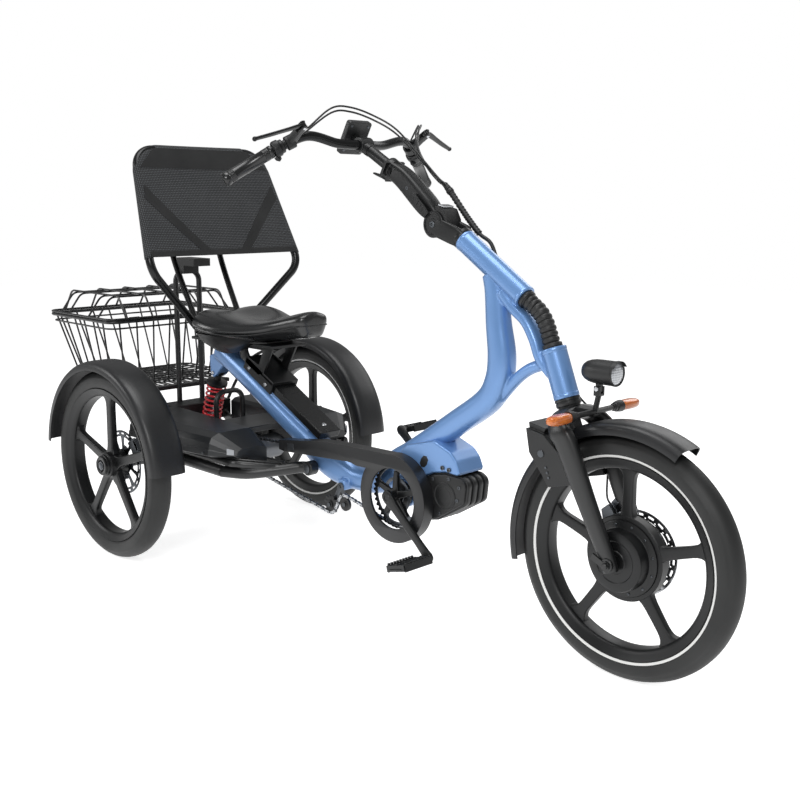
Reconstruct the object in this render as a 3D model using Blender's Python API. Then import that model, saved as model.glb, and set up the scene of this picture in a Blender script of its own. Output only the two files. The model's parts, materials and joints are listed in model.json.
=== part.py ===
"""A semi-recumbent tricycle with a hub motor in the front wheel and a sprung rear frame.

Lengths are in metres, +X points forward, +Y to the rider's left and +Z up.
Stations along the machine are measured from the front axle, and are negative
behind it. `at` turns a station, a side offset and a height into a place.
"""

import math
from dataclasses import dataclass

import bmesh
import bpy
from mathutils import Matrix, Vector

# Gaps between pieces
GAP = 0.0003
SHAFT_GAP = 0.0005

# Wheels
TYRE_RADIUS = 0.257
TYRE_HALF_WIDTH = 0.030
TYRE_STEPS = 32
WHEELBASE = 1.391
REAR = -WHEELBASE
TRACK = 0.706
RIM_SEAT_RADIUS = 0.2035
RIM_BARREL_RADIUS = 0.186
RIM_HALF_WIDTH = 0.028
SPOKES = 5
SPOKE_HALF_WIDTH = 0.012
SPOKE_ROOT_HALF_WIDTH = 0.025
SPOKE_HALF_THICKNESS = 0.010
MOTOR_DRUM_RADIUS = 0.080
MOTOR_COVER_RADIUS = 0.0625
MOTOR_HALF_WIDTH = 0.045
DRUM_STEPS = 20
FRONT_AXLE_RADIUS = 0.006
FRONT_DISC_RADIUS = 0.090
REAR_DISC_RADIUS = 0.087
DISC_THICKNESS = 0.002
HUB_RADIUS = 0.034
HUB_HALF_WIDTH = 0.030
REAR_STUB_RADIUS = 0.0085

# Mudguards
GUARD_SHEET = 0.0025
FRONT_GUARD_RADIUS = 0.281
FRONT_GUARD_HALF_WIDTH = 0.040
FRONT_GUARD_FROM = math.radians(62)
FRONT_GUARD_TO = math.radians(193)
REAR_GUARD_RADIUS = 0.283
REAR_GUARD_HALF_WIDTH = 0.050
REAR_GUARD_FROM = math.radians(4)
REAR_GUARD_TO = math.radians(174)

# Head tube and fork
HEAD_TOP = (-0.2006, 0.661)
HEAD_LOW = (-0.161, 0.561)
HEAD_TUBE_RADIUS = 0.027
STEERER_RADIUS = 0.0145
STEERER_NECK_RADIUS = 0.0055
JOINT_BALL_RADIUS = 0.0062
BLADE_OFFSET = 0.0605
CROWN_OFFSET = 0.070
RACE_RADIUS = 0.0265

# Upper steering tube, boot and stem
STEER_TOP = (-0.452, 0.876)
STEER_LOW = (-0.278, 0.761)
STEER_TUBE_RADIUS = 0.025
STEER_SHAFT_RADIUS = 0.0100
BOOT_RADIUS = 0.0185
BOOT_RIB_DEPTH = 0.0028
BOOT_BORE = 0.0146
BOOT_RIBS = 9
STEM_HINGE = (-0.5235, 0.909)
HINGE_DISC_RADIUS = 0.030
HINGE_HALF_WIDTH = 0.030
HINGE_TONGUE_HALF = 0.0150
MAST_TOP = (-0.690, 1.038)
QUILL_RADIUS = 0.0140
BAR_CLAMP = (-0.780, 1.089)
BAR_RADIUS = 0.0111
GRIP_RADIUS = 0.0165

# Frame tubes
BOOM_HALF_WIDTH = 0.030
BOOM_HALF_HEIGHT = 0.030
FRONT_BOOM_RADIUS = 0.0295
SPINE_HALF_WIDTH = 0.0225
SPINE_HALF_HEIGHT = 0.0125
BRACE_RADIUS = 0.0130
BB = (-0.6007, 0.273)
BB_SHELL_RADIUS = 0.034
BB_HALF_WIDTH = 0.036

# Crank and chain
CRANK_FORWARD = 0.1325
CRANK_DOWN = 0.1143
CRANK_PLANE = 0.088
CRANK_ARM_HALF = 0.006
SPINDLE_RADIUS = 0.0085
PEDAL_SPINDLE_RADIUS = 0.0055
PEDAL_INNER = 0.106
PEDAL_OUTER = 0.196
PEDAL_HALF_DEPTH = 0.030
PEDAL_HALF_HEIGHT = 0.0105
CHAIN_PITCH = 0.0127
CHAIN_PLANE = -0.058
CHAIN_HALF_WIDTH = 0.0040
CHAIN_PLATE = 0.0018
CHAIN_HALF_HEIGHT = 0.0042
TOOTH_HEIGHT = 0.0028
RING_TEETH = 38
SPROCKET_TEETH = 20
PULLEY_TEETH = 11
RING_THICKNESS = 0.0020
GUARD_RING_RADIUS = 0.107
GUARD_HOLE_RADIUS = 0.0735
GUARD_WALL = 0.0025
GUARD_OUTER_FACE = -0.0785
GUARD_INNER_FACE = -0.0460

# Rear frame
SWING_PIVOT = (-0.930, 0.276)
SWING_TUBE_RADIUS = 0.0155
SWING_SIDE = 0.195
COVER_INNER = 0.092
AXLE_TUBE_RADIUS = 0.0170
SWING_PIN_RADIUS = 0.006
GEAR_HUB = (-1.190, 0.280)
GEAR_HUB_RADIUS = 0.034
GEAR_AXLE_RADIUS = 0.005
HANGER = (-0.811, 0.250)
HANGER_FACE = -0.0480
PULLEY_REAR = (-0.840, 0.200)
PULLEY_FRONT = (-0.783, 0.212)
PULLEY_PIN_RADIUS = 0.003

BEAM_STATIONS = (REAR - 0.087, REAR - 0.161)
BEAM_HEIGHTS = (0.310, 0.365)
GUARD_STAY_HEIGHT = 0.494

# Shock absorber
SHOCK_TOP = (-1.393, 0.467)
SHOCK_FOOT = (REAR - 0.055, 0.300)
SHOCK_PIN_RADIUS = 0.004
SHOCK_EYE_RADIUS = 0.013
SHOCK_EYE_HALF = 0.011
SPRING_END_RISE = 0.0075
SPRING_RADIUS = 0.0260
SPRING_WIRE_RADIUS = 0.0030
SPRING_TURNS = 7.5
DAMPER_RADIUS = 0.0165
SHOCK_ROD_RADIUS = 0.0075

# Seat
RAIL_HALF_WIDTH = 0.035
RAIL_BASE = 0.046
RAIL_HEIGHT = 0.022
SEAT_TUBE_RADIUS = 0.0115
PANEL_THICKNESS = 0.003
SEAT_PLATE = (0.5720, 0.5800)

# Basket and carrier
WIRE_HALF = 0.0025
RIM_WIRE_HALF = 0.0045
BASKET_REAR = REAR - 0.561
BASKET_FRONT = REAR - 0.203
BASKET_HALF_WIDTH = 0.230
BASKET_RIM_HEIGHT = 0.609
BASKET_FLOOR_REAR = REAR - 0.465
BASKET_FLOOR_FRONT = REAR - 0.231
BASKET_FLOOR_HALF_WIDTH = 0.200
BASKET_FLOOR_HEIGHT = 0.420
LID_HEIGHT = 0.680

RACK_TOP = BASKET_FLOOR_HEIGHT - WIRE_HALF - GAP
GUARD_STAY_END = TRACK / 2 - REAR_GUARD_HALF_WIDTH - 2 * GAP
AXLE_HEIGHT = TYRE_RADIUS * math.cos(math.pi / TYRE_STEPS)
# The overall box is centred on X = 0: the basket's rim is the rearmost point.
FRONT_AXLE_X = (-BASKET_REAR + RIM_WIRE_HALF - TYRE_RADIUS * math.cos(math.pi / TYRE_STEPS)) / 2

X = Vector((1, 0, 0))
Y = Vector((0, 1, 0))
Z = Vector((0, 0, 1))


def at(station, side, height):
    """The place at a station ahead of the front axle, a side offset and a height."""
    return Vector((FRONT_AXLE_X + station, side, height))


def spot(pair, side=0.0):
    """The place of a (station, height) pair."""
    return at(pair[0], side, pair[1])


def unit(start, end):
    """The direction from one point to another."""
    return (end - start).normalized()


@dataclass
class Shape:
    """A closed surface as points and faces, before it becomes an object."""

    points: list
    faces: list

    def volume(self):
        total = 0.0
        for face in self.faces:
            first = self.points[face[0]]
            for a, b in zip(face[1:-1], face[2:]):
                total += first.dot(self.points[a].cross(self.points[b]))
        return total

    def outward(self):
        """The same surface with its faces pointing out."""
        if self.volume() < 0:
            self.faces = [tuple(reversed(face)) for face in self.faces]
        return self

    def moved(self, offset):
        return Shape([point + offset for point in self.points], list(self.faces))

    def turned(self, centre, axis, angle):
        """The same surface turned about an axis through a point."""
        matrix = Matrix.Rotation(angle, 3, axis)
        return Shape([matrix @ (p - centre) + centre for p in self.points], list(self.faces))

    def mirrored(self):
        """The same surface on the machine's other side."""
        points = [Vector((p.x, -p.y, p.z)) for p in self.points]
        return Shape(points, [tuple(reversed(face)) for face in self.faces])


def rings_to_shape(rings, closed=False):
    """Join rings of points into a surface. A ring of one point is a pole."""
    points = []
    index = []
    for ring in rings:
        index.append(list(range(len(points), len(points) + len(ring))))
        points.extend(ring)
    faces = []
    pairs = list(zip(index, index[1:]))
    if closed:
        pairs.append((index[-1], index[0]))
    for low, high in pairs:
        count = max(len(low), len(high))
        for k in range(count):
            n = (k + 1) % count
            if len(low) == 1:
                faces.append((low[0], high[k], high[n]))
            elif len(high) == 1:
                faces.append((low[k], high[0], low[n]))
            else:
                faces.append((low[k], high[k], high[n], low[n]))
    if not closed:
        if len(index[0]) > 1:
            faces.append(tuple(index[0]))
        if len(index[-1]) > 1:
            faces.append(tuple(reversed(index[-1])))
    return Shape(points, faces).outward()


def smooth(points, steps=4, closed=False):
    """Points along a smooth curve through the given ones."""
    count = len(points)
    result = []
    last = count if closed else count - 1
    for k in range(last):
        p1 = points[k]
        p2 = points[(k + 1) % count]
        p0 = points[k - 1] if k or closed else p1 * 2 - p2
        p3 = points[(k + 2) % count] if closed or k + 2 < count else p2 * 2 - p1
        for step in range(steps):
            t = step / steps
            result.append(
                (p1 * 2 + (p2 - p0) * t + (p0 * 2 - p1 * 5 + p2 * 4 - p3) * t * t
                 + (p1 * 3 - p0 - p2 * 3 + p3) * t ** 3) * 0.5
            )
    if not closed:
        result.append(points[-1].copy())
    return result


def blend(values, steps=4):
    """Values spread evenly between the given ones, to go with `smooth`."""
    result = []
    for a, b in zip(values, values[1:]):
        for step in range(steps):
            t = step / steps
            result.append(tuple(u + (v - u) * t for u, v in zip(a, b)))
    result.append(tuple(values[-1]))
    return result


def rounded(points, radius, steps=4, closed=False):
    """A run of straight lines with each corner rounded to a radius."""
    result = []
    count = len(points)
    for k, point in enumerate(points):
        if not closed and k in (0, count - 1):
            result.append(point.copy())
            continue
        back = unit(point, points[k - 1])
        ahead = unit(point, points[(k + 1) % count])
        half = back.angle(ahead) / 2
        reach = radius / math.tan(half)
        centre = point + (back + ahead).normalized() * (radius / math.sin(half))
        start = point + back * reach - centre
        end = point + ahead * reach - centre
        sweep_angle = start.angle(end)
        for step in range(steps + 1):
            t = step / steps
            a = math.sin((1 - t) * sweep_angle) / math.sin(sweep_angle)
            b = math.sin(t * sweep_angle) / math.sin(sweep_angle)
            result.append(centre + start * a + end * b)
    return result


def section(sides, across, along, square=1.0):
    """Points of a round or squared section, a flat at each quarter."""
    result = []
    for k in range(sides):
        angle = 2 * math.pi * (k + 0.5) / sides
        c = math.cos(angle)
        s = math.sin(angle)
        result.append((
            across * math.copysign(abs(c) ** square, c),
            along * math.copysign(abs(s) ** square, s),
        ))
    return result


def sweep(path, sizes, sides=10, side=None, closed=False, square=1.0, outline=None):
    """A tube along a path. Each size is (half across `side`, half the other way)."""
    count = len(path)
    if isinstance(sizes, (int, float)):
        sizes = (sizes, sizes)
    if isinstance(sizes, tuple):
        sizes = [sizes] * count
    rings = []
    across = side
    for k, point in enumerate(path):
        before = path[k - 1] if k or closed else None
        after = path[(k + 1) % count] if closed or k + 1 < count else None
        if before is None:
            tangent = unit(point, after)
        elif after is None:
            tangent = unit(before, point)
        else:
            tangent = (unit(before, point) + unit(point, after)).normalized()
        if across is None:
            across = tangent.cross(Z if abs(tangent.z) < 0.9 else X).normalized()
        first = ((side or across) - tangent * tangent.dot(side or across)).normalized()
        across = first
        second = tangent.cross(first)
        stretch = 1.0
        bend_axis = first
        if before is not None and after is not None:
            turn = unit(before, point).angle(unit(point, after), 0.0)
            stretch = 1 / math.cos(turn / 2)
            inward = unit(point, after) - unit(before, point)
            if inward.length > 1e-6:
                bend_axis = inward.normalized()
        ring = []
        shape = outline or section(sides, sizes[k][0], sizes[k][1], square)
        for a, b in shape:
            offset = first * a + second * b
            ring.append(point + offset + bend_axis * (offset.dot(bend_axis) * (stretch - 1)))
        rings.append(ring)
    return rings_to_shape(rings, closed)


def rod(start, end, radius, sides=12, end_radius=None):
    """A straight round bar, or a taper."""
    last = radius if end_radius is None else end_radius
    return sweep([start, end], [(radius, radius), (last, last)], sides)


def turned(profile, centre, axis, steps=24, start=0.0, end=None, across=None):
    """A profile of (radius, distance along the axis) turned about the axis.

    A profile that starts and ends on the axis gives a solid; any other closes on
    itself and gives a ring. With `end` the turn stops there, and the ends are capped.
    """
    axis = axis.normalized()
    if across is None:
        across = (X if abs(axis.x) < 0.9 else Z)
    across = (across - axis * axis.dot(across)).normalized()
    other = across.cross(axis)
    solid = profile[0][0] == 0 and profile[-1][0] == 0
    if end is not None:
        rings = []
        for k in range(steps + 1):
            angle = start + (end - start) * k / steps
            ray = across * math.cos(angle) + other * math.sin(angle)
            rings.append([centre + ray * r + axis * d for r, d in profile])
        return rings_to_shape(rings)
    rings = []
    for r, d in profile:
        if r == 0:
            rings.append([centre + axis * d])
            continue
        ring = []
        for k in range(steps):
            angle = start + 2 * math.pi * (k + 0.5) / steps
            ray = across * math.cos(angle) + other * math.sin(angle)
            ring.append(centre + ray * r + axis * d)
        rings.append(ring)
    return rings_to_shape(rings, closed=not solid)


def ring_bore(shaft_radius, steps, gap=SHAFT_GAP):
    """The corner radius of a faceted bore that clears a shaft all round."""
    return (shaft_radius + gap) / math.cos(math.pi / steps)


def sleeve(start, end, outer, bore, steps=16):
    """A straight tube with a bore."""
    length = (end - start).length
    profile = [(bore, 0), (outer, 0), (outer, length), (bore, length)]
    return turned(profile, start, end - start, steps)


def prism(outline, depth):
    """A flat outline pushed along a vector."""
    return rings_to_shape([list(outline), [point + depth for point in outline]])


def slab(outline, near, far):
    """An outline of (station, height) pairs between two side offsets."""
    return prism([spot(pair, near) for pair in outline], Y * (far - near))


def box(low, high):
    """A box between two corners."""
    outline = [
        Vector((low.x, low.y, low.z)), Vector((high.x, low.y, low.z)),
        Vector((high.x, high.y, low.z)), Vector((low.x, high.y, low.z)),
    ]
    return prism(outline, Z * (high.z - low.z))


def beam(start, end, half_width, half_height, side=Y):
    """A straight bar of rectangular section."""
    direction = unit(start, end)
    across = (side - direction * direction.dot(side)).normalized() * half_width
    up = direction.cross(across).normalized() * half_height
    outline = [start + across + up, start - across + up, start - across - up, start + across - up]
    return prism(outline, end - start)


def disc(centre, axis, radius, thickness, steps=24):
    """A round plate, centred on its thickness."""
    profile = [(0, -thickness / 2), (radius, -thickness / 2), (radius, thickness / 2), (0, thickness / 2)]
    return turned(profile, centre, axis, steps)


def clear_scene():
    """Remove whatever the scene holds."""
    for obj in list(bpy.data.objects):
        bpy.data.objects.remove(obj, do_unlink=True)


def material(name, colour, roughness, metallic=0.0):
    """A Principled material from a hex colour."""
    made = bpy.data.materials.new(name)
    made.use_nodes = True
    node = made.node_tree.nodes["Principled BSDF"]
    channels = [int(colour[k:k + 2], 16) / 255 for k in (0, 2, 4)]
    linear = [c / 12.92 if c <= 0.04045 else ((c + 0.055) / 1.055) ** 2.4 for c in channels]
    node.inputs["Base Color"].default_value = (*linear, 1)
    node.inputs["Roughness"].default_value = roughness
    node.inputs["Metallic"].default_value = metallic
    made.diffuse_color = (*linear, 1)
    return made


# Colour, roughness and metallic value of each finish
FINISHES = {
    "blue_paint": ("86A9DA", 0.35, 0.0),
    "black_paint": ("1B1C1E", 0.45, 0.0),
    "black_satin": ("232427", 0.40, 0.2),
    "rubber": ("1A1A1B", 0.85, 0.0),
    "black_plastic": ("26272A", 0.55, 0.0),
    "grey_plastic": ("4A4C50", 0.50, 0.0),
    "steel": ("A9ABAE", 0.30, 1.0),
    "aluminium": ("8D8F92", 0.40, 1.0),
    "red_paint": ("C4202A", 0.35, 0.0),
    "vinyl": ("17181A", 0.30, 0.0),
    "mesh_fabric": ("2C2D30", 0.90, 0.0),
    "amber_lens": ("C6581C", 0.25, 0.0),
    "screen": ("0E0F12", 0.15, 0.0),
}


def mesh_of(name, shape, origin):
    """A mesh with its points measured from an origin."""
    drawing = bmesh.new()
    points = [drawing.verts.new(point - origin) for point in shape.points]
    for face in shape.faces:
        drawing.faces.new([points[k] for k in face])
    mesh = bpy.data.meshes.new(name)
    drawing.to_mesh(mesh)
    drawing.free()
    return mesh


class Machine:
    """Holds the empties that carry the moving bodies, and makes each piece."""

    def __init__(self):
        self.bodies = {}
        self.helpers = bpy.data.collections.new("construction")
        bpy.context.scene.collection.children.link(self.helpers)
        self.helpers.hide_render = True

    def body(self, name, place, parent=None):
        """An empty on a body's joint axis."""
        empty = bpy.data.objects.new(name, None)
        empty.empty_display_size = 0.05
        bpy.context.scene.collection.objects.link(empty)
        base = Vector((0, 0, 0))
        if parent:
            empty.parent = self.bodies[parent][0]
            base = self.bodies[parent][1]
        empty.location = place - base
        self.bodies[name] = (empty, place)

    def operand(self, name, shapes, origin, owner):
        """Construction shapes that a Boolean joins to, or cuts from, a piece."""
        group = bpy.data.collections.new(name)
        self.helpers.children.link(group)
        for number, shape in enumerate(shapes):
            mesh = mesh_of(f"{name}_{number}", shape, origin)
            obj = bpy.data.objects.new(f"{name}_{number}", mesh)
            group.objects.link(obj)
            obj.parent = owner
            obj.hide_render = True
            obj.display_type = "WIRE"
        return group

    def piece(self, name, body, finish, shapes, cuts=(), sharp=35):
        """One sub-part: shapes joined together, less its cuts, carried by a body."""
        if isinstance(shapes, Shape):
            shapes = [shapes]
        owner, origin = self.bodies[body]
        mesh = mesh_of(name, shapes[0], origin)
        mesh.materials.append(material(name, *FINISHES[finish]))
        obj = bpy.data.objects.new(name, mesh)
        bpy.context.scene.collection.objects.link(obj)
        obj.parent = owner
        for operation, operands in (("UNION", shapes[1:]), ("DIFFERENCE", cuts)):
            if not operands:
                continue
            boolean = obj.modifiers.new(operation.title(), "BOOLEAN")
            boolean.operation = operation
            boolean.operand_type = "COLLECTION"
            boolean.solver = "EXACT"
            boolean.collection = self.operand(f"{name}_{operation.lower()}", operands, origin, owner)
        mesh.shade_smooth()
        mesh.set_sharp_from_angle(angle=math.radians(sharp))
        return obj

    def copy(self, name, body, original):
        """The same piece again, at another body's place."""
        owner, _ = self.bodies[body]
        obj = bpy.data.objects.new(name, original.data)
        bpy.context.scene.collection.objects.link(obj)
        obj.parent = owner
        for modifier in original.modifiers:
            boolean = obj.modifiers.new(modifier.name, "BOOLEAN")
            boolean.operation = modifier.operation
            boolean.operand_type = "COLLECTION"
            boolean.solver = "EXACT"
            group = bpy.data.collections.new(f"{name}_{modifier.operation.lower()}")
            self.helpers.children.link(group)
            for helper in modifier.collection.objects:
                twin = bpy.data.objects.new(f"{name}_{helper.name}", helper.data)
                group.objects.link(twin)
                twin.parent = owner
                twin.hide_render = True
                twin.display_type = "WIRE"
            boolean.collection = group
        return obj


# Wheels


def wheel_profile_tyre():
    """Half sections of the tyre: (radius, side)."""
    low = RIM_SEAT_RADIUS + GAP / math.cos(math.pi / TYRE_STEPS)
    inner = RIM_HALF_WIDTH - 0.007
    height = TYRE_RADIUS - low
    near = [(low, inner), (low + height * 0.42, TYRE_HALF_WIDTH), (TYRE_RADIUS, TYRE_HALF_WIDTH * 0.40)]
    return [(r, -d) for r, d in near] + [(r, d) for r, d in reversed(near)]


def wheel_profile_rim():
    """The rim's ring section: barrel, flanges and the seat of the tyre."""
    barrel = RIM_HALF_WIDTH * 0.68
    return [
        (RIM_BARREL_RADIUS, -barrel), (RIM_SEAT_RADIUS, -RIM_HALF_WIDTH),
        (RIM_SEAT_RADIUS, RIM_HALF_WIDTH), (RIM_BARREL_RADIUS, barrel),
    ]


def spoke_shapes(centre, root):
    """Cast spokes from the hub ring out to the barrel, each flared at the rim."""
    shapes = []
    reach = RIM_BARREL_RADIUS + 0.005
    for k in range(SPOKES):
        angle = math.pi / 2 + 2 * math.pi * k / SPOKES
        ray = X * math.cos(angle) + Z * math.sin(angle)
        across = X * -math.sin(angle) + Z * math.cos(angle)
        half = [
            (root, SPOKE_HALF_WIDTH), (RIM_BARREL_RADIUS - 0.014, SPOKE_HALF_WIDTH), (reach, SPOKE_ROOT_HALF_WIDTH),
        ]
        outline = [ray * r - across * w for r, w in half] + [ray * r + across * w for r, w in reversed(half)]
        start = centre - Y * SPOKE_HALF_THICKNESS
        shapes.append(prism([start + point for point in outline], Y * 2 * SPOKE_HALF_THICKNESS))
    return shapes


def brake_disc(centre, radius, hub_radius, bore):
    """A braking band on five arms round a hub ring, flat to the wheel's side."""
    half = DISC_THICKNESS / 2
    band = radius - 0.017
    shapes = [
        turned([(band, -half), (radius, -half), (radius, half), (band, half)], centre, Y, 16),
        turned([(bore, -half * 0.9), (hub_radius, -half * 0.9), (hub_radius, half * 0.9), (bore, half * 0.9)],
               centre, Y, 8),
    ]
    for k in range(SPOKES):
        angle = math.pi / 2 + 2 * math.pi * (k + 0.5) / SPOKES
        ray = X * math.cos(angle) + Z * math.sin(angle)
        across = X * -math.sin(angle) + Z * math.cos(angle)
        start = centre + ray * (hub_radius - 0.004) + Y * (-half * 0.8)
        end = centre + ray * (band + 0.005) + Y * (-half * 0.8) + across * 0.012
        outline = [start - across * 0.006, end - across * 0.006, end + across * 0.006, start + across * 0.006]
        shapes.append(prism(outline, Y * half * 1.6))
    return shapes


def build_wheels(machine):
    """The three wheels, each turning about its own axle."""
    front = at(0, 0, AXLE_HEIGHT)
    machine.body("front_wheel_axis", front, "fork_axis")
    drum_bore = ring_bore(FRONT_AXLE_RADIUS, DRUM_STEPS, GAP)
    seat = MOTOR_DRUM_RADIUS + GAP
    hub_ring = turned(
        [(seat, -SPOKE_HALF_THICKNESS * 1.1), (seat + 0.008, -SPOKE_HALF_THICKNESS * 1.1),
         (seat + 0.008, SPOKE_HALF_THICKNESS * 1.1), (seat, SPOKE_HALF_THICKNESS * 1.1)], front, Y, DRUM_STEPS)
    rim = turned(wheel_profile_rim(), front, Y, TYRE_STEPS)
    machine.piece("front_rim", "front_wheel_axis", "black_satin",
                  [rim, hub_ring] + spoke_shapes(front, seat + 0.004))
    machine.piece("front_tyre", "front_wheel_axis", "rubber",
                  turned(wheel_profile_tyre(), front, Y, TYRE_STEPS))
    disc_seat = MOTOR_HALF_WIDTH - DISC_THICKNESS - GAP
    shell = [
        (drum_bore, -MOTOR_HALF_WIDTH), (MOTOR_COVER_RADIUS - 0.004, -MOTOR_HALF_WIDTH),
        (MOTOR_COVER_RADIUS, -0.018), (MOTOR_DRUM_RADIUS, -0.015), (MOTOR_DRUM_RADIUS, 0.033),
        (0.026, 0.036), (0.026, disc_seat), (drum_bore, disc_seat),
    ]
    machine.piece("front_hub_motor", "front_wheel_axis", "black_satin",
                  turned(shell, front, Y, DRUM_STEPS))
    machine.piece("front_disc", "front_wheel_axis", "steel",
                  brake_disc(front + Y * (disc_seat + GAP + DISC_THICKNESS / 2), FRONT_DISC_RADIUS, 0.030,
                             0.018))

    rims = {}
    for side, sign in (("right", -1), ("left", 1)):
        centre = at(-WHEELBASE, sign * TRACK / 2, AXLE_HEIGHT)
        machine.body(f"rear_wheel_{side}_axis", centre, "rear_frame_axis")
        if rims:
            for part in ("rim", "tyre"):
                machine.copy(f"rear_{part}_{side}", f"rear_wheel_{side}_axis", rims[part])
        else:
            bore = ring_bore(REAR_STUB_RADIUS, 12, GAP)
            hub = turned(
                [(bore, -HUB_HALF_WIDTH), (HUB_RADIUS, -HUB_HALF_WIDTH), (HUB_RADIUS, HUB_HALF_WIDTH),
                 (bore, HUB_HALF_WIDTH)], centre, Y, 12)
            ring = turned(wheel_profile_rim(), centre, Y, TYRE_STEPS)
            rims["rim"] = machine.piece(
                f"rear_rim_{side}", f"rear_wheel_{side}_axis", "black_satin",
                [ring, hub] + spoke_shapes(centre, HUB_RADIUS - 0.006))
            rims["tyre"] = machine.piece(
                f"rear_tyre_{side}", f"rear_wheel_{side}_axis", "rubber",
                turned(wheel_profile_tyre(), centre, Y, TYRE_STEPS))
        disc_place = centre - Y * sign * (HUB_HALF_WIDTH + GAP + DISC_THICKNESS / 2)
        machine.piece(f"rear_disc_{side}", f"rear_wheel_{side}_axis", "steel",
                      brake_disc(disc_place, REAR_DISC_RADIUS, 0.026, ring_bore(REAR_STUB_RADIUS, 8, 0.002)))


def guard_profile(radius, half_width, sheet):
    """The section of a mudguard: a rounded crest with a skirt down each side."""
    outer = [
        (radius - 0.024, half_width), (radius - 0.008, half_width * 0.93),
        (radius, half_width * 0.55),
    ]
    inner = [
        (radius - 0.024, half_width - sheet), (radius - 0.008 - sheet, half_width * 0.93 - sheet),
        (radius - sheet, half_width * 0.55 - sheet * 0.4),
    ]
    ring = [(r, -d) for r, d in outer] + [(r, d) for r, d in reversed(outer)]
    return ring + [(r, d) for r, d in inner] + [(r, -d) for r, d in reversed(inner)]


def build_guards(machine):
    """The three mudguards."""
    front = at(0, 0, AXLE_HEIGHT)
    arch = turned(guard_profile(FRONT_GUARD_RADIUS, FRONT_GUARD_HALF_WIDTH, GUARD_SHEET), front, Y, 11,
                  start=FRONT_GUARD_FROM, end=FRONT_GUARD_TO, across=X)
    crown = crown_path()[len(crown_path()) // 2]
    top = crown - HEAD_UP * (0.014 + GAP + 0.0003)
    foot = top - HEAD_UP * ((top - front).length - FRONT_GUARD_RADIUS + 0.0014)
    block = beam(foot, top, 0.012, 0.009)
    machine.piece("front_mudguard", "fork_axis", "black_plastic", [arch, block])
    for side, sign in (("right", -1), ("left", 1)):
        centre = at(-WHEELBASE, sign * TRACK / 2, AXLE_HEIGHT)
        shape = turned(guard_profile(REAR_GUARD_RADIUS, REAR_GUARD_HALF_WIDTH, GUARD_SHEET), centre, Y, 12,
                       start=REAR_GUARD_FROM, end=REAR_GUARD_TO, across=X)
        machine.piece(f"rear_mudguard_{side}", "rear_frame_axis", "black_plastic", shape)


# Fork and what it carries

HEAD_UP = unit(spot(HEAD_LOW), spot(HEAD_TOP))
HEAD_FORE = Vector((HEAD_UP.z, 0, -HEAD_UP.x))
STEER_UP = unit(spot(STEER_LOW), spot(STEER_TOP))


def steering_joint():
    """Where the head axis meets the upper steering axis."""
    a = spot(HEAD_TOP)
    b = spot(STEER_LOW)
    gap = b - a
    cross = HEAD_UP.x * STEER_UP.z - HEAD_UP.z * STEER_UP.x
    along = (gap.x * STEER_UP.z - gap.z * STEER_UP.x) / cross
    return a + HEAD_UP * along


def head_point(height):
    """The point on the head axis at a height."""
    low = spot(HEAD_LOW)
    return low + HEAD_UP * ((height - low.z) / HEAD_UP.z)


def blade_points():
    """One blade's centre line, from below the axle up to the middle of the crown."""
    return [
        at(0.004, -BLADE_OFFSET + 0.0005, AXLE_HEIGHT - 0.016),
        at(-0.006, -BLADE_OFFSET, AXLE_HEIGHT + 0.010),
        at(-0.060, -(BLADE_OFFSET * 0.7 + CROWN_OFFSET * 0.3), 0.375),
        at(-0.106, -CROWN_OFFSET, 0.480),
        at(-0.126, -CROWN_OFFSET, 0.508),
        at(-0.141, -CROWN_OFFSET * 0.68, 0.528),
        at(-0.146, 0, 0.534),
    ]


def crown_path():
    """The whole fork's centre line, right blade to left blade over the crown."""
    half = blade_points()
    return half + [Vector((p.x, -p.y, p.z)) for p in reversed(half[:-1])]


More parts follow.
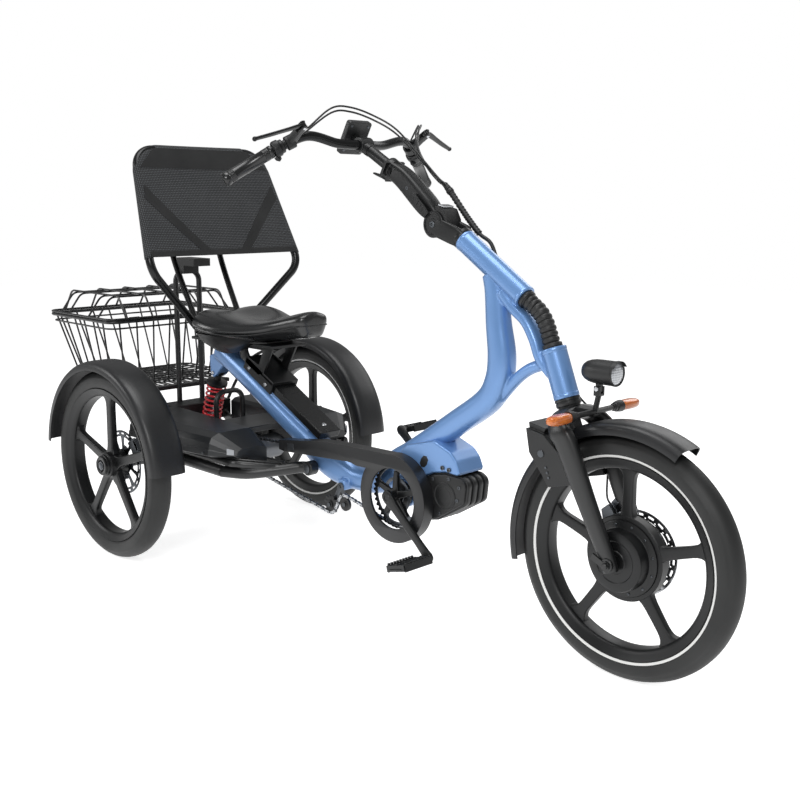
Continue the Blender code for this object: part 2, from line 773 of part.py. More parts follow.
def build_fork(machine):
    """Fork, steerer, axle, ring lock, lamp bracket, lamp and indicators."""
    joint = steering_joint()
    machine.body("fork_axis", joint, None)
    sizes = [(0.0160, 0.0105), (0.0175, 0.0105), (0.0210, 0.0125), (0.0245, 0.0145), (0.0240, 0.0150),
             (0.0220, 0.0145), (0.0220, 0.0140)]
    path = smooth(crown_path(), 2)
    spread = blend(sizes + list(reversed(sizes[:-1])), 2)
    # The blades' straight lengths need no points between.
    keep = [k for k in range(len(path)) if k not in (1, 3, 5, 19, 21, 23)]
    path = [path[k] for k in keep]
    spread = [spread[k] for k in keep]
    arch = sweep(path, spread, 8, side=HEAD_FORE, square=0.75)
    crown = head_point(0.534)
    head_low = spot(HEAD_LOW)
    race_top = head_low - HEAD_UP * GAP
    race = turned([(0, -0.030), (0.018, -0.030), (RACE_RADIUS, -0.014), (RACE_RADIUS, 0), (0, 0)],
                  race_top, HEAD_UP, 12)
    steerer_top = spot(HEAD_TOP) - HEAD_UP * 0.002
    steerer = rod(crown, steerer_top, STEERER_RADIUS, 12)
    neck = rod(steerer_top - HEAD_UP * 0.004, joint, STEERER_NECK_RADIUS, 8)
    ball = turned(
        [(0, -1), (0.62, -0.79), (0.97, -0.25), (0.97, 0.25), (0.62, 0.79), (0, 1)], Vector(), HEAD_UP, 8)
    ball = Shape([p * JOINT_BALL_RADIUS + joint for p in ball.points], ball.faces)
    reach = BLADE_OFFSET + 0.0135
    axle = rod(at(0, -reach, AXLE_HEIGHT), at(0, reach, AXLE_HEIGHT), FRONT_AXLE_RADIUS, 12)
    nuts = [rod(at(0, s * (BLADE_OFFSET + 0.004), AXLE_HEIGHT), at(0, s * (reach + 0.002), AXLE_HEIGHT), 0.0095, 6)
            for s in (-1, 1)]
    machine.piece("fork", "fork_axis", "black_paint", [arch, race, steerer, neck, ball, axle] + nuts)

    def rear_face(height):
        """The station of the blade's rear face at a height."""
        low, high = blade_points()[2:4]
        back = 0.0210, 0.0245
        a = low - HEAD_FORE * back[0]
        b = high - HEAD_FORE * back[1]
        t = (height - a.z) / (b.z - a.z)
        return a.x + (b.x - a.x) * t - FRONT_AXLE_X + 0.0009

    side = [(rear_face(0.400), 0.400), (-0.150, 0.385), (-0.203, 0.450), (-0.213, 0.500), (-0.168, 0.492),
            (rear_face(0.455), 0.455)]
    plate = slab(side, -CROWN_OFFSET + 0.001, -CROWN_OFFSET + 0.022)
    bridge = slab([(-0.168, 0.492), (-0.213, 0.500), (-0.209, 0.4800), (-0.1760, 0.476)],
                  -CROWN_OFFSET + 0.010, CROWN_OFFSET - 0.010)
    bridge = bridge.moved(Z * 0.012)
    machine.piece("ring_lock", "fork_axis", "black_plastic", [plate, plate.mirrored(), bridge])

    # The lamp bracket bolts to the front of the crown.
    crown_front = spot((-0.146, 0.534)) + HEAD_FORE * (0.0215 + GAP)
    bar_height = 0.543
    bar_station = -0.091
    bar_middle = at(bar_station, 0, bar_height)
    foot = prism([crown_front + HEAD_UP * 0.009 - Y * 0.016, bar_middle + Z * 0.005 - Y * 0.016,
                  bar_middle - Z * 0.005 - Y * 0.016, crown_front - HEAD_UP * 0.009 - Y * 0.016], Y * 0.032)
    bar = rod(at(bar_station, -0.0765, bar_height), at(bar_station, 0.0765, bar_height), 0.006, 8)
    tilt = at(-0.083, 0, 0.5915)
    stalk = rod(at(bar_station, 0, bar_height), at(-0.083, 0, 0.580), 0.006, 8)
    ears = box(tilt + Vector((-0.0075, -0.0085, -0.0145)), tilt + Vector((0.0075, 0.0085, 0.0050)))
    slot = box(tilt + Vector((-0.02, -0.0042 - GAP, -0.0095)), tilt + Vector((0.02, 0.0042 + GAP, 0.02)))
    machine.piece("lamp_bracket", "fork_axis", "black_plastic", [foot, bar, stalk, ears], [slot])
    machine.body("headlight_axis", tilt, "fork_axis")
    lamp = tilt + Vector((0.003, 0, 0.0345))
    housing = turned([(0, -0.040), (0.014, -0.038), (0.022, -0.024), (0.025, -0.004), (0.025, 0.038),
                      (0.0215, 0.040), (0, 0.040)], lamp, X, 14)
    tongue = box(tilt + Vector((-0.006, -0.0042, -0.0060)), tilt + Vector((0.006, 0.0042, 0.016)))
    machine.piece("headlight", "headlight_axis", "black_plastic", [housing, tongue])
    for name, sign in (("indicator_right", -1), ("indicator_left", 1)):
        start = at(bar_station, sign * (0.0765 + GAP), bar_height)
        lens = turned([(0, 0), (0.0085, 0), (0.0125, 0.008), (0.0140, 0.045), (0.0115, 0.070), (0.005, 0.077),
                       (0, 0.077)], start, Y * sign, 12)
        machine.piece(name, "fork_axis", "amber_lens", lens)


# Steering column, stem and handlebar


def boot_path():
    """The boot's centre line: straight at each end, bent between the two tubes."""
    joint = steering_joint()
    top = spot(STEER_LOW) - STEER_UP * GAP
    low = spot(HEAD_TOP) + HEAD_UP * GAP
    straight = 2 * BOOT_RADIUS
    a = top - STEER_UP * straight
    b = low + HEAD_UP * straight
    bend = []
    for k in range(1, 8):
        t = k / 8
        bend.append(a * (1 - t) ** 2 + joint * 2 * t * (1 - t) + b * t ** 2)
    return [top, a] + bend + [b, low]


def resample(path, count):
    """Evenly spaced points along a path, and the path's length."""
    lengths = [0.0]
    for a, b in zip(path, path[1:]):
        lengths.append(lengths[-1] + (b - a).length)
    result = []
    for k in range(count):
        want = lengths[-1] * k / (count - 1)
        n = next(i for i in range(1, len(lengths)) if lengths[i] >= want - 1e-9)
        t = (want - lengths[n - 1]) / (lengths[n] - lengths[n - 1])
        result.append(path[n - 1].lerp(path[n], t))
    return result, lengths[-1]


def build_steering(machine):
    """Steering shaft, boot, folding stem, quill, bar and controls."""
    joint = steering_joint()
    machine.body("steering_axis", spot(STEER_TOP), None)

    count = 2 * BOOT_RIBS + 1
    line, length = resample(boot_path(), count)
    radii = [BOOT_RADIUS if k % 2 else BOOT_RADIUS - BOOT_RIB_DEPTH for k in range(count)]
    outer = sweep(line, [(r, r) for r in radii], 10, side=Y)
    reach = 0.01
    inside = line[::2]
    bore = sweep([inside[0] + STEER_UP * reach] + inside[1:-1] + [inside[-1] - HEAD_UP * reach], BOOT_BORE, 10,
                 side=Y)
    machine.piece("steering_boot", "frame", "rubber", outer, [bore])

    cup = JOINT_BALL_RADIUS + 0.0005
    block_start = spot(STEER_TOP) + STEER_UP * GAP
    block_end = spot(STEM_HINGE) - STEER_UP * 0.012
    shaft = turned(
        [(0, cup + 0.0008), (cup * 0.82, 0.0056), (cup + 0.0006, 0.0005), (cup + 0.0022, 0.0005),
         (cup + 0.0022, 0.020),
         (STEER_SHAFT_RADIUS, 0.026), (STEER_SHAFT_RADIUS, (block_start - joint).length + 0.004),
         (0, (block_start - joint).length + 0.004)],
        joint, STEER_UP, 12)
    collar = turned([(0, 0), (STEER_TUBE_RADIUS, 0), (STEER_TUBE_RADIUS + 0.001, 0.012), (0.021, 0.016), (0, 0.016)],
                    block_start, STEER_UP, 14)
    block = beam(block_start + STEER_UP * 0.012, block_end, 0.025, 0.0222)
    hinge = spot(STEM_HINGE)
    cheeks = disc(hinge, Y, HINGE_DISC_RADIUS, 2 * HINGE_HALF_WIDTH, 18)
    room = disc(hinge, Y, 0.0285 + 0.0015, 2 * (HINGE_TONGUE_HALF + GAP), 18)
    machine.piece("steering_shaft", "steering_axis", "black_paint", [shaft, collar, block, cheeks], [room])

    # The stem folds at the disc and its upper end holds the telescoping quill.
    machine.body("stem_axis", hinge, "steering_axis")
    quill_dir = unit(spot(MAST_TOP), spot(BAR_CLAMP))
    up = Vector((quill_dir.z, 0, -quill_dir.x))
    mast_top = spot(MAST_TOP)
    mast_line = [hinge + Vector((-0.012, 0, 0.016)), hinge + Vector((-0.045, 0, 0.052)),
                 mast_top - quill_dir * 0.062, mast_top]
    sizes = [(HINGE_TONGUE_HALF, 0.0180), (0.0230, 0.0260), (0.0210, 0.0225), (0.0195, 0.0195)]
    body = sweep(smooth(mast_line, 2), blend(sizes, 2), 8, side=Y, square=0.7)
    tongue = disc(hinge, Y, 0.0285, 2 * HINGE_TONGUE_HALF, 18)
    cheek_room = [
        disc(hinge + Y * sign * (HINGE_TONGUE_HALF + 0.020), Y, HINGE_DISC_RADIUS + 0.0008, 0.040, 18)
        for sign in (-1, 1)
    ]
    mast_bore = ring_bore(QUILL_RADIUS, 12, GAP)
    tunnel = rod(mast_top - quill_dir * 0.085, mast_top + quill_dir * 0.02, mast_bore, 12)
    collar = turned([(0, -0.018), (0.0235, -0.018), (0.0235, 0), (0, 0)], mast_top, quill_dir, 16)
    boss_depth = 0.0260
    boss = beam(mast_top - quill_dir * 0.018 - up * 0.017, mast_top - quill_dir * 0.002 - up * 0.017, 0.010,
                boss_depth - 0.017)
    machine.piece("stem_mast", "stem_axis", "black_paint", [body, tongue, collar, boss], cheek_room + [tunnel])

    lever_half = 0.0032
    lever_root = mast_top - quill_dir * 0.012 - up * (boss_depth + lever_half + GAP)
    machine.body("mast_lever_axis", lever_root, "stem_axis")
    lever_end = lever_root + quill_dir * 0.050 - up * 0.009
    machine.piece("mast_lever", "mast_lever_axis", "black_satin",
                  [disc(lever_root, Y, lever_half, 0.018, 12), beam(lever_root, lever_end, 0.0085, lever_half * 0.9)])

    machine.body("quill_axis", mast_top, "stem_axis")
    clamp = spot(BAR_CLAMP)
    quill = rod(mast_top - quill_dir * 0.075, clamp - quill_dir * 0.012, QUILL_RADIUS, 12)
    ring = turned([(ring_bore(BAR_RADIUS, 12, GAP), -0.020), (0.0185, -0.020), (0.0185, 0.020),
                   (ring_bore(BAR_RADIUS, 12, GAP), 0.020)], clamp, Y, 12)
    machine.piece("stem_quill", "quill_axis", "black_paint", [quill, ring],
                  [rod(clamp - Y * 0.05, clamp + Y * 0.05, ring_bore(BAR_RADIUS, 12, GAP), 12)])

    grip_inner = at(-0.8344, -0.2303, 1.070)
    grip_outer = at(-0.8855, -0.3266, 1.0044)
    grip_dir = unit(grip_inner, grip_outer)
    grip_length = (grip_outer - grip_inner).length
    bar_end = grip_outer - grip_dir * 0.004
    half = [bar_end, grip_inner, at(-0.8009, -0.1585, 1.1043), at(-0.7905, -0.0734, 1.0910),
            clamp - Y * 0.022, clamp]
    bends = smooth(half[1:-1], 3)
    right = [bar_end] + bends + [clamp]
    line = right + [Vector((p.x, -p.y, p.z)) for p in reversed(right[:-1])]
    machine.piece("handlebar", "quill_axis", "black_satin", sweep(line, BAR_RADIUS, 8))
    grip_bore = ring_bore(BAR_RADIUS, 10, GAP)
    grip = turned(
        [(0, grip_length), (grip_bore, grip_length), (grip_bore, 0.002), (GRIP_RADIUS * 0.9, 0.002),
         (GRIP_RADIUS, 0.010), (GRIP_RADIUS, grip_length - 0.006), (GRIP_RADIUS * 1.08, grip_length),
         (GRIP_RADIUS * 0.8, grip_length + 0.004), (0, grip_length + 0.004)], grip_inner, grip_dir, 10)
    perch_at = bends[2].lerp(bends[1], 0.5)
    perch_dir = unit(bends[1], bends[2])
    lever_pivot = at(-0.7625, -0.2008, 1.1243)
    lever_tip = at(-0.7904, -0.315, 1.0912)
    away = lever_pivot - perch_at
    band = turned([(grip_bore + 0.0004, -0.010), (0.0165, -0.010), (0.0165, 0.010), (grip_bore + 0.0004, 0.010)],
                  perch_at, perch_dir, 12)
    lever_axis = away.cross(lever_tip - lever_pivot).normalized()
    ear = 0.0040 + GAP
    arm = beam(perch_at + away.normalized() * 0.0185, lever_pivot + away.normalized() * 0.008, 0.0085, 0.0095,
               side=lever_axis)
    gap_cut = beam(lever_pivot - away.normalized() * 0.0178, lever_pivot + away.normalized() * 0.03, ear, 0.03,
                   side=lever_axis)
    lever_body = [
        disc(lever_pivot, lever_axis, 0.0075, 0.0080, 12),
        beam(lever_pivot, lever_tip, 0.0040, 0.0062, side=lever_axis),
        disc(lever_tip, lever_axis, 0.0075, 0.0080, 12),
    ]
    for name, mirror in (("right", False), ("left", True)):
        def sided(shapes):
            return [s.mirrored() for s in shapes] if mirror else list(shapes)
        machine.piece(f"grip_{name}", "quill_axis", "rubber", sided([grip]))
        machine.piece(f"brake_perch_{name}", "quill_axis", "black_satin", sided([band, arm]),
                      sided([gap_cut]))
        place = Vector((lever_pivot.x, -lever_pivot.y, lever_pivot.z)) if mirror else lever_pivot
        machine.body(f"brake_lever_{name}_axis", place, "quill_axis")
        machine.piece(f"brake_lever_{name}", f"brake_lever_{name}_axis", "black_satin", sided(lever_body))

    screen_up = Vector((0.49, 0, 0.872))
    screen_back = Vector((-screen_up.z, 0, screen_up.x))
    screen = clamp + screen_back * 0.0376 + screen_up * 0.001
    panel = beam(screen - screen_up * 0.042, screen + screen_up * 0.042, 0.036, 0.007)
    mount = beam(clamp + screen_back * (0.0185 + GAP), screen - screen_up * 0.001, 0.010, 0.008)
    machine.piece("display", "quill_axis", "screen", [panel, mount])

    build_cables(machine, perch_at, away, lever_axis)


def build_cables(machine, perch_at, away, lever_axis):
    """Four cables from the bar into one ribbed sleeve, and the sleeve down to the frame."""
    radius = 0.0022
    inward = away.cross(lever_axis).normalized()
    if inward.y < 0:
        inward = -inward
    gather = at(-0.536, 0.037, 0.986)
    mouth = unit(at(-0.560, 0.036, 1.010), gather)
    routes = []
    for number, (reach, lift) in enumerate(((0.80, 0.010), (0.45, 0.0))):
        start = perch_at + away * reach + inward * (0.0095 + GAP)
        routes.append([
            start, start + inward * 0.008, start + inward * 0.014 + Z * 0.001,
            at(-0.764, -0.115, 1.158 + lift), at(-0.758, -0.060, 1.163 + lift),
            at(-0.730, -0.010, 1.143 + lift), at(-0.684, 0.018, 1.111 + lift), at(-0.615, 0.029, 1.050 + lift * 0.7),
            at(-0.565, 0.0345 - lift * 0.3, 1.008 + lift * 0.5),
        ])
        left = Vector((start.x, -start.y, start.z))
        inner = Vector((inward.x, -inward.y, inward.z))
        routes.append([
            left, left + inner * 0.008, left + inner * 0.014,
            at(-0.742 + lift, 0.148, 1.140), at(-0.715 + lift, 0.112, 1.116 + lift),
            at(-0.668, 0.072, 1.078 + lift * 0.6), at(-0.615, 0.048, 1.036 + lift * 0.3),
            at(-0.570, 0.0395 + lift * 0.3, 1.004 + lift * 0.2),
        ])
    across = mouth.cross(Y).normalized()
    shapes = [rod(gather - mouth * 0.008, gather, 0.0075, 10)]
    for k, route in enumerate(routes):
        side = Y * (0.0032 if k % 2 else -0.0032) + across * (0.0032 if k < 2 else -0.0032)
        end = gather + side - mouth * 0.004
        line = route[:2] + smooth(route[2:] + [end - mouth * 0.012], 3)[::2] + [end]
        shapes.append(sweep(line, radius, 5))
    machine.piece("cable_loom", "quill_axis", "rubber", shapes)

    start = gather + mouth * GAP
    foot = spot(STEER_TOP) - STEER_UP * 0.100
    normal = Vector((-STEER_UP.z, 0, STEER_UP.x))
    if normal.z < 0:
        normal = -normal
    ray = (Y * 0.90 + normal * 0.43).normalized()
    end = foot + ray * (STEER_TUBE_RADIUS + 2 * GAP)
    route = [start, start + mouth * 0.015, at(-0.494, 0.0375, 0.941), at(-0.469, 0.0375, 0.915),
             at(-0.439, 0.0370, 0.888), at(-0.405, 0.0370, 0.866), end + ray * 0.009]
    line = smooth(route, 8) + [end]
    ribs = 14
    radii = [0.0078 if k % 2 else 0.0064 for k in range(ribs)]
    plain = 0.0050
    sizes = [(radii[k], radii[k]) if 0 < k < ribs else (plain, plain) for k in range(len(line))]
    keep = list(range(ribs + 1)) + list(range(ribs + 4, len(line) - 3, 4)) + [len(line) - 2, len(line) - 1]
    machine.piece("cable_sleeve", "steering_axis", "rubber",
                  sweep([line[k] for k in keep], [sizes[k] for k in keep], 7))


# Main frame


def along(points, steps=3):
    """A smooth path through (station, height) pairs in the machine's mid plane."""
    return smooth([spot(pair) for pair in points], steps)


BOOM_LINE = [(-1.372, 0.535), (-1.218, 0.4575), (-1.109, 0.3985), (-1.004, 0.346), (-0.940, 0.310),
             (-0.870, 0.286), (-0.785, 0.268), (-0.705, 0.282), (-0.645, 0.330), (-0.585, 0.376),
             (-0.470, 0.4575), (-0.375, 0.525), (-0.344, 0.575), (-0.338, 0.630), (-0.349, 0.700),
             (-0.357, 0.770), (-0.366, 0.806)]
BOOM_SIZES = [(0.030, 0.030), (0.030, 0.030), (0.030, 0.030), (0.031, 0.031), (0.033, 0.040), (0.034, 0.044),
              (0.033, 0.031), (0.034, 0.034), (0.034, 0.040), (0.032, 0.032), (0.0295, 0.0295),
              (0.0295, 0.0300), (0.0290, 0.0310), (0.0280, 0.0310), (0.0255, 0.0280), (0.0235, 0.0260),
              (0.0230, 0.0250)]
SPINE_LINE = [(-0.335, 0.770), (-0.302, 0.738), (-0.267, 0.712), (-0.243, 0.676), (-0.226, 0.636),
              (-0.200, 0.600)]
BRACE_LINE = [(-0.340, 0.535), (-0.315, 0.563), (-0.288, 0.590), (-0.258, 0.611), (-0.222, 0.625),
              (-0.190, 0.634)]

BOOM_FORWARD = unit(spot(BOOM_LINE[1]), spot(BOOM_LINE[3]))
BOOM_UP = Vector((-BOOM_FORWARD.z, 0, BOOM_FORWARD.x))


def boom_point(station):
    """The point on the straight part of the rear boom's centre line at a station."""
    a = spot(BOOM_LINE[1])
    return a + BOOM_FORWARD * ((at(station, 0, 0).x - a.x) / BOOM_FORWARD.x)


CRADLE_SPLIT = [(-0.560, 0.315), (-0.500, 0.343), (-0.462, 0.351), (-0.424, 0.349)]


def build_frame(machine):
    """The painted frame, the motor unit under it and the seat rail on it."""
    machine.body("frame", Vector((0, 0, 0)))
    # The rear length is straight, so it needs no points between.
    keep = [k for k in range(2 * len(BOOM_LINE) - 1) if k not in (1, 3, 5)]
    path, spread = along(BOOM_LINE, 2), blend(BOOM_SIZES, 2)
    boom = sweep([path[k] for k in keep], [spread[k] for k in keep], 10, side=Y, square=0.8)
    spine = sweep(along(SPINE_LINE, 2), (SPINE_HALF_WIDTH, SPINE_HALF_HEIGHT), 8, side=Y, square=0.7)
    brace = sweep(along(BRACE_LINE, 1), BRACE_RADIUS, 8, side=Y)
    head_low, head_top = spot(HEAD_LOW), spot(HEAD_TOP)
    head = rod(head_low, head_top, HEAD_TUBE_RADIUS, 14)
    upper = rod(spot(STEER_LOW), spot(STEER_TOP), STEER_TUBE_RADIUS, 14)
    head_bore = rod(head_low - HEAD_UP * 0.01, head_top + HEAD_UP * 0.01, ring_bore(STEERER_RADIUS, 12), 12)
    upper_bore = rod(spot(STEER_LOW) - STEER_UP * 0.01, spot(STEER_TOP) + STEER_UP * 0.01,
                     ring_bore(STEER_SHAFT_RADIUS, 12), 12)
    bb = spot(BB)
    shell = rod(bb - Y * BB_HALF_WIDTH, bb + Y * BB_HALF_WIDTH, BB_SHELL_RADIUS, 16)
    bb_bore = rod(bb - Y * 0.1, bb + Y * 0.1, ring_bore(SPINDLE_RADIUS, 12), 12)
    cradle_outline = [(-0.628, 0.300)] + [CRADLE_SPLIT[0]] + CRADLE_SPLIT[1:] + [
        (-0.416, 0.356), (-0.440, 0.398), (-0.500, 0.420), (-0.590, 0.395), (-0.640, 0.340)]
    cradle = slab(cradle_outline, -0.044, 0.044)
    ridge = beam(boom_point(-1.215) + BOOM_UP * 0.034, boom_point(-0.985) + BOOM_UP * 0.034, 0.018,
                 RAIL_BASE - GAP - 0.034)
    # The shock's upper eye hangs in a fork from the boom's rear end.
    eye = spot(SHOCK_TOP)
    lug = slab([(-1.375, 0.530), (-1.330, 0.505), (SHOCK_TOP[0] + 0.014, SHOCK_TOP[1] - 0.006),
                (SHOCK_TOP[0], SHOCK_TOP[1] - 0.014), (SHOCK_TOP[0] - 0.014, SHOCK_TOP[1] - 0.006),
                (-1.412, 0.515)], -0.0195, 0.0195)
    lug_room = disc(eye, Y, 0.021, 2 * (0.0110 + GAP), 12)
    lug_mouth = slab([(SHOCK_TOP[0] - 0.030, SHOCK_TOP[1] - 0.030), (SHOCK_TOP[0] + 0.030, SHOCK_TOP[1] - 0.030),
                      (SHOCK_TOP[0] + 0.020, SHOCK_TOP[1]), (SHOCK_TOP[0] - 0.020, SHOCK_TOP[1])],
                     -0.0110 - GAP, 0.0110 + GAP)
    # The swinging frame's pin passes through the belly of the frame.
    pivot = spot(SWING_PIVOT)
    pivot_bore = rod(pivot - Y * 0.1, pivot + Y * 0.1, ring_bore(SWING_PIN_RADIUS, 12), 12)
    hanger = slab([(HANGER[0] - 0.014, 0.268), (HANGER[0] + 0.014, 0.268), (HANGER[0] + 0.009, HANGER[1] - 0.010),
                   (HANGER[0] - 0.009, HANGER[1] - 0.010)], HANGER_FACE, -0.010)
    machine.piece(
        "main_frame", "frame", "blue_paint",
        [boom, spine, brace, head, upper, shell, cradle, ridge, lug, hanger],
        [head_bore, upper_bore, bb_bore, lug_room, lug_mouth, pivot_bore])

    drop = Vector((0, 0, -GAP * 1.5))
    motor_outline = [(-0.5600, 0.262), (-0.522, 0.224), (-0.487, 0.232), (-0.400, 0.284), (-0.394, 0.338),
                     (-0.416, 0.349)] + list(reversed(CRADLE_SPLIT))
    shapes = [slab(motor_outline, GUARD_INNER_FACE + GAP, 0.045).moved(drop)]
    machine.piece("motor_unit", "frame", "black_plastic", shapes,
                  [rod(bb - Y * 0.1, bb + Y * 0.1, BB_SHELL_RADIUS + GAP, 16)])

    rail_mid = RAIL_BASE + RAIL_HEIGHT / 2
    rail = beam(boom_point(-1.245) + BOOM_UP * rail_mid, boom_point(-0.935) + BOOM_UP * rail_mid,
                RAIL_HALF_WIDTH, RAIL_HEIGHT / 2)
    machine.piece("seat_rail", "frame", "black_paint", rail)


# Crank and chain drive


def gear_outline(centre, teeth, pitch_radius, phase=0.0):
    """Points of a toothed wheel in the mid plane, one tip and one root a tooth."""
    points = []
    for k in range(teeth):
        for offset, radius in ((0.0, pitch_radius + TOOTH_HEIGHT), (0.5, pitch_radius - TOOTH_HEIGHT)):
            angle = phase + 2 * math.pi * (k + offset) / teeth
            points.append(centre + X * (radius * math.cos(angle)) + Z * (radius * math.sin(angle)))
    return points


def pitch_radius(teeth):
    """The pitch radius of a sprocket for this chain."""
    return CHAIN_PITCH / (2 * math.sin(math.pi / teeth))


def sprocket(centre, teeth, thickness):
    """A toothed plate in the chain's plane."""
    outline = gear_outline(centre + Y * (CHAIN_PLANE - centre.y - thickness / 2), teeth, pitch_radius(teeth))
    return prism(outline, Y * thickness)


def belt(circles):
    """The chain's loop: arcs round the wheels joined by straight runs.

    Each circle is (centre, radius, side), seen from the machine's right, where side
    is 1 if the loop keeps the wheel inside it and -1 where the wheel presses in.
    """
    touches = []
    count = len(circles)
    for k in range(count):
        c1, r1, s1 = circles[k]
        c2, r2, s2 = circles[(k + 1) % count]
        gap = c2 - c1
        length = gap.length
        heading = math.atan2(gap.z, gap.x)
        lean = math.asin((s1 * r1 - s2 * r2) / length)
        normal = heading + math.pi / 2 - lean
        ray = X * math.cos(normal) + Z * math.sin(normal)
        touches.append((c1 + ray * s1 * r1, c2 + ray * s2 * r2))
    path = []
    for k in range(count):
        centre, radius, side = circles[k]
        arrive = touches[k - 1][1] - centre
        leave = touches[k][0] - centre
        start = math.atan2(arrive.z, arrive.x)
        end = math.atan2(leave.z, leave.x)
        sweep_angle = (end - start) % (2 * math.pi)
        if side > 0:
            sweep_angle -= 2 * math.pi
        steps = max(2, round(abs(sweep_angle) / math.radians(26)))
        reach = radius / math.cos(sweep_angle / steps / 2)
        for step in range(steps):
            angle = start + sweep_angle * (step + 0.5) / steps
            path.append(centre + X * (reach * math.cos(angle)) + Z * (reach * math.sin(angle)))
    return path


def build_drive(machine):
    """Cranks, pedals, chainring, chain, guard, tensioner and gear hub."""
    bb = spot(BB)
    machine.body("crank_axis", bb, None)
    arm_dir = Vector((CRANK_FORWARD, 0, -CRANK_DOWN))
    pedal_right = bb + arm_dir
    pedal_left = bb - arm_dir
    outer = CRANK_PLANE + CRANK_ARM_HALF
    inner = CRANK_PLANE - CRANK_ARM_HALF
    ring_face = -CHAIN_PLANE + RING_THICKNESS / 2 + GAP
    spindle = rod(bb - Y * (inner + 0.003), bb + Y * (outer - 0.001), SPINDLE_RADIUS, 12)
    for name, sign, foot in (("right", -1, pedal_right), ("left", 1, pedal_left)):
        direction = unit(bb, foot)
        across = direction.cross(Y)
        near = sign * inner
        far = sign * outer
        big, small = 0.0165, 0.0130
        outline = []
        for k in range(7):
            angle = math.pi / 2 + math.pi * k / 6
            outline.append(bb + direction * (big * math.cos(angle)) + across * (big * math.sin(angle)))
        for k in range(7):
            angle = -math.pi / 2 + math.pi * k / 6
            outline.append(foot + direction * (small * math.cos(angle)) + across * (small * math.sin(angle)))
        arm = prism([p + Y * near for p in outline], Y * (far - near))
        pin = rod(foot + Y * (sign * (outer - 0.003)), foot + Y * (sign * (PEDAL_OUTER - 0.006)),
                  PEDAL_SPINDLE_RADIUS, 10)
        if name == "right":
            boss = rod(bb + Y * sign * ring_face, bb + Y * sign * (inner + 0.003), 0.0150, 16)
            machine.piece("crank_right", "crank_axis", "black_satin", [arm, pin, spindle, boss])
        else:
            machine.piece("crank_left", "crank_axis", "black_satin", [arm, pin],
                          [rod(bb, bb + Y * 0.2, ring_bore(SPINDLE_RADIUS, 12, GAP), 12)])
        machine.body(f"pedal_{name}_axis", foot + Y * sign * PEDAL_INNER, "crank_axis")
        tilt = math.radians(-15)
        bore = ring_bore(PEDAL_SPINDLE_RADIUS, 12, GAP)
        low, high = sorted((sign * PEDAL_INNER, sign * PEDAL_OUTER))
        cage = box(foot + Vector((-PEDAL_HALF_DEPTH, low - foot.y, -PEDAL_HALF_HEIGHT)),
                   foot + Vector((PEDAL_HALF_DEPTH, high - foot.y, PEDAL_HALF_HEIGHT)))
        cage = cage.turned(foot, Y, tilt)
        windows = []
        for a, b in ((-0.8, -0.42), (0.42, 0.8)):
            window = box(foot + Vector((PEDAL_HALF_DEPTH * a, low + 0.007, -0.03)),
                         foot + Vector((PEDAL_HALF_DEPTH * b, high - 0.007, 0.03)))
            windows.append(window.turned(foot, Y, tilt))
        axle_hole = rod(foot + Y * sign * (PEDAL_INNER - 0.01), foot + Y * sign * (PEDAL_OUTER - 0.0045), bore, 12)
        machine.piece(f"pedal_{name}", f"pedal_{name}_axis", "black_plastic", [cage], windows + [axle_hole])

    centre = at(BB[0], CHAIN_PLANE, BB[1])
    plate = sprocket(centre, RING_TEETH, RING_THICKNESS)
    windows = []
    for k in range(5):
        outline = []
        mid = math.pi / 2 + 2 * math.pi * (k + 0.5) / 5
        half = math.radians(28)
        for r, turns in ((0.064, (-1, 0, 1)), (0.030, (0.75, -0.75))):
            for t in turns:
                angle = mid + half * t
                outline.append(centre + X * (r * math.cos(angle)) + Z * (r * math.sin(angle)) - Y * 0.01)
        windows.append(prism(outline, Y * 0.02))
    windows.append(rod(centre - Y * 0.02, centre + Y * 0.02, ring_bore(SPINDLE_RADIUS, 12, GAP), 12))
    machine.piece("chainring", "crank_axis", "black_satin", [plate], windows)

    ring = (centre, pitch_radius(RING_TEETH), 1)
    hub_centre = at(GEAR_HUB[0], CHAIN_PLANE, GEAR_HUB[1])
    rear_pulley = at(PULLEY_REAR[0], CHAIN_PLANE, PULLEY_REAR[1])
    front_pulley = at(PULLEY_FRONT[0], CHAIN_PLANE, PULLEY_FRONT[1])
    small = pitch_radius(PULLEY_TEETH)
    loop = belt([ring, (front_pulley, small, -1), (rear_pulley, small, 1),
                 (hub_centre, pitch_radius(SPROCKET_TEETH), 1)])
    back = TOOTH_HEIGHT + GAP + 0.0002
    web = CHAIN_PLATE
    profile = [(-CHAIN_HALF_WIDTH, -CHAIN_HALF_HEIGHT), (-web, -CHAIN_HALF_HEIGHT), (-web, back), (web, back),
               (web, -CHAIN_HALF_HEIGHT), (CHAIN_HALF_WIDTH, -CHAIN_HALF_HEIGHT),
               (CHAIN_HALF_WIDTH, CHAIN_HALF_HEIGHT), (-CHAIN_HALF_WIDTH, CHAIN_HALF_HEIGHT)]
    machine.piece("chain", "frame", "steel", sweep(loop, 1.0, side=Y, closed=True, outline=profile))

    build_chain_guard(machine, centre, loop)
    build_tensioner(machine, rear_pulley, front_pulley, small)


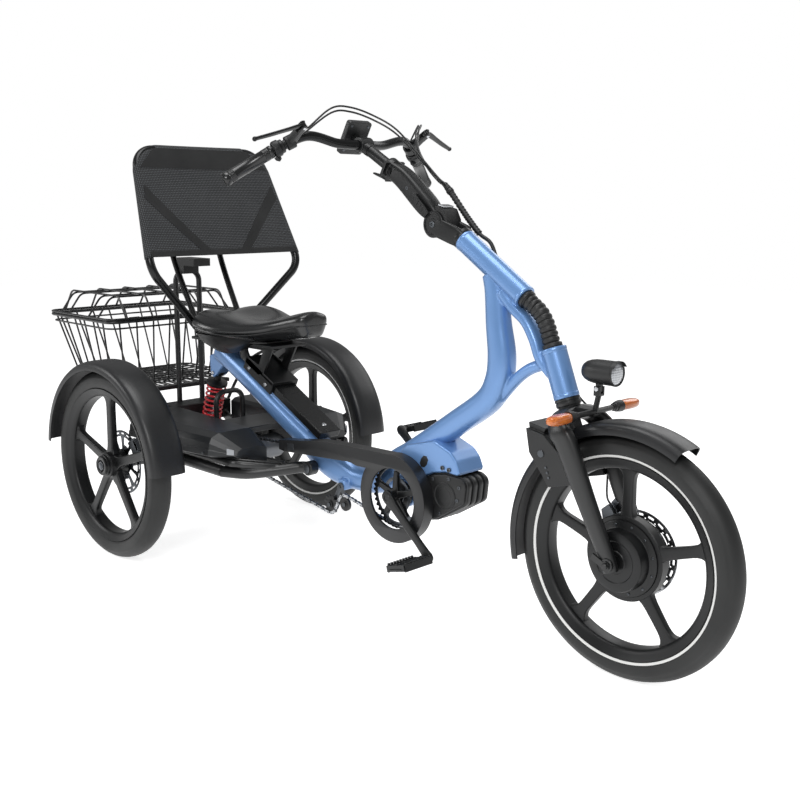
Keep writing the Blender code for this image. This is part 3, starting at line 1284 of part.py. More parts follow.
def build_chain_guard(machine, centre, loop):
    """A hollow guard round the chainring with an arm over the chain's upper run."""
    mid = at(BB[0] + 0.0007, 0, BB[1] - 0.005)
    rear = [(-1.000, 0.343), (-0.850, 0.365)]
    low = [(-0.750, 0.330), (-1.000, 0.313)]

    def outline(radius, inset):
        points = []
        first = math.radians(98)
        last = math.radians(-214)
        for k in range(17):
            angle = first + (last - first) * k / 16
            points.append(mid + X * (radius * math.cos(angle)) + Z * (radius * math.sin(angle)))
        points += [spot((low[0][0], low[0][1] + inset)), spot((low[1][0] - inset * 9, low[1][1] + inset)),
                   spot((rear[0][0] - inset * 9, rear[0][1] - inset)), spot((rear[1][0], rear[1][1] - inset))]
        return points

    shell = prism([p + Y * GUARD_OUTER_FACE for p in outline(GUARD_RING_RADIUS, 0.0)],
                  Y * (GUARD_INNER_FACE - GUARD_OUTER_FACE))
    hollow = prism([p + Y * (GUARD_OUTER_FACE + GUARD_WALL) for p in outline(GUARD_RING_RADIUS - GUARD_WALL, GUARD_WALL)],
                   Y * 0.1)
    hole = rod(mid - Y * 0.2, mid + Y * 0.2, GUARD_HOLE_RADIUS, 24)
    # The lower run leaves the shell through a slot in its rear wall.
    slot = box(at(-0.730, GUARD_OUTER_FACE + GUARD_WALL, 0.192), at(-0.660, GUARD_INNER_FACE + 0.02, 0.226))
    machine.piece("chain_guard", "frame", "black_plastic", [shell], [hollow, hole, slot])


def build_tensioner(machine, rear_pulley, front_pulley, small):
    """An arm under the frame with a toothed pulley and a plain one, and the gear hub."""
    near = HANGER_FACE - GAP
    plate = near - 0.003
    pivot = at(HANGER[0], 0, HANGER[1])
    shapes = []
    for start, end in ((pivot, front_pulley), (pivot, rear_pulley)):
        a = Vector((start.x, near, start.z))
        b = Vector((end.x, near, end.z))
        shapes.append(beam(a - Y * 0.0015, b - Y * 0.0015, 0.0015, 0.008))
    for pulley in (front_pulley, rear_pulley, pivot):
        shapes.append(rod(Vector((pulley.x, near, pulley.z)), Vector((pulley.x, plate, pulley.z)), 0.0105, 10))
    end = CHAIN_PLANE - 0.0075
    for pulley in (front_pulley, rear_pulley):
        shapes.append(rod(Vector((pulley.x, plate + 0.001, pulley.z)), Vector((pulley.x, end, pulley.z)),
                          PULLEY_PIN_RADIUS, 8))
    machine.piece("tensioner_arm", "frame", "black_satin", shapes)
    bore = ring_bore(PULLEY_PIN_RADIUS, 8, GAP)
    machine.body("tensioner_pulley_rear_axis", rear_pulley, None)
    machine.body("tensioner_pulley_front_axis", front_pulley, None)
    hole = rod(rear_pulley - Y * 0.02, rear_pulley + Y * 0.02, bore, 8)
    rear = [sprocket(rear_pulley, PULLEY_TEETH, 0.0022), disc(rear_pulley, Y, 0.010, 0.010, 8)]
    machine.piece("tensioner_pulley_rear", "tensioner_pulley_rear_axis", "black_plastic", rear, [hole])
    hole = rod(front_pulley - Y * 0.02, front_pulley + Y * 0.02, bore, 8)
    roller = small - CHAIN_HALF_HEIGHT - GAP * 2
    machine.piece("tensioner_pulley_front", "tensioner_pulley_front_axis", "black_plastic",
                  [disc(front_pulley, Y, roller, 0.010, 16)], [hole])

    hub = spot(GEAR_HUB)
    machine.body("gear_hub_axis", hub, "rear_frame_axis")
    plate = sprocket(at(GEAR_HUB[0], CHAIN_PLANE, GEAR_HUB[1]), SPROCKET_TEETH, RING_THICKNESS)
    drum_end = CHAIN_PLANE + CHAIN_HALF_WIDTH + 0.006
    drum = turned([(0, drum_end), (GEAR_HUB_RADIUS * 0.8, drum_end), (GEAR_HUB_RADIUS, drum_end + 0.010),
                   (GEAR_HUB_RADIUS, 0.050), (GEAR_HUB_RADIUS * 0.8, 0.060), (0, 0.060)],
                  hub, Y, 14)
    neck = rod(hub + Y * (CHAIN_PLANE - 0.006), hub + Y * (drum_end + 0.002), 0.020, 12)
    machine.piece("gear_hub", "gear_hub_axis", "aluminium", [drum, neck, plate],
                  [rod(hub - Y * 0.2, hub + Y * 0.2, ring_bore(GEAR_AXLE_RADIUS, 12, GAP), 12)])


# Rear frame, shock absorber and covers


def both_sides(shapes):
    """The shapes and their mirror images."""
    return list(shapes) + [shape.mirrored() for shape in shapes]


def build_rear_frame(machine):
    """The swinging rear frame, its covers, the carrier, the basket and its lid."""
    pivot = spot(SWING_PIVOT)
    machine.body("rear_frame_axis", pivot, None)
    belly = 0.0340 + GAP * 2
    ring_end = belly + 0.026
    side = SWING_SIDE
    lower = [at(-WHEELBASE, -side, 0.2590)] + smooth([
        at(-1.110, -side, 0.2590),
        at(-1.045, -side * 0.84, 0.2610), at(-0.995, -side * 0.54, 0.2680), at(-0.962, -belly - 0.027, 0.2740),
        at(-0.942, -belly - 0.0165, 0.2760)], 2)
    upper = smooth([
        at(-WHEELBASE, -side - 0.004, 0.2885), at(-1.110, -side - 0.004, 0.2885),
        at(-1.060, -side * 0.96, 0.2875), at(-1.020, -side * 0.74, 0.2820), at(-0.990, -side * 0.47, 0.2740)], 1)
    hub_out = TRACK / 2 + HUB_HALF_WIDTH
    axle = at(-WHEELBASE, 0, AXLE_HEIGHT)
    end = TRACK / 2 - HUB_HALF_WIDTH - DISC_THICKNESS - 0.022
    beam_front, beam_rear = BEAM_STATIONS
    beam_low, beam_top = BEAM_HEIGHTS
    foot = spot(SHOCK_FOOT)
    shock_lug = slab([(REAR - 0.091, 0.334), (REAR - 0.075, 0.316), (REAR - 0.049, 0.3105), (REAR - 0.041, 0.300),
                      (REAR - 0.049, 0.288), (REAR - 0.061, 0.286), (REAR - 0.091, 0.306)], -0.0195, 0.0195)
    stub = [
        rod(axle + Y * -(end - 0.01), axle - Y * (hub_out + 0.012), REAR_STUB_RADIUS, 12),
        rod(axle - Y * (hub_out + GAP), axle - Y * (hub_out + 0.009), 0.014, 6),
        rod(pivot - Y * belly, pivot - Y * ring_end, 0.019, 10),
        sweep(lower, SWING_TUBE_RADIUS, 8, side=Z),
        sweep(upper, 0.010, 6, side=Z),
        beam(at(-1.000, -0.080, 0.2750), at(-WHEELBASE, -0.080, 0.2660), 0.004, 0.012),
        beam(at(REAR + 0.019, -0.080, 0.2660), at(REAR - 0.109, -0.080, 0.3300), 0.004, 0.014),
        beam(at(REAR + 0.046, -0.002, 0.270), at(REAR + 0.046, -0.081, 0.270), 0.008, 0.008, side=X),
        box(at(REAR + 0.091, -COVER_INNER + GAP, 0.270), at(REAR + 0.121, -0.079, 0.302)),
        sweep([at(REAR - 0.109, -0.094, 0.338), at(REAR - 0.109, -0.140, 0.415), at(REAR - 0.109, -0.190, 0.470),
               at(REAR - 0.109, -0.250, GUARD_STAY_HEIGHT), at(REAR - 0.109, -GUARD_STAY_END, GUARD_STAY_HEIGHT)],
              0.005, 5, side=X),
    ]
    arch = rounded([at(REAR + 0.046, -0.046, 0.268), at(REAR + 0.046, -0.046, 0.418), at(REAR + 0.046, 0.046, 0.418),
                    at(REAR + 0.046, 0.046, 0.268)], 0.030, 3)
    shapes = [
        rod(axle - Y * end, axle + Y * end, AXLE_TUBE_RADIUS, 12),
        rod(pivot - Y * (ring_end - 0.002), pivot + Y * (ring_end - 0.002), SWING_PIN_RADIUS, 12),
        box(at(beam_rear, -0.100, beam_low), at(beam_front, 0.100, beam_top)),
        rod(at(GEAR_HUB[0], -0.0835, GEAR_HUB[1]), at(GEAR_HUB[0], 0.0835, GEAR_HUB[1]), GEAR_AXLE_RADIUS, 10),
        sweep(arch, 0.0075, 6, side=X),
        shock_lug,
    ]
    gap_half = SHOCK_EYE_HALF + GAP
    room = disc(foot, Y, 0.0245, 2 * gap_half, 12)
    machine.piece("rear_frame", "rear_frame_axis", "black_paint", shapes + both_sides(stub), [room])

    build_covers(machine)
    build_carrier(machine, beam_top)
    build_basket(machine)


def build_covers(machine):
    """One plastic cover: a box on each side, joined by a bridge under the boom."""
    stations = [
        (REAR - 0.074, 0.172, 0.262, 0.372, 0.034), (-1.230, 0.172, 0.258, 0.366, 0.034),
        (-1.112, 0.170, 0.240, 0.363, 0.030), (-1.056, 0.146, 0.166, 0.318, 0.012),
    ]
    inner = COVER_INNER
    rings = []
    for station, low, outer, top, bevel in stations:
        rings.append([
            at(station, -inner, 0.2795), at(station, -low, 0.2795), at(station, -low - 0.008, 0.3015),
            at(station, -max(outer - 0.012, low + 0.010), 0.3020), at(station, -outer, 0.3080),
            at(station, -outer + 0.002, max(top - bevel, 0.311)), at(station, -outer + bevel * 1.5, top),
            at(station, -inner - 0.012, top - 0.002), at(station, -inner, top - 0.010),
        ])
    side = rings_to_shape(rings)
    bridge = box(at(-1.290, -inner - 0.004, 0.3340), at(-1.155, inner + 0.004, 0.3510))
    machine.piece("rear_cover", "rear_frame_axis", "grey_plastic", [side, side.mirrored(), bridge])


def build_carrier(machine, beam_top):
    """The hoop on the cross beam, the bracket over it and the rack under the basket."""
    foot = REAR - 0.149
    hoop = rounded([at(foot, -0.040, beam_top + GAP), at(foot, -0.040, 0.752), at(foot, 0.040, 0.752),
                    at(foot, 0.040, beam_top + GAP)], 0.032, 3)
    top = RACK_TOP
    low = top - 0.012
    shapes = [
        sweep(hoop, 0.0080, 6, side=X),
        box(at(foot - 0.030, -0.034, 0.744), at(foot + 0.025, 0.034, 0.774)),
        box(at(foot - 0.028, -0.042, 0.768), at(foot + 0.078, 0.042, 0.790)),
        box(at(foot - 0.012, -0.140, low), at(foot + 0.004, 0.140, top)),
        box(at(foot - 0.310, -0.140, low), at(foot - 0.298, 0.140, top)),
    ]
    for y in (-0.134, -0.067, 0.0, 0.067, 0.134):
        shapes.append(box(at(foot - 0.306, y - 0.005, low + 0.001), at(foot, y + 0.005, top - 0.001)))
    machine.piece("rear_carrier", "rear_frame_axis", "black_paint", shapes)


def rectangle(rear, front, half_width, height, corner):
    """A rounded rectangle of points at a height."""
    corners = [at(rear, -half_width, height), at(front, -half_width, height),
               at(front, half_width, height), at(rear, half_width, height)]
    return rounded(corners, corner, 2, closed=True)


def build_basket(machine):
    """A wire basket: rim, floor and uprights, and the hinged wire lid."""
    rim = rectangle(BASKET_REAR, BASKET_FRONT, BASKET_HALF_WIDTH, BASKET_RIM_HEIGHT, 0.030)
    floor = rectangle(BASKET_FLOOR_REAR, BASKET_FLOOR_FRONT, BASKET_FLOOR_HALF_WIDTH, BASKET_FLOOR_HEIGHT, 0.030)
    shapes = [
        sweep(rim, RIM_WIRE_HALF * math.sqrt(2), 4, side=Z, closed=True),
        sweep(floor, WIRE_HALF * math.sqrt(2), 4, side=Z, closed=True),
    ]

    def upright(high, low, side):
        reach = unit(low, high)
        return beam(low - reach * 0.001, high + reach * 0.001, WIRE_HALF, WIRE_HALF, side=side)

    for t in (0.17, 0.5, 0.83):
        for sign in (-1, 1):
            shapes.append(upright(
                at(BASKET_REAR + (BASKET_FRONT - BASKET_REAR) * t, sign * BASKET_HALF_WIDTH, BASKET_RIM_HEIGHT),
                at(BASKET_FLOOR_REAR + (BASKET_FLOOR_FRONT - BASKET_FLOOR_REAR) * t,
                   sign * BASKET_FLOOR_HALF_WIDTH, BASKET_FLOOR_HEIGHT), X))
    for t in (-0.80, -0.40, 0.0, 0.40, 0.80):
        for rim_x, floor_x in ((BASKET_REAR, BASKET_FLOOR_REAR), (BASKET_FRONT, BASKET_FLOOR_FRONT)):
            shapes.append(upright(at(rim_x, t * BASKET_HALF_WIDTH, BASKET_RIM_HEIGHT),
                                  at(floor_x, t * BASKET_FLOOR_HALF_WIDTH, BASKET_FLOOR_HEIGHT), Y))
    for t in (-0.6, -0.2, 0.2, 0.6):
        y = t * BASKET_FLOOR_HALF_WIDTH
        shapes.append(beam(at(BASKET_FLOOR_REAR, y, BASKET_FLOOR_HEIGHT), at(BASKET_FLOOR_FRONT, y, BASKET_FLOOR_HEIGHT),
                           WIRE_HALF * 0.9, WIRE_HALF * 0.9))
    machine.piece("basket", "rear_frame_axis", "black_paint", shapes)

    hinge = at(BASKET_REAR - RIM_WIRE_HALF, 0, BASKET_RIM_HEIGHT + RIM_WIRE_HALF + GAP / 2)
    machine.body("basket_lid_axis", hinge, "rear_frame_axis")
    half = 0.0035
    level = BASKET_RIM_HEIGHT + RIM_WIRE_HALF + GAP + half
    edge = RIM_WIRE_HALF - half
    frame = rectangle(BASKET_REAR - edge, BASKET_FRONT + edge, BASKET_HALF_WIDTH + edge, level, 0.030)
    shapes = [sweep(frame, half * math.sqrt(2), 4, side=Z, closed=True)]
    for y in (-0.176, -0.088, 0.0, 0.088, 0.176):
        line = rounded([at(BASKET_REAR, y, level), at(BASKET_REAR + 0.047, y, LID_HEIGHT),
                        at(BASKET_FRONT - 0.038, y, LID_HEIGHT),
                        at(BASKET_FRONT, y, level)], 0.030, 1)
        shapes.append(sweep(line, WIRE_HALF * math.sqrt(2), 4, side=Y))
    for station in (BASKET_REAR + 0.120, BASKET_REAR + 0.238):
        line = rounded([at(station, -BASKET_HALF_WIDTH, level), at(station, -0.186, LID_HEIGHT - 0.0035),
                        at(station, 0.186, LID_HEIGHT - 0.0035), at(station, BASKET_HALF_WIDTH, level)], 0.030, 1)
        shapes.append(sweep(line, WIRE_HALF * math.sqrt(2), 4, side=X))
    machine.piece("basket_lid", "basket_lid_axis", "black_paint", shapes)


def coil(top, foot):
    """The spring's centre line, with a closed flat turn at each end."""
    axis = unit(top, foot)
    across = axis.cross(Y).normalized()
    other = axis.cross(across)
    length = (foot - top).length
    points = []
    per_turn = 8
    count = round(SPRING_TURNS * per_turn)
    dead = 0.75
    rise = (length - 2 * dead * SPRING_END_RISE) / (SPRING_TURNS - 2 * dead)
    for k in range(count + 1):
        turn = SPRING_TURNS * k / count
        if turn < dead:
            depth = SPRING_END_RISE * turn
        elif turn > SPRING_TURNS - dead:
            depth = length - SPRING_END_RISE * (SPRING_TURNS - turn)
        else:
            depth = SPRING_END_RISE * dead + rise * (turn - dead)
        angle = 2 * math.pi * turn
        points.append(top + axis * depth + across * (SPRING_RADIUS * math.cos(angle))
                      + other * (SPRING_RADIUS * math.sin(angle)))
    return points


def least_gap(points, wire, near):
    """The least distance between turns of a coil, less the wire, away from neighbours."""
    least = 1.0
    for i, a in enumerate(points):
        for b in points[i + near:]:
            least = min(least, (b - a).length)
    return least - 2 * wire


def build_shock(machine):
    """The sprung strut between the boom's end and the rear frame."""
    top = spot(SHOCK_TOP)
    foot = spot(SHOCK_FOOT)
    axis = unit(top, foot)
    length = (foot - top).length
    machine.body("shock_body_axis", top, "frame")
    machine.body("shock_rod_axis", foot, "rear_frame_axis")
    pin_bore = ring_bore(SHOCK_PIN_RADIUS, 12, GAP)

    def eye(centre):
        return disc(centre, Y, SHOCK_EYE_RADIUS, 2 * SHOCK_EYE_HALF, 14)

    spring_top = 0.0390
    spring_foot = length - 0.0275
    seat = SPRING_RADIUS + SPRING_WIRE_RADIUS + 0.0015
    body_end = 0.106
    damper = turned(
        [(0, 0.006), (0.0105, 0.006), (0.0105, spring_top - 0.015), (seat, spring_top - 0.009),
         (seat, spring_top), (DAMPER_RADIUS, spring_top), (DAMPER_RADIUS, body_end), (0, body_end)],
        top, axis, 12)
    bore = rod(top + axis * 0.045, top + axis * (body_end + 0.01), SHOCK_ROD_RADIUS + 0.0018, 12)
    machine.piece("shock_body", "shock_body_axis", "black_satin", [eye(top), damper],
                  [bore, rod(top - Y * 0.05, top + Y * 0.05, pin_bore, 12)])
    rod_shape = turned(
        [(0, 0.080), (SHOCK_ROD_RADIUS, 0.080), (SHOCK_ROD_RADIUS, spring_foot), (seat, spring_foot),
         (seat, spring_foot + 0.007), (0.0105, spring_foot + 0.010), (0.0105, length - 0.006), (0, length - 0.006)],
        top, axis, 12)
    machine.piece("shock_rod", "shock_rod_axis", "steel", [eye(foot), rod_shape],
                  [rod(foot - Y * 0.05, foot + Y * 0.05, pin_bore, 12)])

    inset = SPRING_WIRE_RADIUS + GAP
    line = coil(top + axis * (spring_top + inset), top + axis * (spring_foot - inset))
    print("spring: least gap between turns", round(least_gap(line, SPRING_WIRE_RADIUS, 5) * 1000, 2), "mm")
    spring = bpy.data.curves.new("shock_spring", "CURVE")
    spring.dimensions = "3D"
    spring.bevel_depth = SPRING_WIRE_RADIUS
    spring.bevel_resolution = 1
    spring.use_fill_caps = True
    run = spring.splines.new("POLY")
    run.points.add(len(line) - 1)
    for point, place in zip(run.points, line):
        point.co = (*(place - top), 1)
    spring.materials.append(material("shock_spring", *FINISHES["red_paint"]))
    obj = bpy.data.objects.new("shock_spring", spring)
    bpy.context.scene.collection.objects.link(obj)
    obj.parent = machine.bodies["shock_body_axis"][0]


# Seat


def build_seat(machine):
    """Saddle, sliding carriage, backrest frame and its mesh panel."""
    machine.body("seat_axis", boom_point(-1.180), None)
    under = RAIL_BASE + RAIL_HEIGHT + GAP
    a = boom_point(-1.238)
    b = boom_point(-1.122)
    jaw_in = RAIL_HALF_WIDTH + GAP
    jaw_out = jaw_in + 0.008
    jaw_low = RAIL_BASE - 0.004
    shapes = [beam(a + BOOM_UP * (under + 0.006), b + BOOM_UP * (under + 0.006), jaw_out, 0.006)]
    for sign in (-1, 1):
        mid = Y * sign * (jaw_in + jaw_out) / 2
        height = (under + 0.008 + jaw_low) / 2
        shapes.append(beam(a + BOOM_UP * height + mid, b + BOOM_UP * height + mid, 0.004,
                           (under + 0.008 - jaw_low) / 2))
    plate_low, plate_top = SEAT_PLATE
    web = [(-1.236, plate_low + 0.002), (-1.085, plate_low + 0.002), (-1.128, 0.500), (-1.150, 0.492),
           (-1.228, 0.532)]
    window = [(-1.205, 0.562), (-1.128, 0.562), (-1.148, 0.520), (-1.190, 0.536)]
    cheeks = []
    for sign in (-1, 1):
        near, far = sorted((sign * jaw_out, sign * (jaw_out - 0.0065)))
        shapes.append(slab(web, near, far))
    cheeks.append(slab(window, -0.2, 0.2))
    shapes.append(box(at(-1.278, -0.060, plate_low), at(-1.070, 0.060, plate_top)))
    for sign in (-1, 1):
        near, far = sorted((sign * 0.0500, sign * 0.0900))
        shapes.append(box(at(-1.394, near, plate_low), at(-1.262, far, plate_top)))
    machine.piece("seat_carriage", "seat_axis", "black_paint", shapes, cheeks)

    stations = [
        # station, half width, top, wing rise, edge height, underside
        (-1.352, 0.070, 0.636, 0.004, 0.622, 0.606), (-1.338, 0.118, 0.651, 0.008, 0.622, 0.592),
        (-1.305, 0.146, 0.654, 0.012, 0.616, 0.5805), (-1.262, 0.150, 0.648, 0.014, 0.610, 0.5799),
        (-1.215, 0.141, 0.641, 0.010, 0.607, 0.5799), (-1.165, 0.120, 0.638, 0.004, 0.606, 0.5810),
        (-1.115, 0.094, 0.644, 0.000, 0.610, 0.586), (-1.065, 0.071, 0.656, -0.002, 0.620, 0.593),
        (-1.015, 0.058, 0.669, -0.003, 0.632, 0.600), (-0.978, 0.050, 0.676, -0.003, 0.640, 0.606),
        (-0.958, 0.030, 0.668, -0.002, 0.642, 0.617),
    ]
    rings = []
    sides = 14
    for station, half, top, wing, edge, low in stations:
        ring = []
        for k in range(sides):
            angle = 2 * math.pi * k / sides
            c, s = math.cos(angle), math.sin(angle)
            if s >= 0:
                y = half * math.copysign(abs(c) ** 0.8, c)
                share = (y / half) ** 2
                crest = top + wing * 4 * share * (1 - share)
                z = edge + (crest - edge) * s ** 0.55
            else:
                y = half * 0.94 * math.copysign(abs(c) ** 0.7, c)
                z = edge + (low - edge) * (-s) ** 0.6
            ring.append(at(station, y, z))
        rings.append(ring)
    last_ring = rings[-1]
    between = [[p.lerp(q, 0.5) for p, q in zip(a, b)] for a, b in zip(rings, rings[1:])]
    rings = [ring for k in range(len(between)) for ring in ((rings[k], between[k]) if k < 5 else (rings[k],))]
    rings.append(last_ring)
    machine.piece("saddle", "seat_axis", "vinyl", rings_to_shape(rings), sharp=60)

    foot = at(-1.374, -0.072, plate_top + GAP)
    low_corner = at(-1.331, -0.2515, 0.772)
    top_corner = at(-1.4635, -0.2060, 1.0910)
    half_line = rounded([foot, foot + Z * 0.014, low_corner, top_corner, at(-1.4635, 0, 1.0910)], 0.040, 3)
    # The first bend is tight, so that the tube's foot still stands square on the carriage.
    half_line = [foot, foot + Z * 0.012] + [p for p in half_line if (p - foot).length > 0.05]
    line = half_line + [Vector((p.x, -p.y, p.z)) for p in reversed(half_line[:-1])]
    outer = sweep(line, SEAT_TUBE_RADIUS, 8, side=None)
    stay = smooth([at(-1.372, -0.078, 0.603), at(-1.400, -0.076, 0.640), at(-1.484, -0.080, 0.790),
                   at(-1.498, -0.080, 0.870), at(-1.476, -0.080, 1.040), at(-1.4640, -0.080, 1.0900)], 1)
    machine.piece("backrest_frame", "seat_axis", "black_paint",
                  [outer] + both_sides([sweep(stay, 0.0085, 6, side=Y)]))

    up = unit(low_corner, Vector((top_corner.x, low_corner.y, top_corner.z)))
    forward = Vector((up.z, 0, -up.x))
    lift = forward * (SEAT_TUBE_RADIUS + GAP + PANEL_THICKNESS / 2)
    start = (0.803 - low_corner.z) / up.z
    finish = (top_corner.z - low_corner.z) / up.z
    slope = (abs(low_corner.y) - abs(top_corner.y)) / finish

    def edge(s, inset=0.0):
        """A point of the panel's right edge, s up from the tube's lower corner."""
        return Vector((low_corner.x, -(abs(low_corner.y) - slope * s - inset), low_corner.z)) + up * s + lift

    half = [edge(start, 0.006), edge(finish - 0.030), edge(finish - 0.010, 0.006), edge(finish + 0.004, 0.026)]
    outline = half + [Vector((p.x, -p.y, p.z)) for p in reversed(half)]
    panel = prism([p - forward * PANEL_THICKNESS / 2 for p in outline], forward * PANEL_THICKNESS)
    machine.piece("backrest_mesh", "seat_axis", "mesh_fabric", panel)


def main():
    """Build the whole machine."""
    clear_scene()
    machine = Machine()
    build_frame(machine)
    build_rear_frame(machine)
    build_fork(machine)
    build_wheels(machine)
    build_guards(machine)
    build_steering(machine)
    build_drive(machine)
    build_shock(machine)
    build_seat(machine)


main()
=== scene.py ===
"""Looks of a semi-recumbent tricycle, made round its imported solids.

Stations run forward from the front axle, as they do for the solids, and `at` turns a station,
a side offset and a height into the frame's metres. Every sub-assembly is a class that holds
its sizes and dresses its own pieces.
"""

from __future__ import annotations

import json
import logging
import math
from dataclasses import dataclass
from enum import Enum
from typing import Callable, Optional, Sequence

import bmesh
import bpy
from mathutils import Matrix, Vector

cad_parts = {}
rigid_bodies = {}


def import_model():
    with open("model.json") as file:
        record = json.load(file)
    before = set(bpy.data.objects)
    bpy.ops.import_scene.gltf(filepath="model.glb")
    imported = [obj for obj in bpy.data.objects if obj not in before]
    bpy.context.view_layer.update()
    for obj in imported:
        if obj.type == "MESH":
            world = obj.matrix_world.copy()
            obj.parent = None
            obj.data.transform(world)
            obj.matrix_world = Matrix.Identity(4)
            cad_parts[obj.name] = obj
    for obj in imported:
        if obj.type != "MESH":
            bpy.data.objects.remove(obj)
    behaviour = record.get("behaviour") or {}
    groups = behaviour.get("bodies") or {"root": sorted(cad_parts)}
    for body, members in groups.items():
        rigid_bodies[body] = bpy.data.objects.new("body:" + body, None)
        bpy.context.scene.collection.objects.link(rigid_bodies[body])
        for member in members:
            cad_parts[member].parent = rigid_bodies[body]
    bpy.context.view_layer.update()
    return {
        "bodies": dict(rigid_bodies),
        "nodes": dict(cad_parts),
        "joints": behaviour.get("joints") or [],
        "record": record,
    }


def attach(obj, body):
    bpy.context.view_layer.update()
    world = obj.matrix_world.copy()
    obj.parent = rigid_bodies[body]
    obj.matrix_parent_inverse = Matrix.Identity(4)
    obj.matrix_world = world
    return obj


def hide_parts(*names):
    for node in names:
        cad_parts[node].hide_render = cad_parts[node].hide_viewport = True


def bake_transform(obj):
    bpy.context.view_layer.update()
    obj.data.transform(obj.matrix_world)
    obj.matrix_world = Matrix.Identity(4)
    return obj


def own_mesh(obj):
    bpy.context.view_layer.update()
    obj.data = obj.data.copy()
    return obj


LOG = logging.getLogger("tricycle")

X = Vector((1.0, 0.0, 0.0))
Y = Vector((0.0, 1.0, 0.0))
Z = Vector((0.0, 0.0, 1.0))
FRONT_AXLE_X = 0.850369
AXLE_HEIGHT = 0.255762
WHEELBASE = 1.391
HALF_TRACK = 0.353
GAP = 0.0003
WELD_DISTANCE = 1e-5

Pair = tuple[float, float]
Path = list[Vector]


def at(station: float, side: float, height: float) -> Vector:
    """The place at a station ahead of the front axle, a side offset and a height."""
    return Vector((FRONT_AXLE_X + station, side, height))


def spot(pair: Pair, side: float = 0.0) -> Vector:
    """The place of a (station, height) pair."""
    return at(pair[0], side, pair[1])


def unit(start: Vector, end: Vector) -> Vector:
    """The direction from one point to another."""
    return (end - start).normalized()


def mirror(points: Sequence[Vector]) -> Path:
    """The same points on the machine's other side."""
    return [Vector((p.x, -p.y, p.z)) for p in points]


def ray(angle: float) -> Vector:
    """The direction at an angle in a wheel's plane, from forward towards up."""
    return X * math.cos(angle) + Z * math.sin(angle)


def linear(colour: str) -> tuple[float, float, float, float]:
    """Turn an sRGB hex value into Blender's linear colour.

    Args:
        colour: Six hex digits.

    Returns:
        Linear red, green, blue and an alpha of one.
    """
    parts = [int(colour[k:k + 2], 16) / 255 for k in (0, 2, 4)]
    low = [c / 12.92 if c <= 0.04045 else ((c + 0.055) / 1.055) ** 2.4 for c in parts]
    return low[0], low[1], low[2], 1.0


# Shapes


@dataclass
class Shape:
    """A closed surface as points and faces, before it becomes an object."""

    points: list[Vector]
    faces: list[tuple[int, ...]]

    def outward(self) -> "Shape":
        """Turn the faces round if the surface is inside out."""
        total = 0.0
        for face in self.faces:
            first = self.points[face[0]]
            for a, b in zip(face[1:-1], face[2:]):
                total += first.dot(self.points[a].cross(self.points[b]))
        if total < 0:
            self.faces = [tuple(reversed(face)) for face in self.faces]
        return self

    def mirrored(self) -> "Shape":
        """The same surface on the machine's other side."""
        return Shape(mirror(self.points), [tuple(reversed(face)) for face in self.faces])


def loft(rings: Sequence[Sequence[Vector]], closed: bool = False) -> Shape:
    """Join rings of points into a surface. A ring of one point is a pole.

    Args:
        rings: Rings with the same number of points, or single points at the ends.
        closed: Whether the last ring joins the first.

    Returns:
        The surface, capped unless it is closed.
    """
    points: list[Vector] = []
    index: list[list[int]] = []
    for ring in rings:
        index.append(list(range(len(points), len(points) + len(ring))))
        points.extend(ring)
    faces: list[tuple[int, ...]] = []
    pairs = list(zip(index, index[1:]))
    if closed:
        pairs.append((index[-1], index[0]))
    for low, high in pairs:
        count = max(len(low), len(high))
        for k in range(count):
            n = (k + 1) % count
            if len(low) == 1:
                faces.append((low[0], high[k], high[n]))
            elif len(high) == 1:
                faces.append((low[k], high[0], low[n]))
            else:
                faces.append((low[k], high[k], high[n], low[n]))
    if not closed:
        if len(index[0]) > 1:
            faces.append(tuple(index[0]))
        if len(index[-1]) > 1:
            faces.append(tuple(reversed(index[-1])))
    return Shape(points, faces).outward()


def smooth(points: Path, steps: int = 8, closed: bool = False) -> Path:
    """Points along a smooth curve through the given ones.

    Args:
        points: Points that the curve goes through.
        steps: How many points each stretch between two of them gets.
        closed: Whether the curve comes back to its start.

    Returns:
        Points along the curve.
    """
    count = len(points)
    result = []
    for k in range(count if closed else count - 1):
        p1 = points[k]
        p2 = points[(k + 1) % count]
        p0 = points[k - 1] if k or closed else p1 * 2 - p2
        p3 = points[(k + 2) % count] if closed or k + 2 < count else p2 * 2 - p1
        for step in range(steps):
            t = step / steps
            result.append(
                (p1 * 2 + (p2 - p0) * t + (p0 * 2 - p1 * 5 + p2 * 4 - p3) * t * t
                 + (p1 * 3 - p0 - p2 * 3 + p3) * t ** 3) * 0.5
            )
    if not closed:
        result.append(points[-1].copy())
    return result


def spread(values: Sequence[Pair], steps: int = 8) -> list[Pair]:
    """Values eased between the given ones, to go with `smooth`."""
    line = smooth([Vector((a, b, 0.0)) for a, b in values], steps)
    return [(p.x, p.y) for p in line]


def rounded(points: Path, radius: float, steps: int = 8, closed: bool = False) -> Path:
    """A run of straight lines with each corner rounded to a radius.

    Args:
        points: The corners, in order.
        radius: The radius at each corner.
        steps: How many points each corner gets.
        closed: Whether the last corner joins the first.

    Returns:
        Points along the run.
    """
    result = []
    count = len(points)
    for k, point in enumerate(points):
        if not closed and k in (0, count - 1):
            result.append(point.copy())
            continue
        back = unit(point, points[k - 1])
        ahead = unit(point, points[(k + 1) % count])
        half = back.angle(ahead) / 2
        reach = radius / math.tan(half)
        centre = point + (back + ahead).normalized() * (radius / math.sin(half))
        start = point + back * reach - centre
        end = point + ahead * reach - centre
        turn = start.angle(end)
        for step in range(steps + 1):
            t = step / steps
            a = math.sin((1 - t) * turn) / math.sin(turn)
            b = math.sin(t * turn) / math.sin(turn)
            result.append(centre + start * a + end * b)
    return result


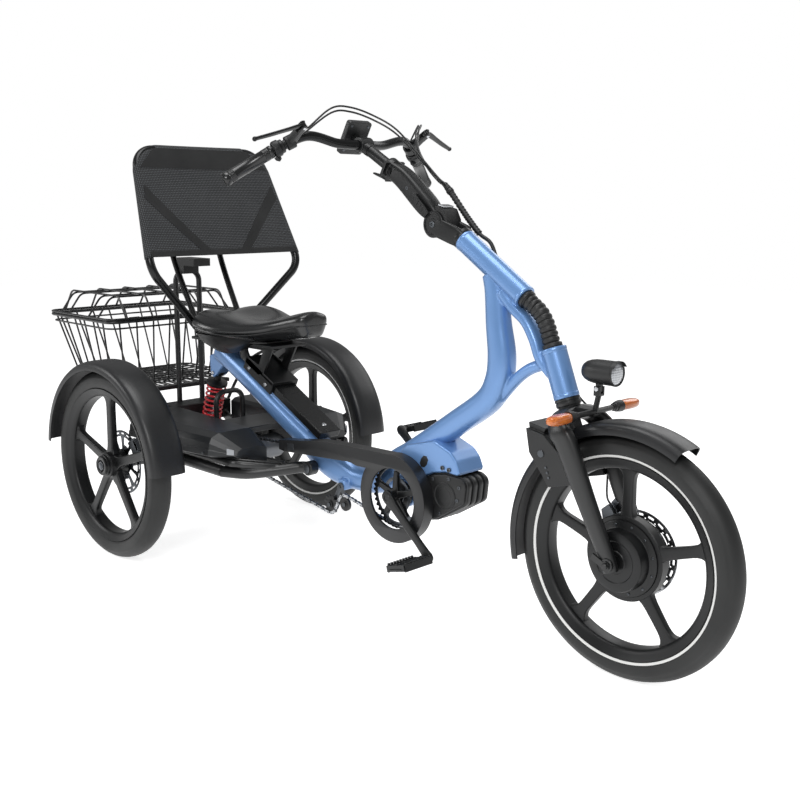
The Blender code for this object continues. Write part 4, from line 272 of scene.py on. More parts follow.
def section(sides: int, across: float, along: float, square: float = 1.0) -> list[Pair]:
    """Points of a round or squared section, with a flat at each quarter.

    Args:
        sides: How many points the section has.
        across: Half its width.
        along: Half its height.
        square: 1 for an ellipse, and less the squarer it is.

    Returns:
        The section's (across, along) points.
    """
    result = []
    for k in range(sides):
        angle = 2 * math.pi * (k + 0.5) / sides
        c, s = math.cos(angle), math.sin(angle)
        result.append((across * math.copysign(abs(c) ** square, c),
                       along * math.copysign(abs(s) ** square, s)))
    return result


def sweep(path: Path, sizes: float | Pair | Sequence[Pair], sides: int = 20, side: Optional[Vector] = None,
          closed: bool = False, square: float = 1.0, outline: Optional[list[Pair]] = None) -> Shape:
    """A tube along a path.

    Args:
        path: The centre line.
        sizes: A radius, or half across `side` and half the other way, once or for each point.
        sides: How many sides the section has.
        side: A direction that the section keeps square to.
        closed: Whether the path closes on itself.
        square: Less than one squares the section's corners.
        outline: The section's own points, in place of a round one.

    Returns:
        The tube, capped unless it is closed.
    """
    count = len(path)
    if isinstance(sizes, (int, float)):
        sizes = (float(sizes), float(sizes))
    if isinstance(sizes, tuple):
        sizes = [sizes] * count
    rings = []
    across = side
    for k, point in enumerate(path):
        before = path[k - 1] if k or closed else None
        after = path[(k + 1) % count] if closed or k + 1 < count else None
        if before is None:
            tangent = unit(point, after)
        elif after is None:
            tangent = unit(before, point)
        else:
            tangent = (unit(before, point) + unit(point, after)).normalized()
        if across is None:
            across = tangent.cross(Z if abs(tangent.z) < 0.9 else X).normalized()
        first = ((side or across) - tangent * tangent.dot(side or across)).normalized()
        across = first
        second = tangent.cross(first)
        shape = outline or section(sides, sizes[k][0], sizes[k][1], square)
        rings.append([point + first * a + second * b for a, b in shape])
    return loft(rings, closed)


def rod(start: Vector, end: Vector, radius: float, sides: int = 24,
        end_radius: Optional[float] = None) -> Shape:
    """A straight round bar, or a taper."""
    last = radius if end_radius is None else end_radius
    return sweep([start, end], [(radius, radius), (last, last)], sides)


def turned(profile: Sequence[Pair], centre: Vector, axis: Vector, steps: int = 48, start: float = 0.0,
           end: Optional[float] = None) -> Shape:
    """A profile of (radius, distance along the axis) turned about the axis.

    Args:
        profile: From axis to axis for a solid; any other closes on itself as a ring.
        centre: Where the distance along the axis is nought.
        axis: The axis, of any length.
        steps: How many steps the turn has.
        start: The first angle of a part turn.
        end: The last angle of a part turn, or None for a whole one.

    Returns:
        The turned surface.
    """
    axis = axis.normalized()
    across = X if abs(axis.x) < 0.9 else Z
    across = (across - axis * axis.dot(across)).normalized()
    other = across.cross(axis)

    def spoke(angle: float) -> Vector:
        """The direction out from the axis at an angle."""
        return across * math.cos(angle) + other * math.sin(angle)

    if end is not None:
        rings = [[centre + spoke(start + (end - start) * k / steps) * r + axis * d for r, d in profile]
                 for k in range(steps + 1)]
        return loft(rings)
    rings = []
    for r, d in profile:
        if r == 0:
            rings.append([centre + axis * d])
            continue
        rings.append([centre + spoke(start + 2 * math.pi * (k + 0.5) / steps) * r + axis * d
                      for k in range(steps)])
    return loft(rings, closed=not (profile[0][0] == 0 and profile[-1][0] == 0))


def prism(outline: Sequence[Vector], depth: Vector) -> Shape:
    """A flat outline pushed along a vector."""
    return loft([list(outline), [p + depth for p in outline]])


def slab(outline: Sequence[Pair], near: float, far: float) -> Shape:
    """An outline of (station, height) pairs between two side offsets."""
    return prism([spot(pair, near) for pair in outline], Y * (far - near))


def box(low: Vector, high: Vector) -> Shape:
    """A box between two corners."""
    outline = [Vector((x, y, low.z)) for x, y in ((low.x, low.y), (high.x, low.y), (high.x, high.y),
            (low.x, high.y))]
    return prism(outline, Z * (high.z - low.z))


def beam(start: Vector, end: Vector, half_width: float, half_height: float, side: Vector = Y) -> Shape:
    """A straight bar of rectangular section.

    Args:
        start: The middle of one end.
        end: The middle of the other.
        half_width: Half the bar's size along `side`.
        half_height: Half its size across `side`.
        side: The direction of its width.

    Returns:
        The bar.
    """
    direction = unit(start, end)
    across = (side - direction * direction.dot(side)).normalized() * half_width
    up = direction.cross(across).normalized() * half_height
    return prism([start + across + up, start - across + up, start - across - up, start + across - up],
                 end - start)


def circle(radius: float, steps: int = 48, middle: Pair = (0.0, 0.0), start: float = 0.0) -> list[Pair]:
    """A flat ring of points."""
    return [(middle[0] + radius * math.cos(start + 2 * math.pi * k / steps),
             middle[1] + radius * math.sin(start + 2 * math.pi * k / steps)) for k in range(steps)]


def slot_outline(low: float, high: float, middle: float, half: float, steps: int = 8) -> list[Pair]:
    """A curved window between two radii, with its corners eased.

    Args:
        low: Its inner radius.
        high: Its outer radius.
        middle: The angle that it is centred on.
        half: Half the angle that it spans.
        steps: Points along each arc.

    Returns:
        The window's outline.
    """
    def arc(radius: float, first: float, last: float) -> list[Pair]:
        """Points of an arc between two angles from the middle one."""
        return [(radius * math.cos(middle + first + (last - first) * k / steps),
                 radius * math.sin(middle + first + (last - first) * k / steps)) for k in range(steps + 1)]
    ease = (high - low) * 0.18
    tight = half * 0.86
    return (arc(low, -tight, tight) + arc(low + ease, half, half)[:1] + arc(high - ease, half, half)[:1]
            + arc(high, tight, -tight) + arc(high - ease, -half, -half)[:1] + arc(low + ease, -half,
            -half)[:1])


def plate(outer: Sequence[Pair], holes: Sequence[Sequence[Pair]], origin: Vector, thickness: float,
          edge: float = 0.0003, across: Vector = X, up: Vector = Z) -> Shape:
    """A flat plate with holes and broken edges, filled by a flat curve.

    Args:
        outer: The outline, across and up from the origin.
        holes: The outline of each hole.
        origin: The middle of the plate's thickness.
        thickness: How thick the plate is.
        edge: The width of the bevel along each edge.
        across: The outline's first direction.
        up: The outline's second direction.

    Returns:
        The plate as a closed surface.
    """
    curve = bpy.data.curves.new("plate", "CURVE")
    curve.dimensions = "2D"
    curve.fill_mode = "BOTH"
    curve.extrude = thickness / 2 - edge
    curve.bevel_depth = edge
    curve.bevel_resolution = 1
    curve.offset = -edge
    for outline in [outer, *holes]:
        spline = curve.splines.new("POLY")
        spline.points.add(len(outline) - 1)
        for point, (a, b) in zip(spline.points, outline):
            point.co = (a, b, 0.0, 1.0)
        spline.use_cyclic_u = True
    holder = bpy.data.objects.new("plate", curve)
    mesh = bpy.data.meshes.new_from_object(holder)
    normal = across.cross(up)
    points = [origin + across * v.co.x + up * v.co.y + normal * v.co.z for v in mesh.vertices]
    faces = [tuple(p.vertices) for p in mesh.polygons]
    bpy.data.objects.remove(holder)
    bpy.data.curves.remove(curve)
    bpy.data.meshes.remove(mesh)
    return Shape(points, faces)


def mesh_of(name: str, shapes: Shape | Sequence[Shape]) -> bpy.types.Mesh:
    """One mesh from one or more shapes, with its doubles merged.

    Args:
        name: The mesh's name.
        shapes: One shape or several.

    Returns:
        The mesh.
    """
    if isinstance(shapes, Shape):
        shapes = [shapes]
    points: list[Vector] = []
    faces: list[tuple[int, ...]] = []
    for shape in shapes:
        base = len(points)
        points.extend(shape.points)
        faces.extend(tuple(base + k for k in face) for face in shape.faces)
    mesh = bpy.data.meshes.new(name)
    mesh.from_pydata([tuple(p) for p in points], [], faces)
    work = bmesh.new()
    work.from_mesh(mesh)
    bmesh.ops.remove_doubles(work, verts=work.verts, dist=WELD_DISTANCE)
    work.to_mesh(mesh)
    work.free()
    return mesh


# Finishes


def add_node(tree: bpy.types.NodeTree, kind: str, inputs: Optional[dict] = None,
             **settings: object) -> bpy.types.Node:
    """Add a node with its settings, values and links.

    Args:
        tree: The tree that it goes in.
        kind: Blender's name for the node.
        inputs: A value or an output socket for each input, by name or number.
        settings: The node's own settings.

    Returns:
        The node.
    """
    node = tree.nodes.new(kind)
    for name, value in settings.items():
        setattr(node, name, value)
    for name, value in (inputs or {}).items():
        if isinstance(value, bpy.types.NodeSocket):
            tree.links.new(value, node.inputs[name])
        else:
            node.inputs[name].default_value = value
    return node


class Pattern(Enum):
    """What a finish's surface shows besides its colour."""

    GRAIN = "grain"
    TURNED = "turned"
    MESH = "mesh"
    FACETS = "facets"


@dataclass(frozen=True)
class Finish:
    """A finish: what it is, its colour and how its surface was made; one of them is a painted highlight."""

    name: str
    slot: str
    colour: str
    rough: float
    metallic: float = 0.0
    ior: float = 1.5
    coat: float = 0.0
    coat_rough: float = 0.08
    grain_mm: float = 0.6
    grain_depth_mm: float = 0.02
    shade: float = 0.06
    pattern: Pattern = Pattern.GRAIN
    second: str = "000000"
    pitch_mm: float = 5.0
    middle: tuple[float, float, float] = (0.0, 0.0, 0.0)

    def material(self) -> bpy.types.Material:
        """Build the finish as a procedural material."""
        made = bpy.data.materials.new(self.name)
        made.use_nodes = True
        tree = made.node_tree
        tree.nodes.clear()
        where = add_node(tree, "ShaderNodeTexCoord").outputs["Object"]
        shader = add_node(tree, "ShaderNodeBsdfPrincipled", {
            "Metallic": self.metallic, "IOR": self.ior, "Coat Weight": self.coat,
            "Coat Roughness": self.coat_rough})
        add_node(tree, "ShaderNodeOutputMaterial", {"Surface": shader.outputs["BSDF"]})
        # Colour and gloss both drift a little over a hand's breadth, as they do on any real surface.
        drift = add_node(tree, "ShaderNodeTexNoise",
                         {"Vector": where, "Scale": 9.0, "Detail": 3.0}).outputs["Fac"]
        base = linear(self.colour)
        dark = tuple(c * (1 - self.shade) for c in base[:3]) + (1.0,)
        light = tuple(min(1.0, c * (1 + self.shade)) for c in base[:3]) + (1.0,)
        colour = add_node(tree, "ShaderNodeMix", {"Factor": drift, 6: dark, 7: light},
                          data_type="RGBA").outputs[2]
        height = self.relief(tree, where)
        if self.pattern in (Pattern.MESH, Pattern.FACETS):
            colour = add_node(tree, "ShaderNodeMix", {"Factor": height, 6: colour, 7: linear(self.second)},
                              data_type="RGBA").outputs[2]
        tree.links.new(colour, shader.inputs["Base Color"])
        rough = add_node(tree, "ShaderNodeMapRange", {
            "Value": drift, "From Min": 0.3, "From Max": 0.7,
            "To Min": self.rough * 0.88, "To Max": self.rough * 1.12})
        tree.links.new(rough.outputs["Result"], shader.inputs["Roughness"])
        bump = add_node(tree, "ShaderNodeBump", {
            "Height": height, "Strength": 0.6, "Distance": self.grain_depth_mm / 1000})
        tree.links.new(bump.outputs["Normal"], shader.inputs["Normal"])
        return made

    def relief(self, tree: bpy.types.NodeTree, where: bpy.types.NodeSocket) -> bpy.types.NodeSocket:
        """Add the pattern's height, from nought to one.

        Args:
            tree: The material's tree.
            where: Object coordinates.

        Returns:
            The height.
        """
        if self.pattern is Pattern.TURNED:
            # Fine rings round the axle, as a grinding wheel or a lathe leaves them.
            parts = add_node(tree, "ShaderNodeSeparateXYZ", {"Vector": add_node(
                tree, "ShaderNodeMapping", {"Vector": where, "Location": tuple(-c for c in self.middle)}
            ).outputs["Vector"]})
            flat = add_node(tree, "ShaderNodeCombineXYZ", {"X": parts.outputs["X"], "Y": parts.outputs["Z"]})
            radius = add_node(tree, "ShaderNodeVectorMath", {0: flat.outputs["Vector"]}, operation="LENGTH")
            return add_node(tree, "ShaderNodeTexNoise", {
                "W": radius.outputs["Value"], "Scale": 1000 / self.grain_mm},
                noise_dimensions="1D").outputs["Fac"]
        if self.pattern is Pattern.MESH:
            # Round holes of the net in rows that are offset by half a pitch, drawn from
            # the piece's own UV in metres.
            cloth = add_node(tree, "ShaderNodeUVMap", uv_map="cloth").outputs["UV"]
            turn = add_node(tree, "ShaderNodeMapping", {
                "Vector": cloth, "Rotation": (0.0, 0.0, math.radians(45)),
                "Scale": (1000 / self.pitch_mm,) * 3})
            parts = add_node(tree, "ShaderNodeSeparateXYZ", {"Vector": turn.outputs["Vector"]})
            waves = []
            for name in ("X", "Y"):
                angle = add_node(tree, "ShaderNodeMath", {0: parts.outputs[name], 1: 2 * math.pi},
                                 operation="MULTIPLY")
                waves.append(add_node(tree, "ShaderNodeMath", {0: angle.outputs[0]},
                                      operation="SINE").outputs[0])
            both = add_node(tree, "ShaderNodeMath", {0: waves[0], 1: waves[1]},
                            operation="MULTIPLY").outputs[0]
            dots = add_node(tree, "ShaderNodeMapRange", {"Value": both, "From Min": 0.25, "From Max": 0.7})
            return dots.outputs["Result"]
        if self.pattern is Pattern.FACETS:
            cells = add_node(tree, "ShaderNodeTexVoronoi", {"Vector": where, "Scale": 1000 / self.pitch_mm,
                    "Randomness": 0.15})
            return add_node(tree, "ShaderNodeMapRange", {
                "Value": cells.outputs["Distance"], "From Min": 0.15, "From Max": 0.75}).outputs["Result"]
        return add_node(tree, "ShaderNodeTexNoise", {
            "Vector": where, "Scale": 1000 / self.grain_mm, "Detail": 2.0}).outputs["Fac"]


# Stove-enamelled steel under a clear coat: soft broad highlights and a faint orange peel.
BLUE_ENAMEL = Finish("light_blue_enamel", "blue_paint", "6C96CD", 0.34, metallic=0.35, coat=0.55,
                     coat_rough=0.2,
                     grain_mm=1.6, grain_depth_mm=0.002, shade=0.025)
# Powder coat: satin, with the fine dimpling of the melted powder.
BLACK_POWDER = Finish("black_powder_coat", "black_paint", "141516", 0.38, coat=0.15, coat_rough=0.3,
                      grain_mm=0.7,
                      grain_depth_mm=0.02)
# Anodised or painted cast aluminium: a tighter, slightly metallic sheen.
BLACK_CAST = Finish("black_painted_casting", "black_satin", "151617", 0.40, metallic=0.25, grain_mm=0.5,
                    grain_depth_mm=0.015)
BLACK_TUBE = Finish("black_anodised_tube", "black_satin", "161718", 0.27, metallic=0.45, grain_mm=0.3,
                    grain_depth_mm=0.004)
# Tyre rubber: matt, with mould texture.
TYRE_RUBBER = Finish("tyre_rubber", "tyre", "181919", 0.60, ior=1.52, grain_mm=0.9, grain_depth_mm=0.05,
                     shade=0.1)
SOFT_RUBBER = Finish("moulded_rubber", "rubber", "161718", 0.52, ior=1.52, grain_mm=0.5, grain_depth_mm=0.03)
GRIP_RUBBER = Finish("grip_rubber", "rubber", "131415", 0.24, ior=1.52, grain_mm=0.5, grain_depth_mm=0.004)
CABLE_VINYL = Finish("cable_vinyl", "rubber", "121314", 0.33, grain_mm=0.4, grain_depth_mm=0.004)
# Injection-moulded polypropylene with a spark-eroded grain.
GUARD_PLASTIC = Finish("moulded_guard_plastic", "black_plastic", "17181A", 0.40, grain_mm=0.5,
                       grain_depth_mm=0.02)
DARK_PLASTIC = Finish("moulded_dark_plastic", "black_plastic", "151617", 0.45, grain_mm=0.5,
                      grain_depth_mm=0.02)
COVER_PLASTIC = Finish("moulded_cover_plastic", "grey_plastic", "1F2123", 0.38, grain_mm=0.6,
                       grain_depth_mm=0.03)
# Silver-grey metallic paint that stands in for a highlight, laid only on the cover boxes' front facets.
FACET_HIGHLIGHT_PAINT = Finish("painted_facet_highlight", "grey_plastic", "9A9DA1", 0.35, metallic=0.6, grain_mm=0.4,
                     grain_depth_mm=0.004)
STEEL = Finish("bright_steel", "steel", "B9BBBE", 0.28, metallic=1.0, grain_mm=0.3, grain_depth_mm=0.004)
DARK_STEEL = Finish("oiled_steel", "steel", "55585C", 0.36, metallic=0.9, grain_mm=0.3, grain_depth_mm=0.006)
HUB_CASTING = Finish("dull_cast_aluminium", "aluminium", "6E7073", 0.45, metallic=0.9, grain_mm=0.6,
                     grain_depth_mm=0.02)
SPRING_RED = Finish("red_powder_coat", "red_paint", "D22430", 0.28, coat=0.4, grain_mm=0.8,
                    grain_depth_mm=0.008)
# Smooth vinyl over foam: slightly glossy, with a very fine pore.
SADDLE_VINYL = Finish("saddle_vinyl", "vinyl", "141516", 0.27, ior=1.5, coat=0.25, coat_rough=0.18,
                      grain_mm=0.9,
                      grain_depth_mm=0.02)
# Vinyl-coated polyester net: the real pitch is under 2 mm and is drawn coarser, so that it shows.
NET = Finish("woven_net", "mesh_fabric", "08090A", 0.75, grain_depth_mm=0.25, pattern=Pattern.MESH,
             second="55585C",
             pitch_mm=7.0)
BAND = Finish("woven_band", "mesh_fabric", "0B0C0D", 0.80, grain_mm=1.2, grain_depth_mm=0.1)
REFLECTIVE = Finish("reflective_band", "tyre", "F2F2F0", 0.45, grain_mm=0.4, grain_depth_mm=0.003, shade=0.01)
AMBER = Finish("amber_lens_plastic", "amber_lens", "B5531C", 0.12, coat=0.6, coat_rough=0.05,
               pattern=Pattern.FACETS, second="E8853A", pitch_mm=4.0, grain_depth_mm=0.3, shade=0.12)
LAMP_LENS = Finish("clear_lens_plastic", "steel", "8E9196", 0.12, metallic=0.5, coat=0.8, coat_rough=0.04,
                   pattern=Pattern.FACETS, second="D3D6DA", pitch_mm=5.0, grain_depth_mm=0.5)
RED_LENS = Finish("red_lens_plastic", "amber_lens", "6E1418", 0.14, coat=0.6, coat_rough=0.05,
                  pattern=Pattern.FACETS, second="A8242A", pitch_mm=4.0, grain_depth_mm=0.3)
SCREEN = Finish("screen_glass", "screen", "0C0E12", 0.10, coat=0.6, coat_rough=0.03, grain_mm=3.0,
                grain_depth_mm=0.001)


# Geometry Nodes for what repeats or follows a line


def new_tree(name: str, sockets: Sequence[tuple[str, str]]) -> tuple[bpy.types.NodeTree, bpy.types.Node]:
    """Start a Geometry Nodes tree with named inputs.

    Args:
        name: The tree's name.
        sockets: Each further input's name and socket type.

    Returns:
        The tree and its input node.
    """
    tree = bpy.data.node_groups.new(name, "GeometryNodeTree")
    face = tree.interface
    face.new_socket("Geometry", in_out="INPUT", socket_type="NodeSocketGeometry")
    for label, kind in sockets:
        face.new_socket(label, in_out="INPUT", socket_type=kind)
    face.new_socket("Geometry", in_out="OUTPUT", socket_type="NodeSocketGeometry")
    return tree, add_node(tree, "NodeGroupInput")


def end_tree(tree: bpy.types.NodeTree, start: bpy.types.Node,
             geometry: bpy.types.NodeSocket) -> bpy.types.NodeTree:
    """Realize the instances, set the material and close the tree.

    Args:
        tree: The tree to close.
        start: Its group input.
        geometry: The socket with the instances.

    Returns:
        The tree.
    """
    real = add_node(tree, "GeometryNodeRealizeInstances", {"Geometry": geometry})
    dressed = add_node(tree, "GeometryNodeSetMaterial", {
        "Geometry": real.outputs[0], "Material": start.outputs["Material"]})
    add_node(tree, "NodeGroupOutput", {0: dressed.outputs[0]})
    return tree


def wire_tree() -> bpy.types.NodeTree:
    """A round wire along every edge of the incoming lines."""
    tree, start = new_tree("wires_along_lines", [
        ("Radius", "NodeSocketFloat"), ("Sides", "NodeSocketInt"), ("Material", "NodeSocketMaterial")])
    line = add_node(tree, "GeometryNodeMeshToCurve", {"Mesh": start.outputs["Geometry"]})
    ring = add_node(tree, "GeometryNodeCurvePrimitiveCircle", {
        "Resolution": start.outputs["Sides"], "Radius": start.outputs["Radius"]})
    wire = add_node(tree, "GeometryNodeCurveToMesh", {
        "Curve": line.outputs["Curve"], "Profile Curve": ring.outputs["Curve"], "Fill Caps": True})
    return end_tree(tree, start, wire.outputs["Mesh"])


def repeat_tree() -> bpy.types.NodeTree:
    """A copy of one small part at every incoming point, turned by the point's `turn`."""
    tree, start = new_tree("parts_at_points", [("Part", "NodeSocketObject"),
            ("Material", "NodeSocketMaterial")])
    part = add_node(tree, "GeometryNodeObjectInfo", {"Object": start.outputs["Part"]})
    turn = add_node(tree, "GeometryNodeInputNamedAttribute", {"Name": "turn"}, data_type="FLOAT_VECTOR")
    copies = add_node(tree, "GeometryNodeInstanceOnPoints", {
        "Points": start.outputs["Geometry"], "Instance": part.outputs["Geometry"],
        "Rotation": turn.outputs["Attribute"]})
    return end_tree(tree, start, copies.outputs["Instances"])


@dataclass
class Place:
    """Where one copy of a repeated part goes: a point, and its own X and Z directions."""

    point: Vector
    forward: Vector
    up: Vector

    def euler(self) -> tuple[float, float, float]:
        """The turn that takes the frame's X and Z to this place's."""
        up = self.up.normalized()
        forward = (self.forward - up * up.dot(self.forward)).normalized()
        return tuple(Matrix((forward, up.cross(forward), up)).transposed().to_euler())


class Bench:
    """Where finished pieces get their material and go on their bodies."""

    def __init__(self, nodes: dict[str, bpy.types.Object]) -> None:
        """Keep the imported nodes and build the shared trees."""
        self.nodes = nodes
        self.materials: dict[str, bpy.types.Material] = {}
        self.wires = wire_tree()
        self.repeats = repeat_tree()

    def material(self, finish: Finish) -> bpy.types.Material:
        """The finish's material, built once."""
        if finish.name not in self.materials:
            self.materials[finish.name] = finish.material()
        return self.materials[finish.name]

    def put(self, name: str, mesh: bpy.types.Mesh, body: str, finish: Finish, replaces: Sequence[str] = (),
            crease: float = 35.0, bevel: float = 0.0, levels: int = 0, segments: int = 2) -> bpy.types.Object:
        """Make a mesh a finished piece.

        Args:
            name: The piece's name.
            mesh: Its mesh, in place.
            body: The body that it moves with, or "" for a piece that is left unattached.
            finish: Its finish.
            replaces: The nodes that it stands for.
            crease: Edges that bend more than this many degrees stay sharp.
            bevel: The width of the broken edges in metres.
            levels: How many times it is subdivided.
            segments: How many steps each broken edge has.

        Returns:
            The piece.
        """
        mesh.materials.clear()
        mesh.materials.append(self.material(finish))
        mesh.shade_smooth()
        mesh.set_sharp_from_angle(angle=math.radians(crease))
        piece = bpy.data.objects.new(name, mesh)
        bpy.context.scene.collection.objects.link(piece)
        if bevel:
            worn = piece.modifiers.new("broken_edges", "BEVEL")
            worn.width = bevel
            worn.segments = segments
            worn.limit_method = "ANGLE"
            worn.angle_limit = math.radians(crease)
            worn.harden_normals = True
        if levels:
            fine = piece.modifiers.new("fine", "SUBSURF")
            fine.levels = levels
            fine.render_levels = levels
        if body:
            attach(piece, body)
        if replaces:
            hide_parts(*replaces)
        LOG.info("%s on %s: %d faces", name, body, len(mesh.polygons))
        return piece

    def solid(self, name: str, shapes: Shape | Sequence[Shape], body: str, finish: Finish,
              **how: object) -> bpy.types.Object:
        """Make shapes a finished piece; `how` goes to `put`."""
        return self.put(name, mesh_of(name, shapes), body, finish, **how)

    def refined(self, node: str, body: str, finish: Finish, bevel: float = 0.0008,
                crease: float = 40.0) -> bpy.types.Object:
        """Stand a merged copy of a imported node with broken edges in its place.

        Args:
            node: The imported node.
            body: The body that it moves with.
            finish: Its finish.
            bevel: The width of the broken edges.
            crease: Edges that bend more than this many degrees are broken.

        Returns:
            The piece.
        """
        mesh = self.nodes[node].data.copy()
        work = bmesh.new()
        work.from_mesh(mesh)
        bmesh.ops.remove_doubles(work, verts=work.verts, dist=WELD_DISTANCE)
        bmesh.ops.dissolve_limit(work, angle_limit=math.radians(1.0), verts=work.verts, edges=work.edges)
        work.to_mesh(mesh)
        work.free()
        mesh.name = f"{node}_fine"
        return self.put(f"{node}_fine", mesh, body, finish, replaces=[node], bevel=bevel, crease=crease)

    def grown(self, name: str, mesh: bpy.types.Mesh, tree: bpy.types.NodeTree,
              values: dict[str, object]) -> bpy.types.Mesh:
        """Run a mesh through a tree and return the plain result.

        Args:
            name: The result's name.
            mesh: The lines or points that go in.
            tree: The tree.
            values: The tree's inputs by name.

        Returns:
            The realized mesh.
        """
        holder = bpy.data.objects.new(name, mesh)
        bpy.context.scene.collection.objects.link(holder)
        modifier = holder.modifiers.new("grow", "NODES")
        modifier.node_group = tree
        for item in tree.interface.items_tree:
            if item.in_out == "INPUT" and item.name in values:
                modifier[item.identifier] = values[item.name]
        seen = holder.evaluated_get(bpy.context.evaluated_depsgraph_get())
        result = bpy.data.meshes.new_from_object(seen)
        result.name = name
        holder.modifiers.remove(modifier)
        bpy.data.objects.remove(holder)
        return result

    def wire_mesh(self, name: str, lines: Sequence[tuple[Path, bool]], radius: float, finish: Finish,
                  sides: int = 10) -> bpy.types.Mesh:
        """Round wires along lines, each open or closed.

        Args:
            name: The mesh's name.
            lines: Each line's points, and whether it is closed.
            radius: The wires' radius.
            finish: Their finish.
            sides: How many sides a wire has.

        Returns:
            The mesh.
        """
        points: list[Vector] = []
        edges: list[tuple[int, int]] = []
        for line, closed in lines:
            base = len(points)
            points.extend(line)
            edges.extend((base + k, base + k + 1) for k in range(len(line) - 1))
            if closed:
                edges.append((len(points) - 1, base))
        mesh = bpy.data.meshes.new(name)
        mesh.from_pydata([tuple(p) for p in points], edges, [])
        return self.grown(name, mesh, self.wires, {
            "Radius": radius, "Sides": sides, "Material": self.material(finish)})

    def repeat_mesh(self, name: str, shapes: Shape | Sequence[Shape], places: Sequence[Place],
                    finish: Finish) -> bpy.types.Mesh:
        """One small part, made at the origin, at every place.

        Args:
            name: The mesh's name.
            shapes: The small part.
            places: Where it goes, and how it is turned.
            finish: Its finish.

        Returns:
            The mesh.
        """
        part = bpy.data.objects.new(f"{name}_part", mesh_of(f"{name}_part", shapes))
        bpy.context.scene.collection.objects.link(part)
        mesh = bpy.data.meshes.new(name)
        mesh.from_pydata([tuple(place.point) for place in places], [], [])
        turn = mesh.attributes.new("turn", "FLOAT_VECTOR", "POINT")
        turn.data.foreach_set("vector", [c for place in places for c in place.euler()])
        result = self.grown(name, mesh, self.repeats, {"Part": part, "Material": self.material(finish)})
        bpy.data.objects.remove(part)
        return result


# Wheels and mudguards


